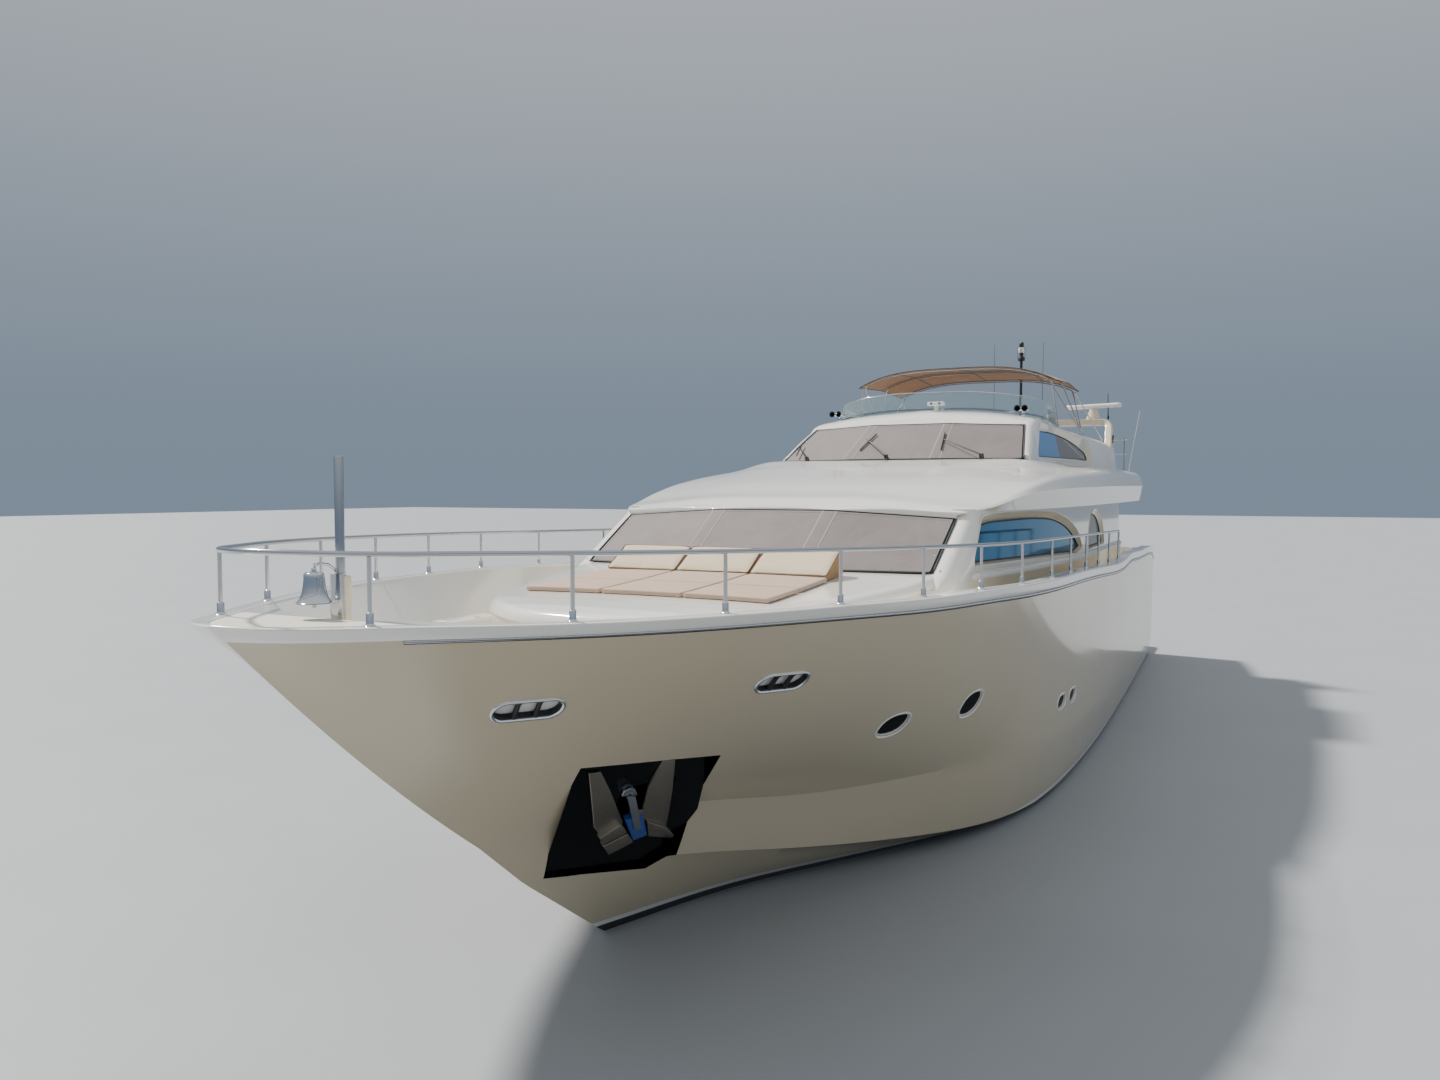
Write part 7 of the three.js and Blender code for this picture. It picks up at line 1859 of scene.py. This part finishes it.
AERIALS = [  # foot, head, radius
    ((-8.64, 0.72, 5.46), (-8.62, 0.74, 7.24), 0.006), ((-8.64, -0.35, 5.46), (-8.66, -0.36, 7.25), 0.006),
    ((-8.50, 2.16, 5.46), (-8.49, 2.15, 6.02), 0.012),
]
shells = []
for foot_at, head_at, thick in AERIALS:
    whip = np.linspace(foot_at, head_at, 10)
    shells.append(sweep(whip, circle(thick, 8), ref=(1, 0.1, 0), scale=np.linspace(1, 0.5, 10)))
    shells.append(turned([(0, 0), (0.022, 0), (0.018, 0.07), (0.010, 0.09), (0, 0.09)], foot_at, sides=12))
add("whip_aerials_black", shells, black_paint, "black_plastic")
whip = np.linspace((-8.5, 2.60, 4.36), (-8.5, 2.81, 5.63), 12)
shells = [
    sweep(whip, circle(0.011, 8), ref=(1, 0.1, 0), scale=np.linspace(1, 0.4, 12)),
    turned([(0, 0), (0.03, 0), (0.028, 0.02), (0.018, 0.10), (0, 0.10)], (-8.5, 2.60, 4.27), sides=14)]
add("whip_aerial_white", shells, white_gelcoat, "white_gelcoat")
strap = rounded([(-8.30, 4.93), (-8.36, 5.06), (-8.44, 5.12), (-8.47, 5.10), (-8.40, 5.03), (-8.33, 4.92)], 0.02, 4)
strap_rings = [np.insert(strap, 1, y, axis=1) for y in (2.20, 2.294)]
add("arch_leg_strap", [shell(strap_rings, wrap=True, ends=True)], dark_web, "canvas")

# Boat deck rail and stair
# Two rails of stainless tube round the after end of the boat deck, and teak treads between white moulded stringers.
DECK_RAIL_HALF, DECK_RAIL_FRONT, DECK_RAIL_AFT, DECK_RAIL_HIGH = 2.5, -8.48, -9.01, 0.64
shells = []
for share, thick in ((1.0, 0.016), (0.5, 0.010)):
    z = UPPER_DECK + DECK_RAIL_HIGH * share
    corners = [(x, hand * DECK_RAIL_HALF, z) for x, hand in (
        (DECK_RAIL_FRONT, -1), (DECK_RAIL_AFT, -1), (DECK_RAIL_AFT, 1), (DECK_RAIL_FRONT, 1))]
    run = bent(corners, 0.12, 9)
    steps = way_along(run)
    run = at_places(np.unique(np.concatenate([steps, np.linspace(0, steps[-1], 50)])), steps, run)
    shells.append(sweep(run, circle(thick, 10)))
post_places = [(DECK_RAIL_FRONT - 0.02, hand * DECK_RAIL_HALF) for hand in (1, -1)]
post_places += [(DECK_RAIL_AFT, y) for y in (-2, -1, 0, 1, 2)]
for x, y in post_places:
    low_z = 4.27 if abs(y) > 2.2 else 4.37
    high = UPPER_DECK + DECK_RAIL_HIGH - low_z
    post = [(0, 0), (0.035, 0), (0.035, 0.03), (0.020, 0.04), (0.014, 0.09), (0.014, high), (0, high)]
    shells.append(turned(post, (x, y, low_z), sides=14))
add("boat_deck_guard_rail", shells, steel, "steel", "boat_deck_rail")
STAIR_Y, STAIR_LOW = (-1.64, -1.06), 1.9505
stair_at = lambda share, drop: (-8.75 + share, STAIR_LOW + share * (UPPER_DECK - 1.95 - 0.06) - drop)
stringer = [(-8.85, STAIR_LOW), (-8.65, STAIR_LOW), stair_at(1, 0.15), stair_at(1, 0.0), (-7.95, UPPER_DECK - 0.06)]
shells = [moulded(stringer, y - 0.015, y + 0.015, 1, 0.01, 0.005) for y in STAIR_Y]
add("flybridge_stair_stringers", shells, white_gelcoat, "white_gelcoat", "flybridge_stair", sharp=40)
shells = []
for k in range(8):
    x, z = stair_at((k + 1) / 9, 0.06)
    tread = (0.12, (STAIR_Y[1] - STAIR_Y[0]) / 2 - 0.005, 0.0175)
    shells += block(tread, 0.01, 0.06, (x - 0.01, np.mean(STAIR_Y), z - 0.0175))
add("flybridge_stair_treads", shells, teak, "teak")


# Cockpit
# A teak-laid cockpit: a moulded settee with sewn cushions against the transom, a teak table on a steel post and hinged
# white gates at the heads of the transom stairs.
sole_x = np.linspace(-7.27, COCKPIT_AFT + 0.06, 24)
sole_half = np.interp(-sole_x, -stations, foot) - 0.03
sole_edge = np.stack([sole_x, sole_half], -1)
fit(planked("cockpit_sole_planks", np.concatenate([sole_edge, (sole_edge * (1, -1))[::-1]]), STAIR_LOW), "teak")
seat_run, seat_gap, seat_width = np.linspace(-1.5, 1.5, 5)[:-1], 0.004, 0.746
seat_group(
    "cockpit_settee",
    [((-9.945, -1.5, STAIR_LOW), (-9.42, 1.5, 2.27)), ((-9.948, -1.5, 2.2), (-9.90, 1.5, 2.68))],
    [((-9.81, y + seat_gap, 2.272), (-9.40, y + seat_width, 2.385)) for y in seat_run]
    + [((-9.895, y + seat_gap, 2.39), (-9.815, y + seat_width, 2.738)) for y in seat_run])
pedestal_table("cockpit_table", (-9.3, -8.6), (-0.65, 0.65), (-8.95, 0), STAIR_LOW, 2.68)
GATE_X, GATE_PIN, GATE_Y, GATE_Z = -9.926, 2.59, (1.737, 2.556), (1.972, 2.598)
KNOB = [(0, 0), (0.022, 0), (0.022, 0.004), (0.012, 0.010), (0.010, 0.03), (0, 0.03)]
LEAF = rounded([(0.008, 0.02), (-0.008, 0.02), (-0.008, -0.02), (0.008, -0.02)], 0.004, 3)
lugs = []
for label, hand in SIDES:
    body = f"transom_gate_{label}"
    low_y, high_y = sorted(hand * y for y in GATE_Y)
    outline = oblong((low_y, GATE_Z[0]), (high_y, GATE_Z[1]))
    panel = moulded(outline, GATE_X - 0.014, GATE_X + 0.014, 0, (0.02, 0.02, 0.06, 0.06), 0.006)
    add(f"{body}_panel", [panel], white_gelcoat, "white_gelcoat", body, sharp=40, body=body)
    hinge = [turned([(0, 0), (0.007, 0), (0.007, 0.58), (0, 0.58)], (GATE_X, hand * GATE_PIN, 1.99), sides=12),
             turned(KNOB, (GATE_X + 0.013, hand * 1.80, 2.50), (1, 0, 0), 16)]
    hinge += [
        bar((GATE_X, hand * GATE_PIN, z), (GATE_X, hand * (GATE_PIN - 0.06), z), LEAF) for z in (2.02, 2.24, 2.54)]
    add(f"{body}_hinge", hinge, steel, "steel", body=body)
    for level in (2.10, 2.46):
        lugs += block((0.013, 0.02, 0.018), 0.006, 0.02, (GATE_X - 0.003, hand * (GATE_PIN + 0.022), level))
add("transom_gate_lugs", lugs, steel, "steel")

# Stern locker
# A white glass-fibre hatch hinged along its top in the transom, shut on a black rubber seal by two chromed turn
# latches.
HATCH_Y, HATCH_Z, HATCH_X = 1.30, (0.86, 2.16), -11.05
LATCH = [(0, 0), (0.032, 0), (0.032, 0.004), (0.024, 0.009), (0, 0.010)]
LATCH_Z = 0.98
grown = lambda grow: oblong((-HATCH_Y - grow, HATCH_Z[0] - grow), (HATCH_Y + grow, HATCH_Z[1] + grow))
seal = moulded(grown(0.008), HATCH_X - 0.003, HATCH_X + 0.004, 0, 0.09, 0.002)
add("stern_hatch_seal", [seal], rubber, "black_plastic")
hatch = moulded(grown(0), HATCH_X - 0.014, HATCH_X + 0.002, 0, 0.085, 0.006)
add("stern_hatch", [hatch], white_gelcoat, "white_gelcoat", sharp=40)
latches = []
for y in (-0.8, 0.8):
    latches.append(turned(LATCH, (HATCH_X - 0.014, y, LATCH_Z), (-1, 0, 0), 24))
    latches += block((0.005, 0.007, 0.022), 0.003, 0.02, (HATCH_X - 0.027, y, LATCH_Z))
for y in (-0.9, 0, 0.9):
    latches += block((0.006, 0.05, 0.016), 0.004, 0.03, (HATCH_X - 0.012, y, HATCH_Z[1] + 0.004))
add("stern_hatch_latches", latches, chrome, "steel")

# Saloon end wall and door
# A white moulded bulkhead with a fixed dark pane, and a framed glass door that slides on a steel track beside it.
WALL_X, WALL_HALF, WALL_SHOULDER, WALL_TOP, PANE_X = (-7.26, -7.2), 2.2997, 3.68, 3.955, (-7.268, -7.258)
DOOR_Y, DOOR_Z, DOOR_X, TRACK_Z, HANDLE_Y = (-0.02, 1.03), (2.115, 3.895), -7.285, 3.945, 0.035
wall_foot = float(deck_at(WALL_X[1])) + 0.001
wall_outline = [
    (-WALL_HALF, wall_foot), (WALL_HALF, wall_foot), (WALL_HALF, WALL_SHOULDER), (WALL_HALF - 0.02, WALL_TOP),
    (0.02 - WALL_HALF, WALL_TOP), (-WALL_HALF, WALL_SHOULDER)]
bulkhead = make("saloon_end_wall", [moulded(wall_outline, *WALL_X, 0, 0.005, 0.003)], white_gelcoat, sharp=40)
carve(bulkhead, make("tool_doorway", [moulded(oblong((0.0, 2.11), (1.0, 3.90)), -7.4, -7.1, 0, 0.03, 0.003)]))
fit(bulkhead, "white_gelcoat", "saloon_bulkhead")
fixed = [moulded(oblong((-1.0, 2.16), (-0.03, 3.86)), *PANE_X, 0, 0.04, 0.003)]
fixed += [moulded(oblong((y, 2.9), (y + 0.85, 3.6)), *PANE_X, 0, 0.06, 0.003) for y in (1.22, -2.07)]
add("saloon_end_panes", fixed, dark_glass, "glass", sharp=40)
track = [bar((DOOR_X, -1.11, TRACK_Z), (DOOR_X, 1.13, TRACK_Z), circle(0.012, 12))]
for y in (-1.075, 1.095):
    track += block((0.022, 0.015, 0.02), 0.004, 0.02, (DOOR_X + 0.007, y, TRACK_Z))
add("saloon_door_track", track, steel, "steel")
middle_line = rounded(oblong((DOOR_Y[0] + 0.03, DOOR_Z[0] + 0.03), (DOOR_Y[1] - 0.03, DOOR_Z[1] - 0.03)), 0.03, 5)
stile = rounded(oblong((-0.028, -0.014), (0.028, 0.014)), 0.005, 3)
door_parts = [sweep(np.insert(middle_line, 0, DOOR_X, axis=1), stile, ref=(1, 0, 0), closed=True)]
for y in (0.045, 0.965):
    door_parts += block((0.013, 0.015, 0.045), 0.004, 0.02, (DOOR_X, y, TRACK_Z - 0.02))
grip_x = DOOR_X - 0.035
door_parts.append(bar((grip_x, HANDLE_Y, 2.9), (grip_x, HANDLE_Y, 3.2), circle(0.009, 8), ref=(1, 0, 0)))
door_parts += [bar((DOOR_X, HANDLE_Y, z), (grip_x, HANDLE_Y, z), circle(0.007, 8)) for z in (2.92, 3.18)]
add("saloon_door_frame", door_parts, steel, "steel", "saloon_door", body="saloon_door")
door_pane = moulded(oblong((0.03, 2.16), (0.98, 3.85)), DOOR_X - 0.005, DOOR_X + 0.005, 0, 0.01, 0.002)
add("saloon_door_pane", [door_pane], dark_glass, "glass", sharp=40, body="saloon_door")

# Pilothouse floor and helm
# A white moulded console with its dark instrument panel and wheel, on the planked floor behind the front glass.


def coat(name, material):
    """Gives one of the solids that stay as they are its finish."""
    for material_slot in frame["nodes"][name].material_slots:
        material_slot.material = material


coat("pilothouse_sole", teak)
helm = moulded([(-0.62, 3.051), (-1.30, 3.051), (-1.30, 3.85), (-1.05, 4.15), (-0.62, 4.20)], -0.9, 0.9, 1, 0.04)
add("pilothouse_helm_moulding", [helm], white_gelcoat, "white_gelcoat", "pilothouse_helm", sharp=40)
dash = [(-1.297, 3.862), (-1.055, 4.152), (-1.045, 4.160), (-1.06, 4.165), (-1.31, 3.868)]
add("pilothouse_dash", [moulded(dash, -0.8, 0.8, 1, 0.004, 0.003)], black_paint, "black_plastic", sharp=40)
add("pilothouse_wheel", wheel((-1.38, -0.4, 3.80), 0.75, 0.2), steel, "steel")

# Swim platform
# A white glass-fibre slab bolted across the transom, its top laid with teak inside a moulded border.
SWIM_AFT, SWIM_HALF, SWIM_LOW, SWIM_TOP, TRANSOM_FOOT = -12.28, 2.65, 0.36, 0.47, -11.0505
LADDER_HALF, LADDER_Z = 0.25, SWIM_TOP + 0.004


def swim_outline(inset):
    """The platform's plan drawn in by an inset, its two after corners rounded."""
    near, far, half_wide = TRANSOM_FOOT - inset, SWIM_AFT + inset, SWIM_HALF - inset
    corners = [(near, -half_wide), (near, half_wide), (far, half_wide), (far, -half_wide)]
    return rounded(corners, (0.01, 0.01, 0.32 - inset, 0.32 - inset), 8)


platform = moulded(swim_outline(0), SWIM_LOW, SWIM_TOP - 0.006, 2, 0.001, 0.02)
add("swim_platform_moulding", [platform], white_gelcoat, "white_gelcoat", "swim_platform", sharp=40)
fit(planked("swim_platform_planks", swim_outline(0.09), SWIM_TOP - 0.008, 0.008), "teak")
ladder = [bar((-12.2, y, LADDER_Z), (-11.7, y, LADDER_Z), circle(0.008, 8)) for y in (-LADDER_HALF, LADDER_HALF)]
ladder += [bar((x, -LADDER_HALF, LADDER_Z), (x, LADDER_HALF, LADDER_Z), circle(0.007, 8), ref=(1, 0, 0))
           for x in (-12.1, -11.95, -11.8)]
add("boarding_ladder", ladder, steel, "steel")

# Underwater gear
# Cast manganese bronze struts, shafts with five-bladed propellers and rudders, blotched and dulled by the sea.
bronze, tree, shader = finish_of("cast_manganese_bronze", Metallic=1.0)
place = tree_coordinates(tree)
patina = node(tree, "ShaderNodeTexNoise", {"Vector": place, "Scale": 7.0, "Detail": 7.0})
blotches = node(tree, "ShaderNodeMapRange", {"Value": patina.outputs["Fac"], "From Min": 0.4, "From Max": 0.65})
dull = node(tree, "ShaderNodeMapRange", {"Value": patina.outputs["Fac"], "To Min": 0.28, "To Max": 0.6})
cast = node(tree, "ShaderNodeTexNoise", {"Vector": place, "Scale": 160.0, "Detail": 2.0})
bump = node(tree, "ShaderNodeBump", {"Height": cast.outputs["Fac"], "Strength": 0.2, "Distance": 0.001})
tree.links.new(blend(tree, blotches.outputs["Result"], "#b28a4c", "#7c6238"), shader.inputs["Base Color"])
tree.links.new(dull.outputs["Result"], shader.inputs["Roughness"])
tree.links.new(bump.outputs["Normal"], shader.inputs["Normal"])
for label in ("port", "starboard"):
    for part in ("shaft_strut", "propeller", "rudder"):
        coat(f"{part}_{label}", bronze)
